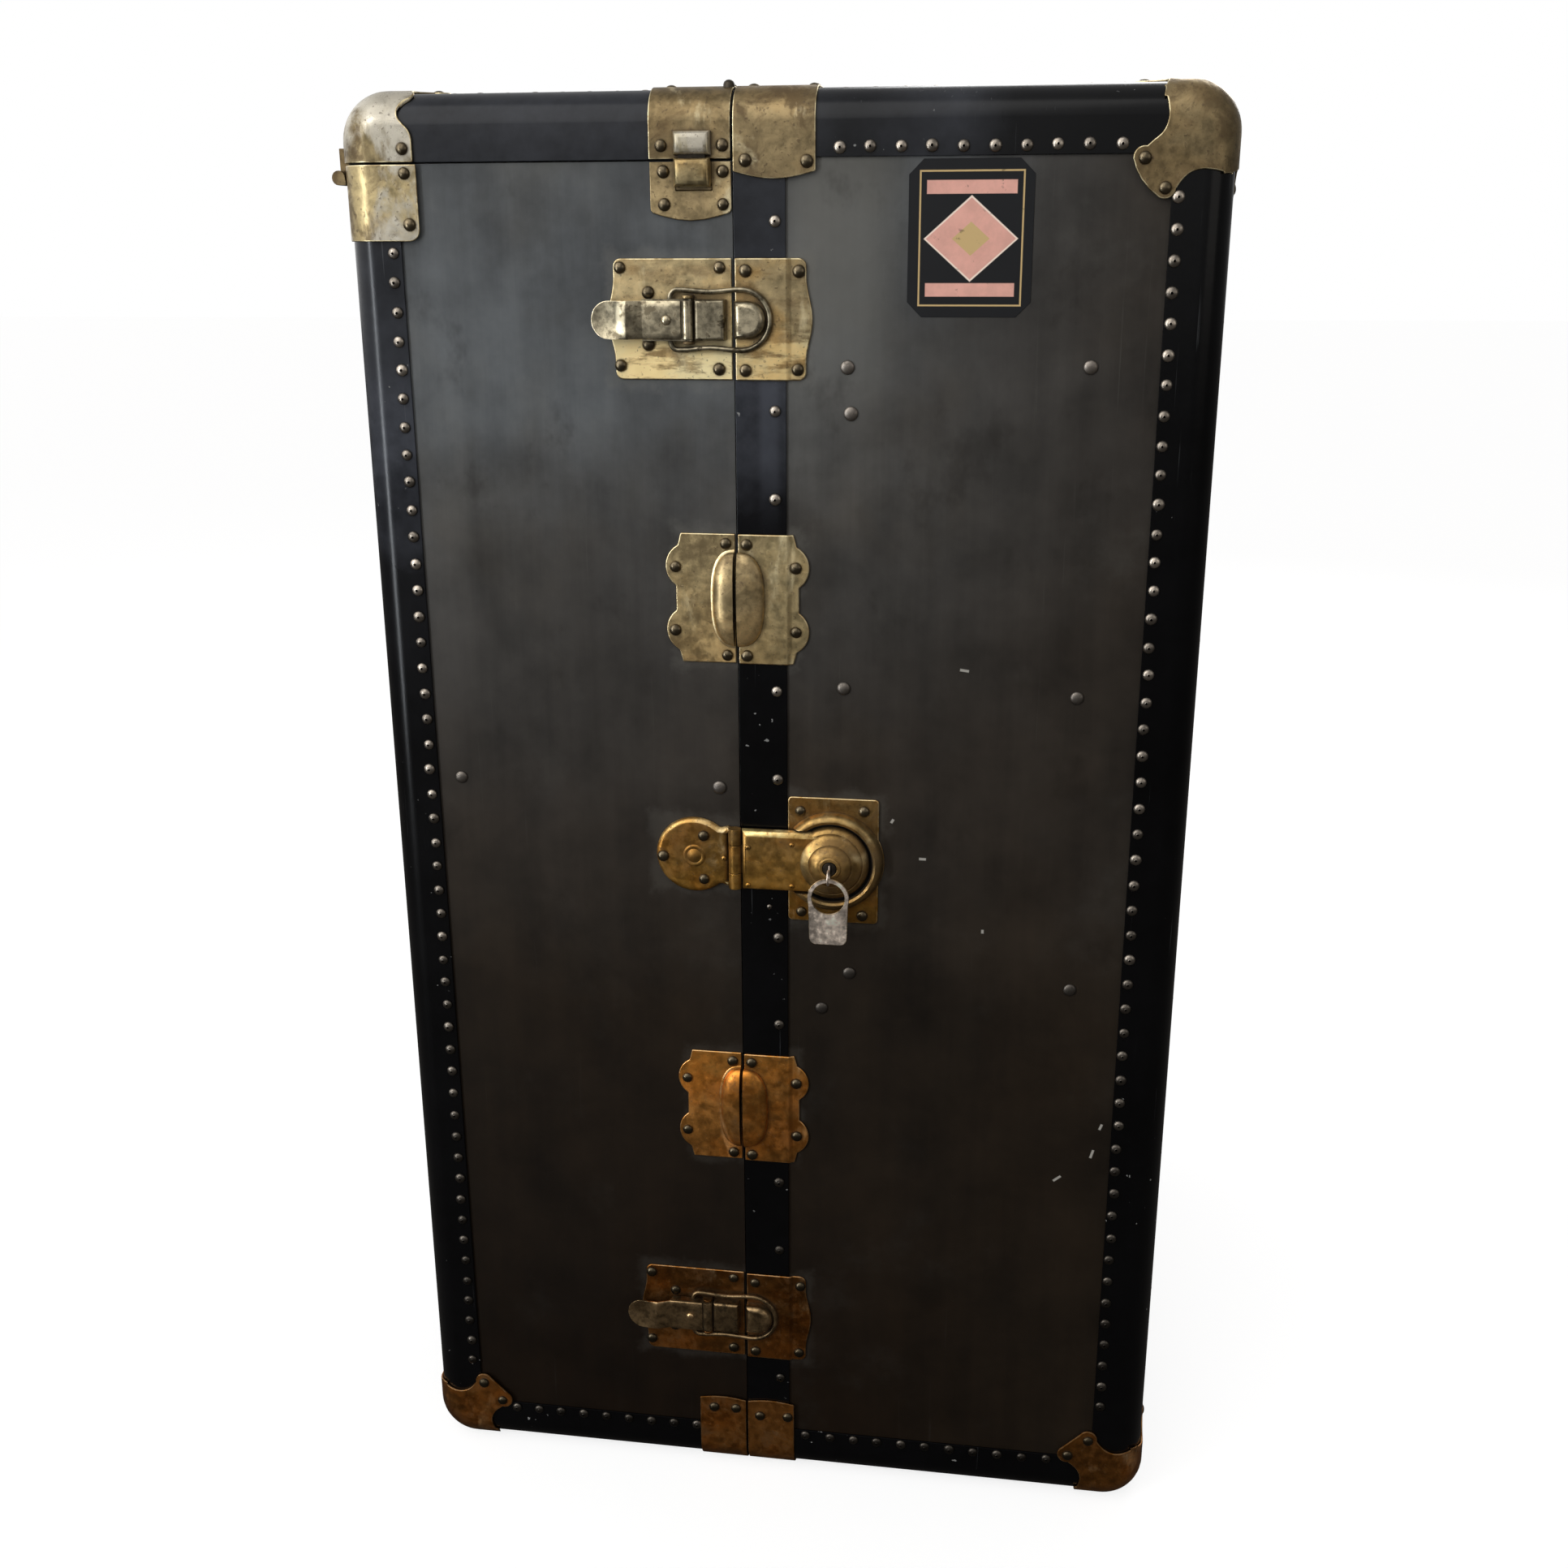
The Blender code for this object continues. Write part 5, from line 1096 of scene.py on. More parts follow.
def heads_at(name, kind, places, body, slot, look_name, wobble=0.0):
    """Copies of one head at places of (point, outward), as one piece on a body."""
    s = sizes()
    if kind not in HEADS:
        HEADS[kind] = {
            "rivet": lambda: head("rivet", s.rivet, 2.7 * MM, 20, 5),
            "small": lambda: head("small_rivet", 1.9 * MM, 1.1 * MM, 12, 3),
            "tack": lambda: head("tack", 3.1 * MM, 1.9 * MM, 20, 5),
            "panel": lambda: head("panel_rivet", 4.7 * MM, 2.2 * MM, 20, 5),
            "nail": lambda: head("nail", s.nail, 2.3 * MM, 12, 4),
        }[kind]()
    chance = random.Random(name)
    made = []
    for i, (point, outward) in enumerate(places):
        one = twin(HEADS[kind], f"{name}_{i}")
        shift = Vector([chance.uniform(-wobble, wobble) for _ in range(3)])
        outward = Vector(outward)
        shift -= outward * shift.dot(outward)
        tilt = Vector([chance.uniform(-0.05, 0.05) for _ in range(3)])
        turn = (outward + tilt).to_track_quat("Z", "Y").to_matrix().to_4x4()
        one.matrix_world = (Matrix.Translation(Vector(point) + shift) @ turn
                            @ Matrix.Scale(chance.uniform(0.94, 1.05), 4))
        made.append(one)
    group = joined(name, *made)
    bpy.ops.object.transform_apply(location=True, rotation=True, scale=True)
    return settle(paint(group, look(look_name)), body, slot)


def riveted(name, places, body, stray=RIVET_STRAY):
    """The bronze rivets of a brass plate, each a little off its place."""
    return heads_at(name, "rivet", places, body, "brass", "bronze_rivets", stray)


OUTWARD = {"front": (0, -1, 0), "back": (0, 1, 0), "top": (0, 0, 1)}


def on_front(places, out):
    """Places on the front from (x, z) in mm, at a distance out."""
    return [((x * MM, FRONT - out, z * MM), OUTWARD["front"]) for x, z in places]


def spaced(low, high, pitch):
    """Even places from low to high at about a pitch."""
    count = max(1, round((high - low) / pitch))
    return [low + (high - low) * i / count for i in range(count + 1)]


# Operators, one for each group of pieces

class TRUNK_OT_panels(bpy.types.Operator):
    """Cover the carcass in vulcanised fibre and line it with paper"""
    bl_idname = "trunk.panels"
    bl_label = "Panels and lining"

    def execute(self, context):
        for node in ("right_shell", "left_shell", "lid_shell"):
            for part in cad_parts[node].material_slots:
                part.material = look("grey_fibre")
        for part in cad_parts["closing_lip"].material_slots:
            part.material = look("black_binding")
        heads_at("panel_rivets_right", "panel", on_front(
            [(47.8, 855.4), (200.2, 856.5), (50.2, 826.6), (46.8, 644.6), (202.3, 643.4),
             (52.4, 435.2), (207.8, 432.1), (32.7, 406.5)], 0),
            "drawer_half", "brass", "grey_rivets")
        heads_at("panel_rivets_left", "panel", on_front([(-226.2, 569.9), (-39.5, 570.4)], 0),
                 "hanger_half", "brass", "grey_rivets")
        return {"FINISHED"}


class TRUNK_OT_bindings(bpy.types.Operator):
    """Lap the black fibre bindings over every edge"""
    bl_idname = "trunk.bindings"
    bl_label = "Edge bindings"

    def execute(self, context):
        s = sizes()
        near, far = FRONT + s.binding_width, BACK - s.binding_width
        low, high = BOTTOM + s.binding_width, TOP - s.top_binding
        edge = SIDE - s.binding_width
        jobs = {
            "right_binding": ("drawer_half", RIGHT_SPAN, EVERYWHERE, (STRIP_EDGE, edge),
                              (low, high)),
            "left_binding": ("hanger_half", LEFT_SPAN, BODY_SPAN, (-edge, 0), (low, TOP)),
            "lid_binding": ("lid", LEFT_SPAN, LID_SPAN, (-edge, 0), None),
        }
        for node, (body, span, heights, across, up) in jobs.items():
            made = cut_out("binding", f"{node}_skin", block("span", span, EVERYWHERE, heights))
            cut_away(made, across, (near, far))
            if up:
                cut_away(made, across, z=up)
                cut_away(made, span, (near, far), up)
            welded(made, 0.2)
            eased(paint(made, look("black_binding")), 0.45 * MM, 2, 50)
            settle(made, body, "binding", node)
        return {"FINISHED"}


class TRUNK_OT_caps(bpy.types.Operator):
    """Form the lobed brass corner caps"""
    bl_idname = "trunk.caps"
    bl_label = "Corner caps"

    def outside(self):
        """How far past the corner the tools reach, as a place along an outline."""
        return -over_binding() - sizes().cap - TOOL_MARGIN

    def cap(self, name, upright, flat):
        """The cap of the right, front, top corner, from its upright and its flat outline."""
        edge = self.outside()
        depth = 37 * MM
        tool = block("corner", (SIDE - depth, SIDE - edge), (FRONT + edge, FRONT + depth),
                     (TOP - depth, TOP - edge))
        faces = (
            prism("face", "Y", [(SIDE - u, TOP - v) for u, v in upright], FRONT - 10 * MM,
                  FRONT + 5 * MM),
            prism("side", "X", [(FRONT + u, TOP - v) for u, v in upright], SIDE - 6.5 * MM,
                  SIDE + 11 * MM),
            prism("flat", "Z", [(SIDE - u, FRONT + v) for u, v in flat], TOP - 7.5 * MM,
                  TOP + 12 * MM))
        for face in faces:
            carve(tool, face, "UNION")
        return welded(cut_out("cap", name, tool), 0.2)

    def run(self, start, lobe, radius, end):
        """Along an edge, round a lobe."""
        return curved(in_mm(start), 4)[:-1] + arc(
            (lobe[0] * MM, lobe[1] * MM), radius * MM, -100, end, 12)

    def closed(self, run):
        """A run and its mirror image, closed behind the corner."""
        edge = self.outside()
        back = [(v, u) for u, v in reversed(run)]
        return [(edge, edge), (run[0][0], edge), *run, *back, (edge, run[0][0])]

    def execute(self, context):
        s = sizes()
        edge = self.outside()
        lobed = self.closed(self.run([(48, -4), (48, 0), (45, 9.8), (44, 19.6), (47, 26.6),
                                      (52.4, 31.6)],
                                     (54.9, 39.3), 7, 58))
        low_lobe = arc((40.6 * MM, 58.4 * MM), 6.7 * MM, 62, 172, 10)
        low_lobe += curved(in_mm(((32.4, 56.8), (29.4, 53), (25.2, 49.9), (19, 48.4), (12, 48.9),
                                  (6, 50.2), (0, 51), (-4, 51.1))), 3)
        first = self.run([(44.4, -4), (44, 0), (42.8, 6), (41.3, 13), (40.9, 20), (43.6, 27),
                          (49.6, 32.2)],
                         (53.6, 41.4), 6.7, 10)
        upright = [(edge, edge), (first[0][0], edge), *first, (58.2 * MM, 48 * MM),
                   (55 * MM, 53.6 * MM),
                   (50 * MM, 59.4 * MM), *low_lobe, (edge, low_lobe[-1][1])]
        flat = self.closed(self.run([(44.4, -4), (44, 0), (42.8, 6), (41.3, 13), (41.4, 20),
                                     (44.6, 26.6),
                                     (50.4, 31.6)], (52.9, 39.3), 7, 58))
        straight = curved(in_mm(((48.4, -4), (47.2, 0.4), (43.2, 3.1), (40.4, 6.4), (39.5, 10.2),
                                 (40.3, 13.5), (43.2, 17), (46.6, 20.6), (48.3, 25), (48.5, 30),
                                 (48.5, 52))), 4)
        straight = [(edge, edge), (straight[0][0], edge), *straight, (edge, 52 * MM)]
        lid_flat = self.closed(self.run([(39.5, -4), (39.7, -1.5), (40.6, -0.3), (43.2, 2.1),
                                         (47.1, 4.8), (48, 9),
                                         (45, 14), (44, 19.6), (47, 26.6), (52.4, 31.6)],
                                         (54.9, 39.3), 7, 58))
        low_source = self.cap("low_corner_form", lobed, lobed)
        source = self.cap("corner_form", upright, flat)
        lid_source = self.cap("lid_corner_form", straight, lid_flat)
        for side, right in (("right", True), ("left", False)):
            for depth, front in (("front", True), ("back", False)):
                for level, top in (("top", True), ("bottom", False)):
                    lid = top and not right
                    node = f"lid_cap_{depth}" if lid else f"{side}_cap_{level}_{depth}"
                    body = "drawer_half" if right else "lid" if lid else "hanger_half"
                    made = twin(lid_source if lid else source if top else low_source,
                                f"{node}_skin")
                    for axis, kept in enumerate((right, front, top)):
                        if not kept:
                            mirror(made, axis, MIDDLE)
                    if lid:
                        within(made, LEFT_SPAN, z=LID_SPAN)
                        welded(made, 0.2)
                    worn = lid and front
                    rimmed(made, "brass_worn" if worn else "brass_cap" if top else "brass", s.rim)
                    if lid:
                        knuckle = from_node(node, "knuckle")
                        within(knuckle, (-FAR, -SIDE - over_binding() - s.cap - HAIR))
                        eased(paint(knuckle, look("brass_brown"), look("brass_rim")), 0.3 * MM, 2,
                              50)
                        made = joined(made.name, made, knuckle)
                    settle(made, body, "brass", node)
                    self.rivets(s, node, body, right, front, top, lid)
        for used in (low_source, source, lid_source):
            bpy.data.objects.remove(used)
        return {"FINISHED"}

    def rivets(self, s, node, body, right, front, top, lid):
        out = over_binding() + s.cap
        sx, sy, sz = (1 if right else -1), (-1 if front else 1), (1 if top else -1)
        x0, y0, z0 = sx * SIDE, FRONT if front else BACK, TOP if top else BOTTOM
        near, far = 39.3 * MM, s.cap_reach + 6 * MM
        pairs = ((near, far), (far, near))
        places = []
        for u, v in ((40.6 * MM, 58.6 * MM), (53.6 * MM, 41.5 * MM)) if right and top else pairs:
            places.append(((x0 - sx * u, y0 + sy * out, z0 - sz * v), (0, sy, 0)))
            places.append(((x0 + sx * (out - 1.2 * MM), y0 - sy * u, z0 - sz * v), (sx, 0, 0)))
        for u, v in pairs:
            places.append(((x0 - sx * u, y0 - sy * v, z0 + sz * (out - 1.2 * MM)), (0, 0, sz)))
        if lid:
            places = [p for p in places if p[1][2]]
            low = LID_LOW + 8 * MM
            places.append(((x0 - sx * 42 * MM, y0 + sy * out, low), (0, sy, 0)))
            places.append(((x0 + sx * (out - 1.2 * MM), y0 - sy * 42 * MM, low), (sx, 0, 0)))
        if not top:
            places = [p for p in places if not p[1][2]]
        riveted(f"{node}_rivets", places, body)


class TRUNK_OT_collars(bpy.types.Operator):
    """Wrap the hinge collars round the left corners under the lid"""
    bl_idname = "trunk.collars"
    bl_label = "Lid collars"

    def execute(self, context):
        s = sizes()
        low = BODY_HIGH - s.collar_height
        for depth, face, sign in (("front", FRONT, 1), ("back", BACK, -1)):
            reach = face + sign * s.collar_reach
            bounds = block("collar", (-FAR, s.collar_reach - SIDE), (face - sign * 10 * MM, reach),
                           (low, BODY_HIGH - 0.4 * MM))
            bevelled(bounds, lambda co: abs(co.z - low) < MM and co.x > -FAR / 2, 7 * MM, 6)
            made = welded(cut_out("sheet", f"left_collar_{depth}_skin", bounds), 0.2)
            rimmed(made, "brass_collar" if depth == "front" else "brass", SHEET_RIM)
            knuckle = from_node(f"left_collar_{depth}", "knuckle")
            within(knuckle, (-FAR, -SIDE - sheet_out() - HAIR))
            eased(paint(knuckle, look("brass_brown"), look("brass_rim")), 0.3 * MM, 2, 50)
            settle(joined(made.name, made, knuckle), "hanger_half", "brass", f"left_collar_{depth}")
            out = sheet_out()
            places = [((x, face - sign * out, z), (0, -sign, 0)) for x, z in (
                (-236.7 * MM, 973.8 * MM), (-235.3 * MM, 942.8 * MM))]
            for z in (973.8 * MM, 942.8 * MM):
                places.append(((1.2 * MM - SIDE - out, face + sign * 42 * MM, z), (-1, 0, 0)))
            riveted(f"left_collar_{depth}_rivets", places, "hanger_half")
        return {"FINISHED"}


def bowed(low, high, edge, bow, outwards, steps=14):
    rise = [(low + (high - low) * i / steps, edge - bow * math.sin(math.pi * i / steps))
            for i in range(steps + 1)]
    return rise + [(high, outwards), (low, outwards)]


class TRUNK_OT_clamps(bpy.types.Operator):
    """Fold the brass clamps over the edges beside the seam, with the lid's tongue and strike"""
    bl_idname = "trunk.clamps"
    bl_label = "Seam clamps"

    def pillow(self, name, low, high, back):
        """A raised block in the middle of the lid's clamp, its edges well rounded."""
        made = block(name, (STRIKE_X - 11.6 * MM, STRIKE_X + 11.6 * MM),
                     (FRONT - back, FRONT - 10 * MM), (low, high))
        bevelled(made, lambda co: co.y < FRONT - 9 * MM, 4.2 * MM, 6)
        pick(made, "EDGE", lambda e: abs(e.verts[0].co.y - e.verts[1].co.y) > 3 * MM)
        bpy.ops.mesh.bevel(offset=3 * MM, segments=5, affect="EDGES", clamp_overlap=False)
        clear()
        return smooth(made, 40)

    def tab(self):
        """The block on the lid and the tongue under it."""
        tongue = block("tongue", (STRIKE_X - 8.4 * MM, STRIKE_X + 8.4 * MM),
                       (FRONT - 4.3 * MM, FRONT - 6.9 * MM),
                       (LID_LOW - 11.6 * MM, LID_LOW + 5 * MM))
        # The tongue is painted dark so the pocket's opening reads black: painted shadow.
        paint(tongue, look("iron"))
        raised = self.pillow("tab", LID_LOW + 2.4 * MM, LID_LOW + 16.4 * MM, sheet_out() - 0.2 * MM)
        return tongue, paint(raised, look("brass_tab"))

    def pocket(self):
        """The pocket on the body, hollow for the tongue."""
        made = self.pillow("pocket", BODY_HIGH - 15.6 * MM, BODY_HIGH + 1.8 * MM,
                           plate_out() - 0.2 * MM)
        cut_away(made, (STRIKE_X - 9.3 * MM, STRIKE_X + 9.3 * MM),
                 (FRONT - 3.4 * MM, FRONT - 7.9 * MM),
                 (BODY_HIGH - 30 * MM, BODY_HIGH + 5 * MM))
        cut_away(made, y=(FRONT - sheet_out() - 0.3 * MM, FAR), z=(BODY_HIGH - 0.3 * MM, FAR))
        return smooth(paint(made, look("brass_pocket")), 40)

    def execute(self, context):
        s = sizes()
        gap = s.clearance
        right = (RIGHT_EDGE + gap, RIGHT_EDGE + s.top_clamp)
        left = (LEFT_EDGE - s.top_clamp, LEFT_EDGE - gap)
        low_right = (RIGHT_EDGE + gap, RIGHT_EDGE + s.bottom_clamp)
        low_left = (LEFT_EDGE - s.bottom_clamp, LEFT_EDGE - gap)
        seam = LID_LOW + gap
        over, under = TOP + 10 * MM, BOTTOM - 10 * MM
        jobs = {
            "right_clamp_top": ("drawer_half", bowed(*right, TOP - 47.3 * MM, 4.4 * MM, over),
                                [(-16.7, 979.4), (21.7, 979.0)]),
            "lid_clamp": ("lid",
                          [(left[0], seam), (left[1], seam), (left[1], over), (left[0], over)],
                          [(-69.8, 988.6), (-30.9, 988.6)]),
            "right_clamp_bottom": ("drawer_half",
                                   bowed(*low_right, BOTTOM + 60 * MM, -2 * MM, under),
                                   [(-14.5, 51.9), (7.5, 52.9)]),
            "left_clamp_bottom": ("hanger_half", bowed(*low_left, BOTTOM + 60 * MM, -2 * MM, under),
                                  [(-50.9, 56.2), (-33.9, 56.6)]),
        }
        for node, (body, outline, rivets) in jobs.items():
            bounds = prism("clamp", "Y", outline, FRONT - 10 * MM, FRONT + s.clamp_wrap)
            made = welded(cut_out("sheet", f"{node}_skin", bounds), 0.2)
            rimmed(made, "brass", SHEET_RIM)
            if node == "lid_clamp":
                made = joined(made.name, made, *self.tab())
            settle(made, body, "brass", node)
            places = on_front(rivets, sheet_out())
            if node != "left_clamp_bottom" and node != "right_clamp_bottom":
                for x, _ in rivets:
                    places.append(((x * MM, FRONT + 36 * MM, TOP + sheet_out()), OUTWARD["top"]))
            riveted(f"{node}_rivets", places, body)
        strike = from_node("lid_strike", "lid_strike_skin")
        within(strike, y=(FRONT - plate_out() - HAIR, FAR))
        xs = [v.co.x for v in strike.data.vertices]
        low = min(v.co.z for v in strike.data.vertices if v.co.x < min(xs) + 0.1 * MM)

        def low_corner(co):
            return min(co.x - min(xs), max(xs) - co.x) < 0.1 * MM and abs(co.z - low) < MM

        bevelled(strike, low_corner, 2.4 * MM, 4)
        eased(paint(strike, look("brass_strike"), look("brass_rim")), 0.6 * MM, 3)
        settle(joined(strike.name, strike, self.pocket()), "hanger_half", "brass", "lid_strike")
        riveted("lid_strike_rivets",
                on_front([(-68.6, 973.4), (-31.1, 973.2), (-68.1, 954.1), (-30.9, 953.9)],
                         plate_out()), "hanger_half")
        stud = turned("lid_stud",
                      in_mm(((0, 6.9), (1.6, 6.6), (2.9, 5.7), (3.6, 4.2), (3.7, 0), (0, 0))),
                      (0, 0), 20)
        stood_up(stud, (-29 * MM, FRONT + 14 * MM, TOP))
        settle(paint(smooth(stud, 50, False), look("iron")), "lid", "brass")
        for kind in list(BASES):
            bpy.data.objects.remove(BASES.pop(kind))
        return {"FINISHED"}


def latch_outline(width, height):
    """Square at the seam, rounded corners and a bow on the outer side."""
    half = height / 2
    inner = SEAM_INSET
    turn = 5 * MM
    low = arc((width - turn, turn - half), turn, -90, 0, 7)
    high = arc((width - turn, half - turn), turn, 0, 90, 7)
    side = []
    for i in range(1, 20):
        v = -27 * MM + 54 * MM * i / 20
        side.append((width + 2 * MM * (1 + math.cos(math.pi * v / (27 * MM))), v))
    return [(inner, -half), *low, *side, *high, (inner, half)]


def joggled(made):
    """Bend a plate down from the seam strip to the panel beside it."""
    fall = over_binding() - sizes().clearance
    start, width = STRIP_EDGE + 0.2 * MM, 3.6 * MM
    for i in range(7):
        edit(made)
        bpy.ops.mesh.bisect(plane_co=(start + width * i / 6, 0, 0), plane_no=(1, 0, 0))
    edit(made)
    for vert in bmesh.from_edit_mesh(made.data).verts:
        vert.co.y += fall * blend_between(vert.co.x, start, start + width)
    bmesh.update_edit_mesh(made.data)
    clear()
    return made


class TRUNK_OT_latches(bpy.types.Operator):
    """Build the two draw latches: plates, block, lever, wire bail and keeper"""
    bl_idname = "trunk.latches"
    bl_label = "Draw latches"

    def execute(self, context):
        s = sizes()
        for level, z in LATCH_HEIGHTS.items():
            centre = (SEAM_X, z)
            left = plate(f"{level}_latch_plate",
                         flipped(latch_outline(s.latch_width, s.latch_height)),
                         centre, s.clearance, plate_out())
            rimmed(left, "brass_scratched" if level == "upper" else "brass", s.rim, 3, 40)
            ears = from_node(f"{level}_latch_base", "ears")
            within(ears, (SEAM_X - 34 * MM, SEAM_X - 24.7 * MM), (-FAR, FRONT - plate_out() - HAIR))
            eased(paint(ears, look("brass"), look("brass_rim")), 0.35 * MM, 2, 40)
            settle(joined(left.name, left, ears), "hanger_half", "brass", f"{level}_latch_base")
            body = block(f"{level}_latch_block", (SEAM_X - 24.2 * MM, SEAM_X - 4.8 * MM),
                         (FRONT - plate_out() + 0.2 * MM, FRONT - 10.2 * MM),
                         (z - 12.6 * MM, z + 12.6 * MM))
            bevelled(body, lambda co: co.y < FRONT - 10 * MM, 2.4 * MM, 5)
            eased(paint(body, look("nickel_dark"), look("nickel_rim")), 0.35 * MM, 2, 40)
            settle(body, "hanger_half", "nickel")
            self.lever(level, z)
            self.bail(level, z)
            self.keeper(s, level, z)
        return {"FINISHED"}

    def lever(self, level, z):
        """A pressed strap: flat by the hinge, kicked up past its rivet, with a round dished tab."""
        axis, half = LEVER_AXIS_X, 11.9 * MM
        outline = [(-3.9 * MM, -half), (-3.9 * MM, half)] + arc((half - 62 * MM, 0), half, 90, 270,
                                                                28)
        strap = plate(f"{level}_lever", outline, (axis, z), 9.2 * MM, 10.6 * MM)
        for u in (5, 12, 20, 27.8, 28.6, 29, 29.5, 31, 34, 37.6, 38.3, 38.7, 39.4, *range(41, 61)):
            edit(strap)
            bpy.ops.mesh.bisect(plane_co=(axis - u * MM, 0, 0), plane_no=(1, 0, 0))
        for v in (-11, -9.8, -8, -4, 0, 4, 8, 9.8, 11):
            edit(strap)
            bpy.ops.mesh.bisect(plane_co=(0, 0, z + v * MM), plane_no=(0, 0, 1))
        edit(strap)
        for vert in bmesh.from_edit_mesh(strap.data).verts:
            u = (axis - vert.co.x) / MM
            v = abs(vert.co.z - z) / half
            kick = 3.8 * min(1, max(0, (u - 29) / 9.4)) - 3.2 * max(0, (u - 38.4) / 23.4)
            tab = blend_between(u, 39, 46)
            dish = 0.9 * (1 - min(1, math.hypot(max(0, u - 49.2) / 12.8, v)) ** 2) * tab
            crown = 0.7 * (max(0, v - 0.72) / 0.28) ** 2 * (1 - tab)
            vert.co.y -= (kick - dish - crown) * MM
        bmesh.update_edit_mesh(strap.data)
        clear()
        eased(paint(strap, look("nickel"), look("nickel_rim")), 0.35 * MM, 2, 50, True)
        bar = barrel("bar", "Z", (axis, FRONT - 7 * MM, z), -half, half, 3.8 * MM, 28)
        smooth(paint(bar, look("nickel"), look("nickel_rim")), 40)
        # The lever's skirts and underside in the darker copy of the nickel: painted shade under the
        # strap.
        under = from_node(f"{level}_latch_lever", "under")
        within(under, y=(FRONT - 9.3 * MM, FAR))
        smooth(paint(under, look("nickel_dark")), 30)
        settle(joined(strap.name, strap, bar, under), f"{level}_lever", "nickel",
               f"{level}_latch_lever")
        heads_at(f"{level}_lever_rivet", "tack",
                 [((axis - 13.2 * MM, FRONT - 10.6 * MM, z), OUTWARD["front"])],
                 f"{level}_lever", "nickel", "nickel_rim")

    def bail(self, level, z):
        low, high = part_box(f"{level}_latch_bail")
        start = low[0] + 1.55 * MM
        reach = high[0] - 1.55 * MM
        y = FRONT - 5.4 * MM
        half, bend = 18.6 * MM, 5 * MM
        upper = [(0, 9.3 * MM)]
        upper += [(bend + u, half - bend + v) for u, v in arc((0, 0), bend, 180, 90, 8)]
        span = reach - start - half
        for i in range(1, 12):
            t = i / 12
            upper.append((bend + (span - bend) * t, half - 1.3 * MM * math.sin(math.pi * t) ** 2))
        head_run = arc((span, 0), half, 90, -90, 28)
        points = [*upper, *head_run, *[(u, -v) for u, v in reversed(upper)]]
        made = wire(f"{level}_bail_wire", [(start + u, y, z + v) for u, v in points], 1.7 * MM)
        settle(paint(made, look("nickel_dark")), f"{level}_bail", "nickel", f"{level}_latch_bail")

    def keeper(self, s, level, z):
        centre = (SEAM_X, z)
        right = plate(f"{level}_keeper_plate", latch_outline(s.keeper_width, s.latch_height),
                      centre,
                      over_binding(), sheet_out())
        joggled(right)
        rimmed(right, "brass_keeper" if level == "upper" else "brass_brown", s.rim, 3, 55)
        settle(right, "drawer_half", "brass", f"{level}_keeper")
        half = 11.7 * MM
        outline = [(SEAM_INSET, -half), *arc((21 * MM - half, 0), half, -90, 90, 24),
                   (SEAM_INSET, half)]
        boss = plate(f"{level}_keeper_boss", outline, centre, sheet_out() - 0.3 * MM, 11 * MM)
        bevelled(boss, lambda co: co.y < FRONT - 10.9 * MM, 4.2 * MM, 7)
        smooth(paint(boss, look("nickel")), 40)
        settle(boss, "drawer_half", "nickel")
        rivets = {"left": [(-98.6, 31.6), (-34, 31.6), (-99.7, -28.6), (-35, -30.7), (-80.1, 16.8),
                           (-81, -15.2)],
                  "right": [(-17.2, 30.1), (17.1, 29.6), (-17.4, -31.1), (16.1, -30.8)]}
        lift = z / MM
        riveted(f"{level}_latch_rivets",
                on_front([(x, lift + v) for x, v in rivets["left"]], plate_out()), "hanger_half")
        places = on_front([(x, lift + v) for x, v in rivets["right"] if x < 0], sheet_out())
        places += on_front([(x, lift + v) for x, v in rivets["right"] if x > 0], plate_out())
        riveted(f"{level}_keeper_rivets", places, "drawer_half")


def dowel_outline(width, height):
    """A plate with two round lobes on its outer side."""
    half = height / 2
    across = width - 5.4 * MM
    lobes = arc((across, -21.6 * MM), 16 * MM, -62, 55, 18)
    lobes += arc((across, 21.6 * MM), 16 * MM, -55, 62, 18)
    return [(SEAM_INSET, -half), (width, -half), *lobes, (width, half), (SEAM_INSET, half)]


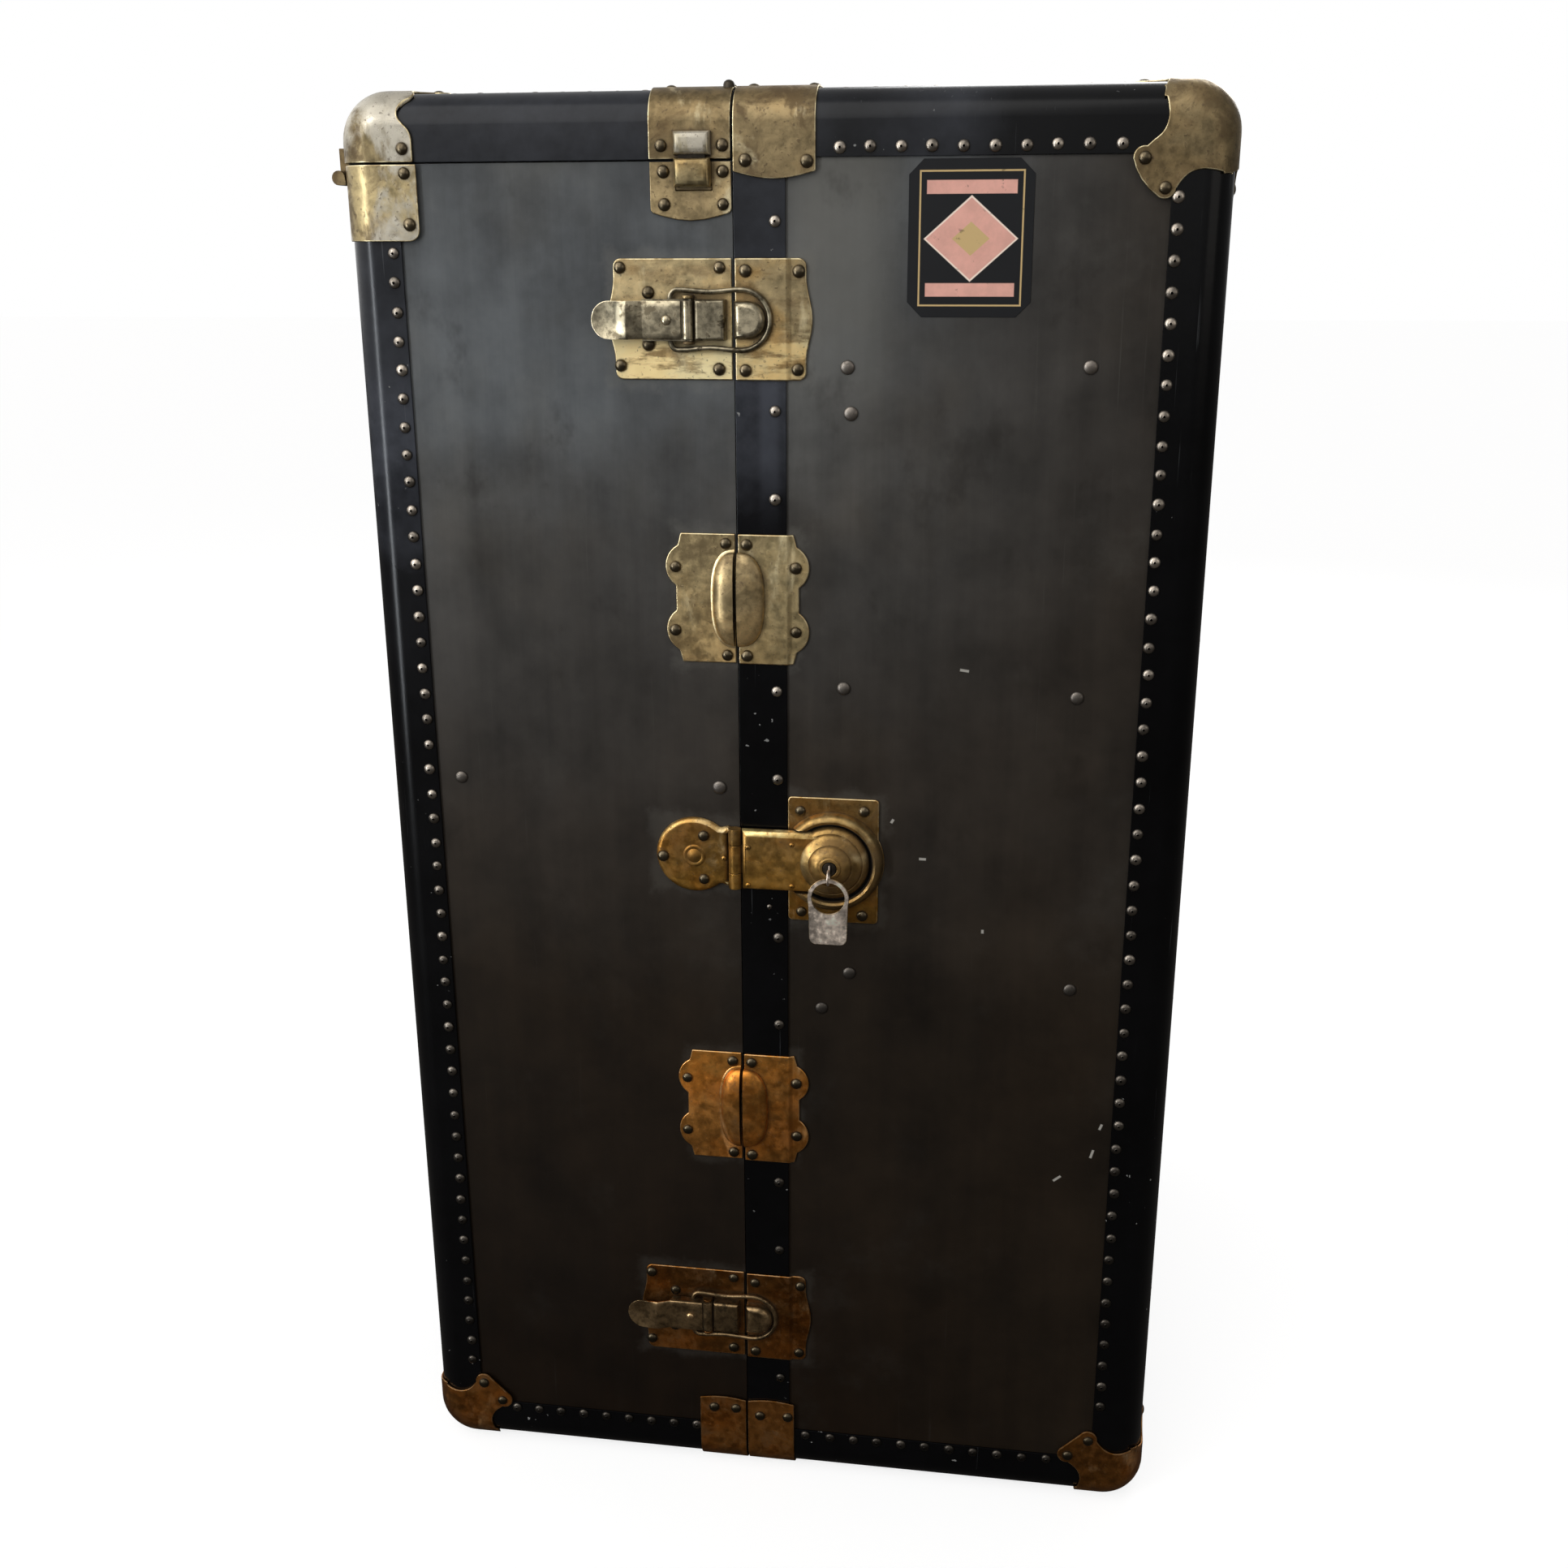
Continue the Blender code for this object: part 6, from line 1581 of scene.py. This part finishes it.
class TRUNK_OT_dowels(bpy.types.Operator):
    """Press the two pairs of dowel plates with their shared oval boss"""
    bl_idname = "trunk.dowels"
    bl_label = "Dowel plates"

    def dome(self, name, z, side, base, wide=0.0, low=1.0):
        """Half of an oval boss with steep sides and a crowned top."""
        clear()
        bpy.ops.mesh.primitive_uv_sphere_add(segments=56, ring_count=28, radius=1)
        made = named(name)
        edit(made)
        shape = bmesh.from_edit_mesh(made.data)
        grow = Vector(((16.6 if side < 0 else 18.8) * MM + wide, (10.5 * MM - base) * low,
                       32 * MM + wide))
        for vert in shape.verts:
            direct = vert.co.normalized()
            power = sum(abs(c) ** 2.7 for c in direct) ** (-1 / 2.7)
            place = direct * power
            vert.co = Vector((SEAM_X + place.x * grow.x, FRONT - base + place.y * grow.y,
                              z + place.z * grow.z))
        bmesh.update_edit_mesh(made.data)
        edge = SEAM_X + side * (1.7 if side < 0 else 0.7) * MM
        bpy.ops.mesh.bisect(plane_co=(edge, 0, 0), plane_no=(-side, 0, 0), clear_outer=True,
                            use_fill=True)
        bpy.ops.mesh.select_all(action="SELECT")
        bpy.ops.mesh.bisect(plane_co=(0, FRONT - base + 0.3 * MM, 0), plane_no=(0, 1, 0),
                            clear_outer=True,
                            use_fill=True)
        bpy.ops.mesh.select_all(action="SELECT")
        bpy.ops.mesh.normals_make_consistent(inside=False)
        clear()
        return smooth(made, 50)

    def execute(self, context):
        s = sizes()
        for level, z in DOWEL_HEIGHTS.items():
            centre = (SEAM_X, z)
            outline = dowel_outline(s.dowel_width, s.dowel_height)
            left = plate(f"{level}_dowel_left", flipped(outline), centre, s.clearance, plate_out())
            rimmed(left, "brass_tan", s.rim, 3, 40)
            dome = paint(self.dome("dome", z, -1, plate_out()), look("brass_dome"),
                         look("brass_rim"))
            lip = paint(self.dome("lip", z, -1, plate_out(), 1.6 * MM, 0.16), look("brass_rim"))
            # The tongue in the gap between the dome halves is painted dark so the gap reads black:
            # painted shadow.
            tongue = from_node(f"{level}_dowel_plate", "tongue")
            within(tongue, (SEAM_X - 0.6 * MM, FAR))
            paint(tongue, look("iron"))
            settle(joined(left.name, left, dome, lip, tongue), "hanger_half", "brass",
                   f"{level}_dowel_plate")
            right = joggled(plate(f"{level}_dowel_right", outline, centre, over_binding(),
                                  sheet_out()))
            rimmed(right, "brass_grey" if level == "upper" else "brass_gold", s.rim, 3, 55)
            dome = paint(self.dome("dome", z, 1, sheet_out()), look("brass_dome"),
                         look("brass_rim"))
            cut_away(dome, (SEAM_X - 10 * MM, SEAM_X + 9.8 * MM),
                     (FRONT - 3.6 * MM, FRONT - 7.8 * MM),
                     (z - 14.8 * MM, z + 14.8 * MM))
            settle(joined(right.name, right, dome), "drawer_half", "brass", f"{level}_dowel_socket")
            lift = z / MM
            riveted(f"{level}_dowel_rivets_left",
                    on_front([(-32.4, lift + 37.4), (-66.9, lift + 21.3), (-67.4, lift - 21.9),
                              (-32.4, lift - 38.4)], plate_out()), "hanger_half")
            places = on_front([(-18.4, lift + 37.4), (-18.4, lift - 38.4)], sheet_out())
            places += on_front([(14.8, lift + 21.8), (14.8, lift - 21.5)], plate_out())
            riveted(f"{level}_dowel_rivets_right", places, "drawer_half")
        return {"FINISHED"}


class TRUNK_OT_lock(bpy.types.Operator):
    """Build the hasp, the stepped lock boss, its shroud and the key with its fob"""
    bl_idname = "trunk.lock"
    bl_label = "Hasp lock and key"

    def execute(self, context):
        s = sizes()
        gold, bright = look("brass_gold"), look("brass_rim")
        centre = (LOCK.x, LOCK.z)
        left = STRIP_EDGE + 0.4 * MM - LOCK.x
        right = left + 63.5 * MM
        half, rim_radius = 46 * MM, 36.3 * MM
        swing = math.degrees(math.acos(right / rim_radius))
        turn = 3 * MM
        outline = [*arc((left + turn, turn - half), turn, 180, 270, 5),
                   *arc((right - turn, turn - half), turn, -90, 0, 5),
                   *arc((0, 0), rim_radius, -swing, swing, 24),
                   *arc((right - turn, half - turn), turn, 0, 90, 5),
                   *arc((left + turn, half - turn), turn, 90, 180, 5)]
        made = plate("lock_plate_sheet", outline, centre, s.clearance, plate_out())
        rimmed(made, "brass_brown", s.rim, 3, 40)
        profile = in_mm(((28.6, 1.2), (28.6, 7), (29.3, 8.4), (30.9, 9.2), (32.8, 8.9), (34.5, 7.4),
                         (35.6, 4.8), (36, 2.4), (36, 1.2)))
        shroud = turned("shroud", profile, centre, 80)
        passage = 23.4 * MM
        cut_away(shroud, (LOCK.x - FAR, LOCK.x), z=(LOCK.z - passage, LOCK.z + passage))
        cut_away(shroud, (-FAR, LOCK.x + left))
        rimmed(shroud, "brass_pale", 0.4 * MM)
        post = paint(turned("post", in_mm(((0, 1.2), (5, 1.2), (5, 7), (0, 7))),
                            centre, 24), gold)
        # A dark ring on the plate inside the shroud, lining its inner wall too: painted shadow.
        channel = turned("channel",
                         in_mm(((8, 1.6), (8, 2), (28.3, 2), (28.3, 7), (28.7, 7), (28.7, 1.6))),
                         centre, 64)
        cut_away(channel, (-FAR, LOCK.x + left))
        cut_away(channel, (LOCK.x - FAR, LOCK.x), (FRONT - 2.1 * MM, -FAR),
                 (LOCK.z - passage, LOCK.z + passage))
        paint(channel, look("iron"))
        settle(joined("lock_plate_sheet", made, shroud, post, channel), "drawer_half", "brass",
               "lock_plate")
        riveted("lock_plate_rivets",
                on_front([(17.5, 556.6), (62.1, 557.6), (18, 481.2), (61.2, 480.2)], plate_out()),
                "drawer_half")
        self.base(gold, bright)
        self.arm(gold, bright, centre)
        self.key()
        return {"FINISHED"}

    def base(self, gold, bright):
        round_x = SEAM_X - 32.5 * MM - LOCK.x
        neck = HASP_AXIS_X - HASP_KNUCKLE - LOCK.x
        end = arc((round_x, 0), 27.6 * MM, 50, 310, 44)
        upper = curved([(neck, 22.4 * MM), (neck - 2.4 * MM, 21.8 * MM),
                        (end[0][0] + 1.6 * MM, end[0][1] - 0.3 * MM)], 4)[:-1]
        lower = [(u, -v) for u, v in reversed(upper)]
        pan = plate("hasp_base_pan", [*upper, *end, *lower], (LOCK.x, LOCK.z), 0.3 * MM, 4.6 * MM)
        bevelled(pan, lambda co: co.y < FRONT - 4.5 * MM, 4.1 * MM, 6, 0.55)
        # The pan's upward faces in the brighter look: painted highlight.
        painted_top_highlight(smooth(paint(pan, gold, look("brass_polished")), 50, False))
        boss = paint(turned("boss", in_mm(((0, 6.4), (2.6, 6.2), (4.4, 5.4), (5.2, 4.9), (6.4, 5.3),
                                           (7.6, 5.2), (8.4, 4.4), (0, 4.4))),
                            (LOCK.x + round_x, LOCK.z), 32), gold, bright)
        smooth(boss, 50)
        knuckles = from_node("hasp_base", "knuckles")
        within(knuckles, (LOCK.x + neck - 0.4 * MM, FAR))
        eased(paint(knuckles, gold, bright), 0.35 * MM, 2, 50)
        settle(joined("hasp_base_pan", pan, boss, knuckles), "hanger_half", "brass", "hasp_base")
        riveted("hasp_base_rivets",
                on_front([(-50.5, 535.5), (-79.5, 519.5), (-51, 503.5)], 4.6 * MM), "hanger_half")
        heads_at("hasp_base_pins", "small", on_front([(-36.3, 519.5)], 4.6 * MM), "hanger_half",
                 "brass",
                 "brass_gold")

    def arm(self, gold, bright, centre):
        near = HASP_AXIS_X + HASP_KNUCKLE
        strap = block("hasp_strap", (near, LOCK.x - 6 * MM), (FRONT - 4.2 * MM, FRONT - 10 * MM),
                      (LOCK.z - 22.2 * MM, LOCK.z + 22.2 * MM))
        bevelled(strap, lambda co: co.y < FRONT - 9.9 * MM, 5.4 * MM, 6, 0.55)
        # The strap's upward faces in the brighter look: painted highlight.
        painted_top_highlight(smooth(paint(strap, gold, look("brass_polished")), 50, False))
        profile = in_mm(((0, 4), (26.4, 4), (26.4, 5.6), (25.7, 7.5), (24.3, 8.9), (22.6, 9.5),
                         (21.9, 9.3), (21.5, 10.3), (20.5, 11.1), (18, 12.2), (15.5, 13.3),
                         (14.9, 13.2), (14.5, 14.2), (13.3, 15.2), (11.2, 16.5), (9.2, 17.3),
                         (7.9, 17.4), (7.6, 18.2), (7, 18.5), (5.2, 18.5), (4.9, 17.8), (4.9, 8),
                         (0, 8)))
        boss = paint(turned("hasp_boss", profile, centre, 72), look("brass_pale"), bright)
        eased(boss, 0.22 * MM, 2, 32)
        under = from_node("hasp_arm", "hasp_knuckle")
        within(under, (-FAR, near + 3.2 * MM))
        within(under, z=(LOCK.z - 10.2 * MM, LOCK.z + 10.2 * MM))
        eased(paint(under, gold, bright), 0.3 * MM, 2, 50)
        settle(joined("hasp_strap", strap, boss, under), "hasp", "brass", "hasp_arm")
        heads_at("hasp_strap_pins", "small", on_front(
            [(-18.2, 530.5), (-18.4, 502.5), (12.5, 533.8), (12.5, 503.2)], 10 * MM), "hasp",
            "brass",
            "brass_gold")

    def key(self):
        refined("lock_cylinder", "lock", "nickel", look("iron"), None, 0.25 * MM, 2, 50)
        y = FRONT - 24.5 * MM
        fall, ring_radius, ring_wire, hole_radius = 4 * MM, 4.9 * MM, 0.8 * MM, 11.4 * MM
        ring = [(LOCK.x, y - v, LOCK.z - fall + u) for u, v in arc((0, 0), ring_radius, 0, 360,
                                                                   48)[:-1]]
        loop = paint(wire("key_loop", ring, ring_wire, True, 3), look("steel"))
        blade = from_node("key", "key_blade")
        within(blade, y=(FRONT - 20 * MM, FAR))
        eased(paint(blade, look("steel")), 0.15 * MM, 2)
        settle(joined("key_blade", blade, loop), "lock", "nickel", "key")
        drop = LOCK.z - fall - (ring_radius + hole_radius - ring_wire - sizes().clearance)
        radius, corner = 13.2 * MM, 5 * MM
        low = -34.4 * MM
        outline = arc((0, 0), 14.5 * MM, -16, 196, 44)
        outline += arc((corner - radius, low + corner), corner, 180, 270, 10)
        outline += arc((radius - corner, low + corner), corner, 270, 360, 10)
        fob = prism("fob_plate", "Y", [(LOCK.x + u, drop + v) for u, v in outline], y - 0.7 * MM,
                    y + 0.7 * MM)
        hole = prism("hole", "Y",
                     [(LOCK.x + u, drop + v) for u, v in arc((0, 0), hole_radius, 0, 360, 64)[:-1]],
                     y - 5 * MM, y + 5 * MM)
        carve(fob, hole)
        eased(paint(fob, look("steel"), look("nickel_rim")), 0.4 * MM, 2, 40, True)
        settle(fob, "fob", "nickel", "key_fob")


class TRUNK_OT_hinges(bpy.types.Operator):
    """Finish the two butt hinges on the back and their rivets"""
    bl_idname = "trunk.hinges"
    bl_label = "Back hinges"

    def execute(self, context):
        for level in ("upper", "lower"):
            for side, body in (("right", "drawer_half"), ("left", "hanger_half")):
                node = f"{level}_hinge_{side}"
                refined(node, body, "brass", look("brass"), look("brass_rim"), 0.5 * MM, 2)
                z = middle(node).z
                x = SEAM_X + (1 if side == "right" else -1) * 20 * MM
                places = [((x + dx, BACK + sheet_out(), z + dz), OUTWARD["back"])
                          for dx, dz in ((0, -26 * MM), (6 * MM if side == "right" else -6 * MM, 0),
                                         (0, 26 * MM))]
                riveted(f"{node}_rivets", places, body)
        return {"FINISHED"}


class TRUNK_OT_handles(bpy.types.Operator):
    """Round the leather handles and finish their brass loops"""
    bl_idname = "trunk.handles"
    bl_label = "Carrying handles"

    def execute(self, context):
        for side, sign, body in (("right", 1, "drawer_half"), ("left", -1, "hanger_half")):
            grip = from_node(f"{side}_handle", f"{side}_grip")
            use(grip, "REMESH", mode="VOXEL", voxel_size=1.6 * MM)
            use(grip, "CORRECTIVE_SMOOTH", iterations=12, use_only_smooth=True)
            smooth(paint(grip, look("leather")), 70, False)
            settle(grip, f"{side}_handle", "leather", f"{side}_handle")
            for depth in ("front", "back"):
                node = f"{side}_handle_loop_{depth}"
                refined(node, body, "brass", look("brass"), look("brass_rim"), 0.5 * MM, 2)
                y = middle(node).y
                places = [((sign * (SIDE + plate_out()), y + dy, HANDLE_Z + dz), (sign, 0, 0))
                          for dy in (-11 * MM, 11 * MM) for dz in (-18.5 * MM, 18.5 * MM)]
                riveted(f"{node}_rivets", places, body, 0)
        return {"FINISHED"}


class TRUNK_OT_nails(bpy.types.Operator):
    """Drive the nails along the bindings and the seam strip"""
    bl_idname = "trunk.nails"
    bl_label = "Nails"

    def execute(self, context):
        s = sizes()
        out = s.clearance + s.binding
        inset, pitch = s.nail_inset, s.nail_pitch
        row_end, row_right, row_left = 66 * MM, 212.3 * MM, 41.8 * MM
        right_high, left_high = 956.7 * MM, 925.4 * MM
        right, left, lid = [], [], []
        high_right = TOP - inset - 1.4 * MM
        for y, facing in ((FRONT - out, "front"), (BACK + out, "back")):
            o = OUTWARD[facing]
            x = SIDE - inset
            right += [((x, y, z), o) for z in spaced(88.5 * MM, right_high, pitch)]
            left += [((-x - 1.5 * MM, y, z), o) for z in spaced(77.7 * MM, left_high, pitch)]
            right += [((x, y, high_right), o) for x in spaced(row_left, row_right, pitch)]
            right += [((x, y, BOTTOM + inset), o) for x in spaced(21.7 * MM, 209.1 * MM, pitch)]
            left += [((x, y, BOTTOM + inset), o) for x in spaced(-214.2 * MM, -65.7 * MM, pitch)]
            if facing == "front":
                strip = (943.6, 828.1, 770.8, 641.3, 578.2, 459.7, 392.1, 261.4, 203.1, 88)
            else:
                strip = [z / MM for z in spaced(95 * MM, 935 * MM, 70 * MM)
                         if all(abs(z - middle(f"{level}_hinge_right").z) > 42 * MM
                                for level in ("upper", "lower"))]
            right += [((1.5 * MM, y, z * MM), o) for z in strip]
            if facing == "back":
                lid += [((x, y, LID_LOW + 7 * MM), o) for x in spaced(-212 * MM, -42 * MM,
                                                                      2 * pitch)]
        for sign, group, top in ((1, right, right_high), (-1, left, left_high)):
            x = sign * (SIDE + out - s.sunk)
            o = (sign, 0, 0)
            for y in (FRONT + inset, BACK - inset):
                group += [((x, y, z), o) for z in spaced(82 * MM, top, pitch)]
            rows = [BOTTOM + inset]
            if sign > 0:
                rows.append(TOP - inset)
            for z in rows:
                group += [((x, y, z), o) for y in spaced(FRONT + row_end, BACK - row_end, pitch)]
        z = TOP + out - s.sunk
        rows = (  # front row and back row, then the one from front to back
            (right, (row_left, row_right), (RIGHT_EDGE + 12 * MM, row_right), SIDE - inset),
            (lid, (-row_right, -86 * MM), (-row_right, LEFT_EDGE - 12 * MM), inset - SIDE))
        for group, front_row, back_row, x in rows:
            for y, row in ((FRONT + inset, front_row), (BACK - inset, back_row)):
                group += [((u, y, z), OUTWARD["top"]) for u in spaced(*row, pitch)]
            group += [((x, y, z), OUTWARD["top"]) for y in spaced(FRONT + row_end, BACK - row_end,
                                                                  pitch)]
        for name, group, body in (("right_nails", right, "drawer_half"),
                                  ("left_nails", left, "hanger_half"),
                                  ("lid_nails", lid, "lid")):
            heads_at(name, "nail", group, body, "brass", "copper_nails", 0.5 * MM)
        heads_at("strip_pin", "small", on_front([(-4.6, 483.6)], out), "drawer_half", "brass",
                 "copper_nails")
        return {"FINISHED"}


class TRUNK_OT_label(bpy.types.Operator):
    """Paste the plain printed label on the right panel"""
    bl_idname = "trunk.label"
    bl_label = "Label"

    def execute(self, context):
        low, high = LABEL_BOX
        corner = 9 * MM
        x0, x1, z0, z1 = low[0], high[0], low[2], high[2]
        outline = [(x0 + corner, z0), (x1 - corner, z0), (x1, z0 + corner), (x1, z1 - corner),
                   (x1 - corner, z1), (x0 + corner, z1), (x0, z1 - corner), (x0, z0 + corner)]
        made = prism("label_patch", "Y", outline, FRONT - 0.35 * MM, FRONT)
        eased(paint(made, look("label")), 0.1 * MM, 1, 50)
        settle(made, "drawer_half", "panel")
        return {"FINISHED"}


class TRUNK_OT_drawers(bpy.types.Operator):
    """Finish the drawer rack and the drawers"""
    bl_idname = "trunk.drawers"
    bl_label = "Drawers"

    def execute(self, context):
        refined("drawer_rack", "drawer_half", "plywood", look("rack_wood"), None, 0.8 * MM, 2)
        for i in range(1, 5):
            refined(f"drawer_{i}", f"drawer_{i}", "wood", look("drawer_wood"), None, 0.9 * MM, 2)
        return {"FINISHED"}


class TRUNK_OT_hangers(bpy.types.Operator):
    """Finish the trolley rod and the hangers"""
    bl_idname = "trunk.hangers"
    bl_label = "Trolley and hangers"

    def execute(self, context):
        refined("trolley_sleeve", "hanger_half", "nickel", look("nickel"), None, 0.6 * MM, 2, 40)
        refined("trolley_rod", "trolley", "nickel", look("nickel"), None, 0.5 * MM, 2, 40)
        for name in ("inner", "outer"):
            refined(f"hanger_{name}", f"hanger_{name}", "wood", look("drawer_wood"), None, 0.3 * MM,
                    1, 60)
        return {"FINISHED"}


FLOOR_SIZE = 40
LENS = 38.405
SENSOR = 36
CAMERA_PLACE = (0.16985, -1.3496, 0.93278)
CAMERA_FORWARD = (-0.14171, 0.94033, -0.30936)
CAMERA_UP = (-0.04242, 0.30646, 0.95094)

# How bright the reflected room is from the ground (0) to the zenith (1)
ROOM_TONES = ((0.15, 0.03), (0.30, 0.10), (0.42, 0.26), (0.52, 0.56), (0.62, 0.64), (0.80, 0.58))

# Name, place, target, size, power and colour
LAMPS = (
    ("key", (-1.15, -2.1, 2.5), (0, FRONT, 0.80), (3.0, 3.0), 36, (1.0, 0.99, 0.97)),
    ("spark", (-1.5, -1.9, 1.9), (0, FRONT, 0.75), (0.25, 0.35), 4.0, (1.0, 0.98, 0.94)),
    ("fill", (1.9, -1.7, 1.5), (0, FRONT, 0.60), (1.4, 1.4), 4, (1.0, 0.95, 0.88)),
    ("strip", (-1.73, -1.92, 0.6), (-SIDE, FRONT, 0.6), (0.22, 1.1), 14, (0.90, 0.95, 1.0)),
    ("back_light", (0.6, 2.4, 2.2), (0, BACK, 0.6), (1.6, 1.6), 30, (1.0, 1.0, 1.0)),
)


class TRUNK_OT_stage(bpy.types.Operator):
    """Lay the pale floor, hang the lamps and set the camera"""
    bl_idname = "trunk.stage"
    bl_label = "Studio"

    def lamp(self, name, place, target, size, power, tone):
        data = bpy.data.lights.new(name, "AREA")
        data.shape = "RECTANGLE"
        data.size, data.size_y = size
        data.energy = power
        data.color = tone
        made = bpy.data.objects.new(name, data)
        bpy.context.scene.collection.objects.link(made)
        made.location = place
        aim = Vector(target) - Vector(place)
        made.rotation_euler = aim.to_track_quat("-Z", "Y").to_euler()

    def floor(self):
        """A pale ground that still takes the object's shadow."""
        clear()
        bpy.ops.mesh.primitive_grid_add(x_subdivisions=2, y_subdivisions=2, size=FLOOR_SIZE)
        made = named("studio_floor")
        ground = Look("studio_floor", Roughness=0.9, Specular_IOR_Level=0.2,
                      Emission_Color=(1, 1, 1, 1))
        seen = ground.node("ShaderNodeLightPath", out="Is Camera Ray")
        tone = ground.mix(seen, (0.07, 0.065, 0.06), (0.30, 0.30, 0.30))
        paint(made, ground.done(Base_Color=tone, Emission_Strength=seen * 0.80))

    def sky(self):
        """White to the camera, a soft room for reflections, dim light for the rest."""
        world = bpy.context.scene.world or bpy.data.worlds.new("studio")
        bpy.context.scene.world = world
        world.use_nodes = True
        world.node_tree.nodes.clear()
        made = Nodes(world.node_tree)
        x, _, z = made.parts(made.node("ShaderNodeTexCoord", out="Generated"))
        height = made.math("MULTIPLY_ADD", z, 0.5, 0.5)
        room = made.ramp(height, *[(place, (tone, tone, tone)) for place, tone in ROOM_TONES])
        window = made.node("ShaderNodeMapRange", {"interpolation_type": "SMOOTHSTEP"}, {
            "Value": x, "From Min": -0.35, "From Max": -0.75, "To Min": 0.85, "To Max": 2.4})
        wall = made.node("ShaderNodeMapRange", {}, {
            "Value": x, "From Min": 0.1, "From Max": 0.8, "To Min": 1.0, "To Max": 0.35})
        glow = made.node("ShaderNodeVectorMath", {"operation": "SCALE"},
                         {0: room, "Scale": window * wall})
        last, reflected, white = [
            made.node("ShaderNodeBackground", {}, {"Color": tone, "Strength": strength})
            for tone, strength in (((1, 0.99, 0.98), 0.55), (glow, 1.0), ((1, 1, 1), 1.0))]
        for ray, shade in (("Glossy", reflected), ("Transmission", white), ("Camera", white)):
            flag = made.node("ShaderNodeLightPath", out=f"Is {ray} Ray")
            last = made.node("ShaderNodeMixShader", {}, {0: flag, 1: last, 2: shade})
        made.node("ShaderNodeOutputWorld", {}, {"Surface": last}, out=None)

    def camera(self):
        data = bpy.data.cameras.new("camera")
        data.lens = LENS
        data.sensor_width = SENSOR
        data.clip_start = 0.05
        data.clip_end = 100
        made = bpy.data.objects.new("camera", data)
        bpy.context.scene.collection.objects.link(made)
        forward = Vector(CAMERA_FORWARD).normalized()
        right = forward.cross(Vector(CAMERA_UP)).normalized()
        above = right.cross(forward)
        turn = Matrix((right, above, -forward)).transposed().to_4x4()
        made.matrix_world = Matrix.Translation(CAMERA_PLACE) @ turn
        bpy.context.scene.camera = made

    def execute(self, context):
        self.floor()
        self.sky()
        self.camera()
        for lamp in LAMPS:
            self.lamp(*lamp)
        context.scene.view_settings.view_transform = "Standard"
        return {"FINISHED"}


STEPS = (TRUNK_OT_panels, TRUNK_OT_bindings, TRUNK_OT_caps, TRUNK_OT_collars, TRUNK_OT_clamps,
         TRUNK_OT_latches, TRUNK_OT_dowels, TRUNK_OT_lock, TRUNK_OT_hinges, TRUNK_OT_handles,
         TRUNK_OT_nails, TRUNK_OT_label, TRUNK_OT_drawers, TRUNK_OT_hangers, TRUNK_OT_stage)


class TRUNK_PT_panel(bpy.types.Panel):
    """Lists the trunk's sizes, finishes and steps"""
    bl_idname = "TRUNK_PT_panel"
    bl_label = "Wardrobe trunk"
    bl_space_type = "VIEW_3D"
    bl_region_type = "UI"
    bl_category = "Trunk"

    def draw(self, context):
        for group in (context.scene.trunk_sizes, context.scene.trunk_finishes):
            box = self.layout.box()
            for name in type(group).__annotations__:
                box.prop(group, name)
        for step in STEPS:
            self.layout.operator(step.bl_idname)


CLASSES = (TrunkSizes, TrunkFinishes, *STEPS, TRUNK_PT_panel)


def register():
    for item in CLASSES:
        bpy.utils.register_class(item)
    bpy.types.Scene.trunk_sizes = bpy.props.PointerProperty(type=TrunkSizes)
    bpy.types.Scene.trunk_finishes = bpy.props.PointerProperty(type=TrunkFinishes)


def unregister():
    del bpy.types.Scene.trunk_finishes
    del bpy.types.Scene.trunk_sizes
    for item in reversed(CLASSES):
        bpy.utils.unregister_class(item)


def main():
    register()
    for step in STEPS:
        family, action = step.bl_idname.split(".")
        getattr(getattr(bpy.ops, family), action)()
    for source in HEADS.values():
        bpy.data.objects.remove(source)
    clear()


if __name__ == "__main__":
    main()
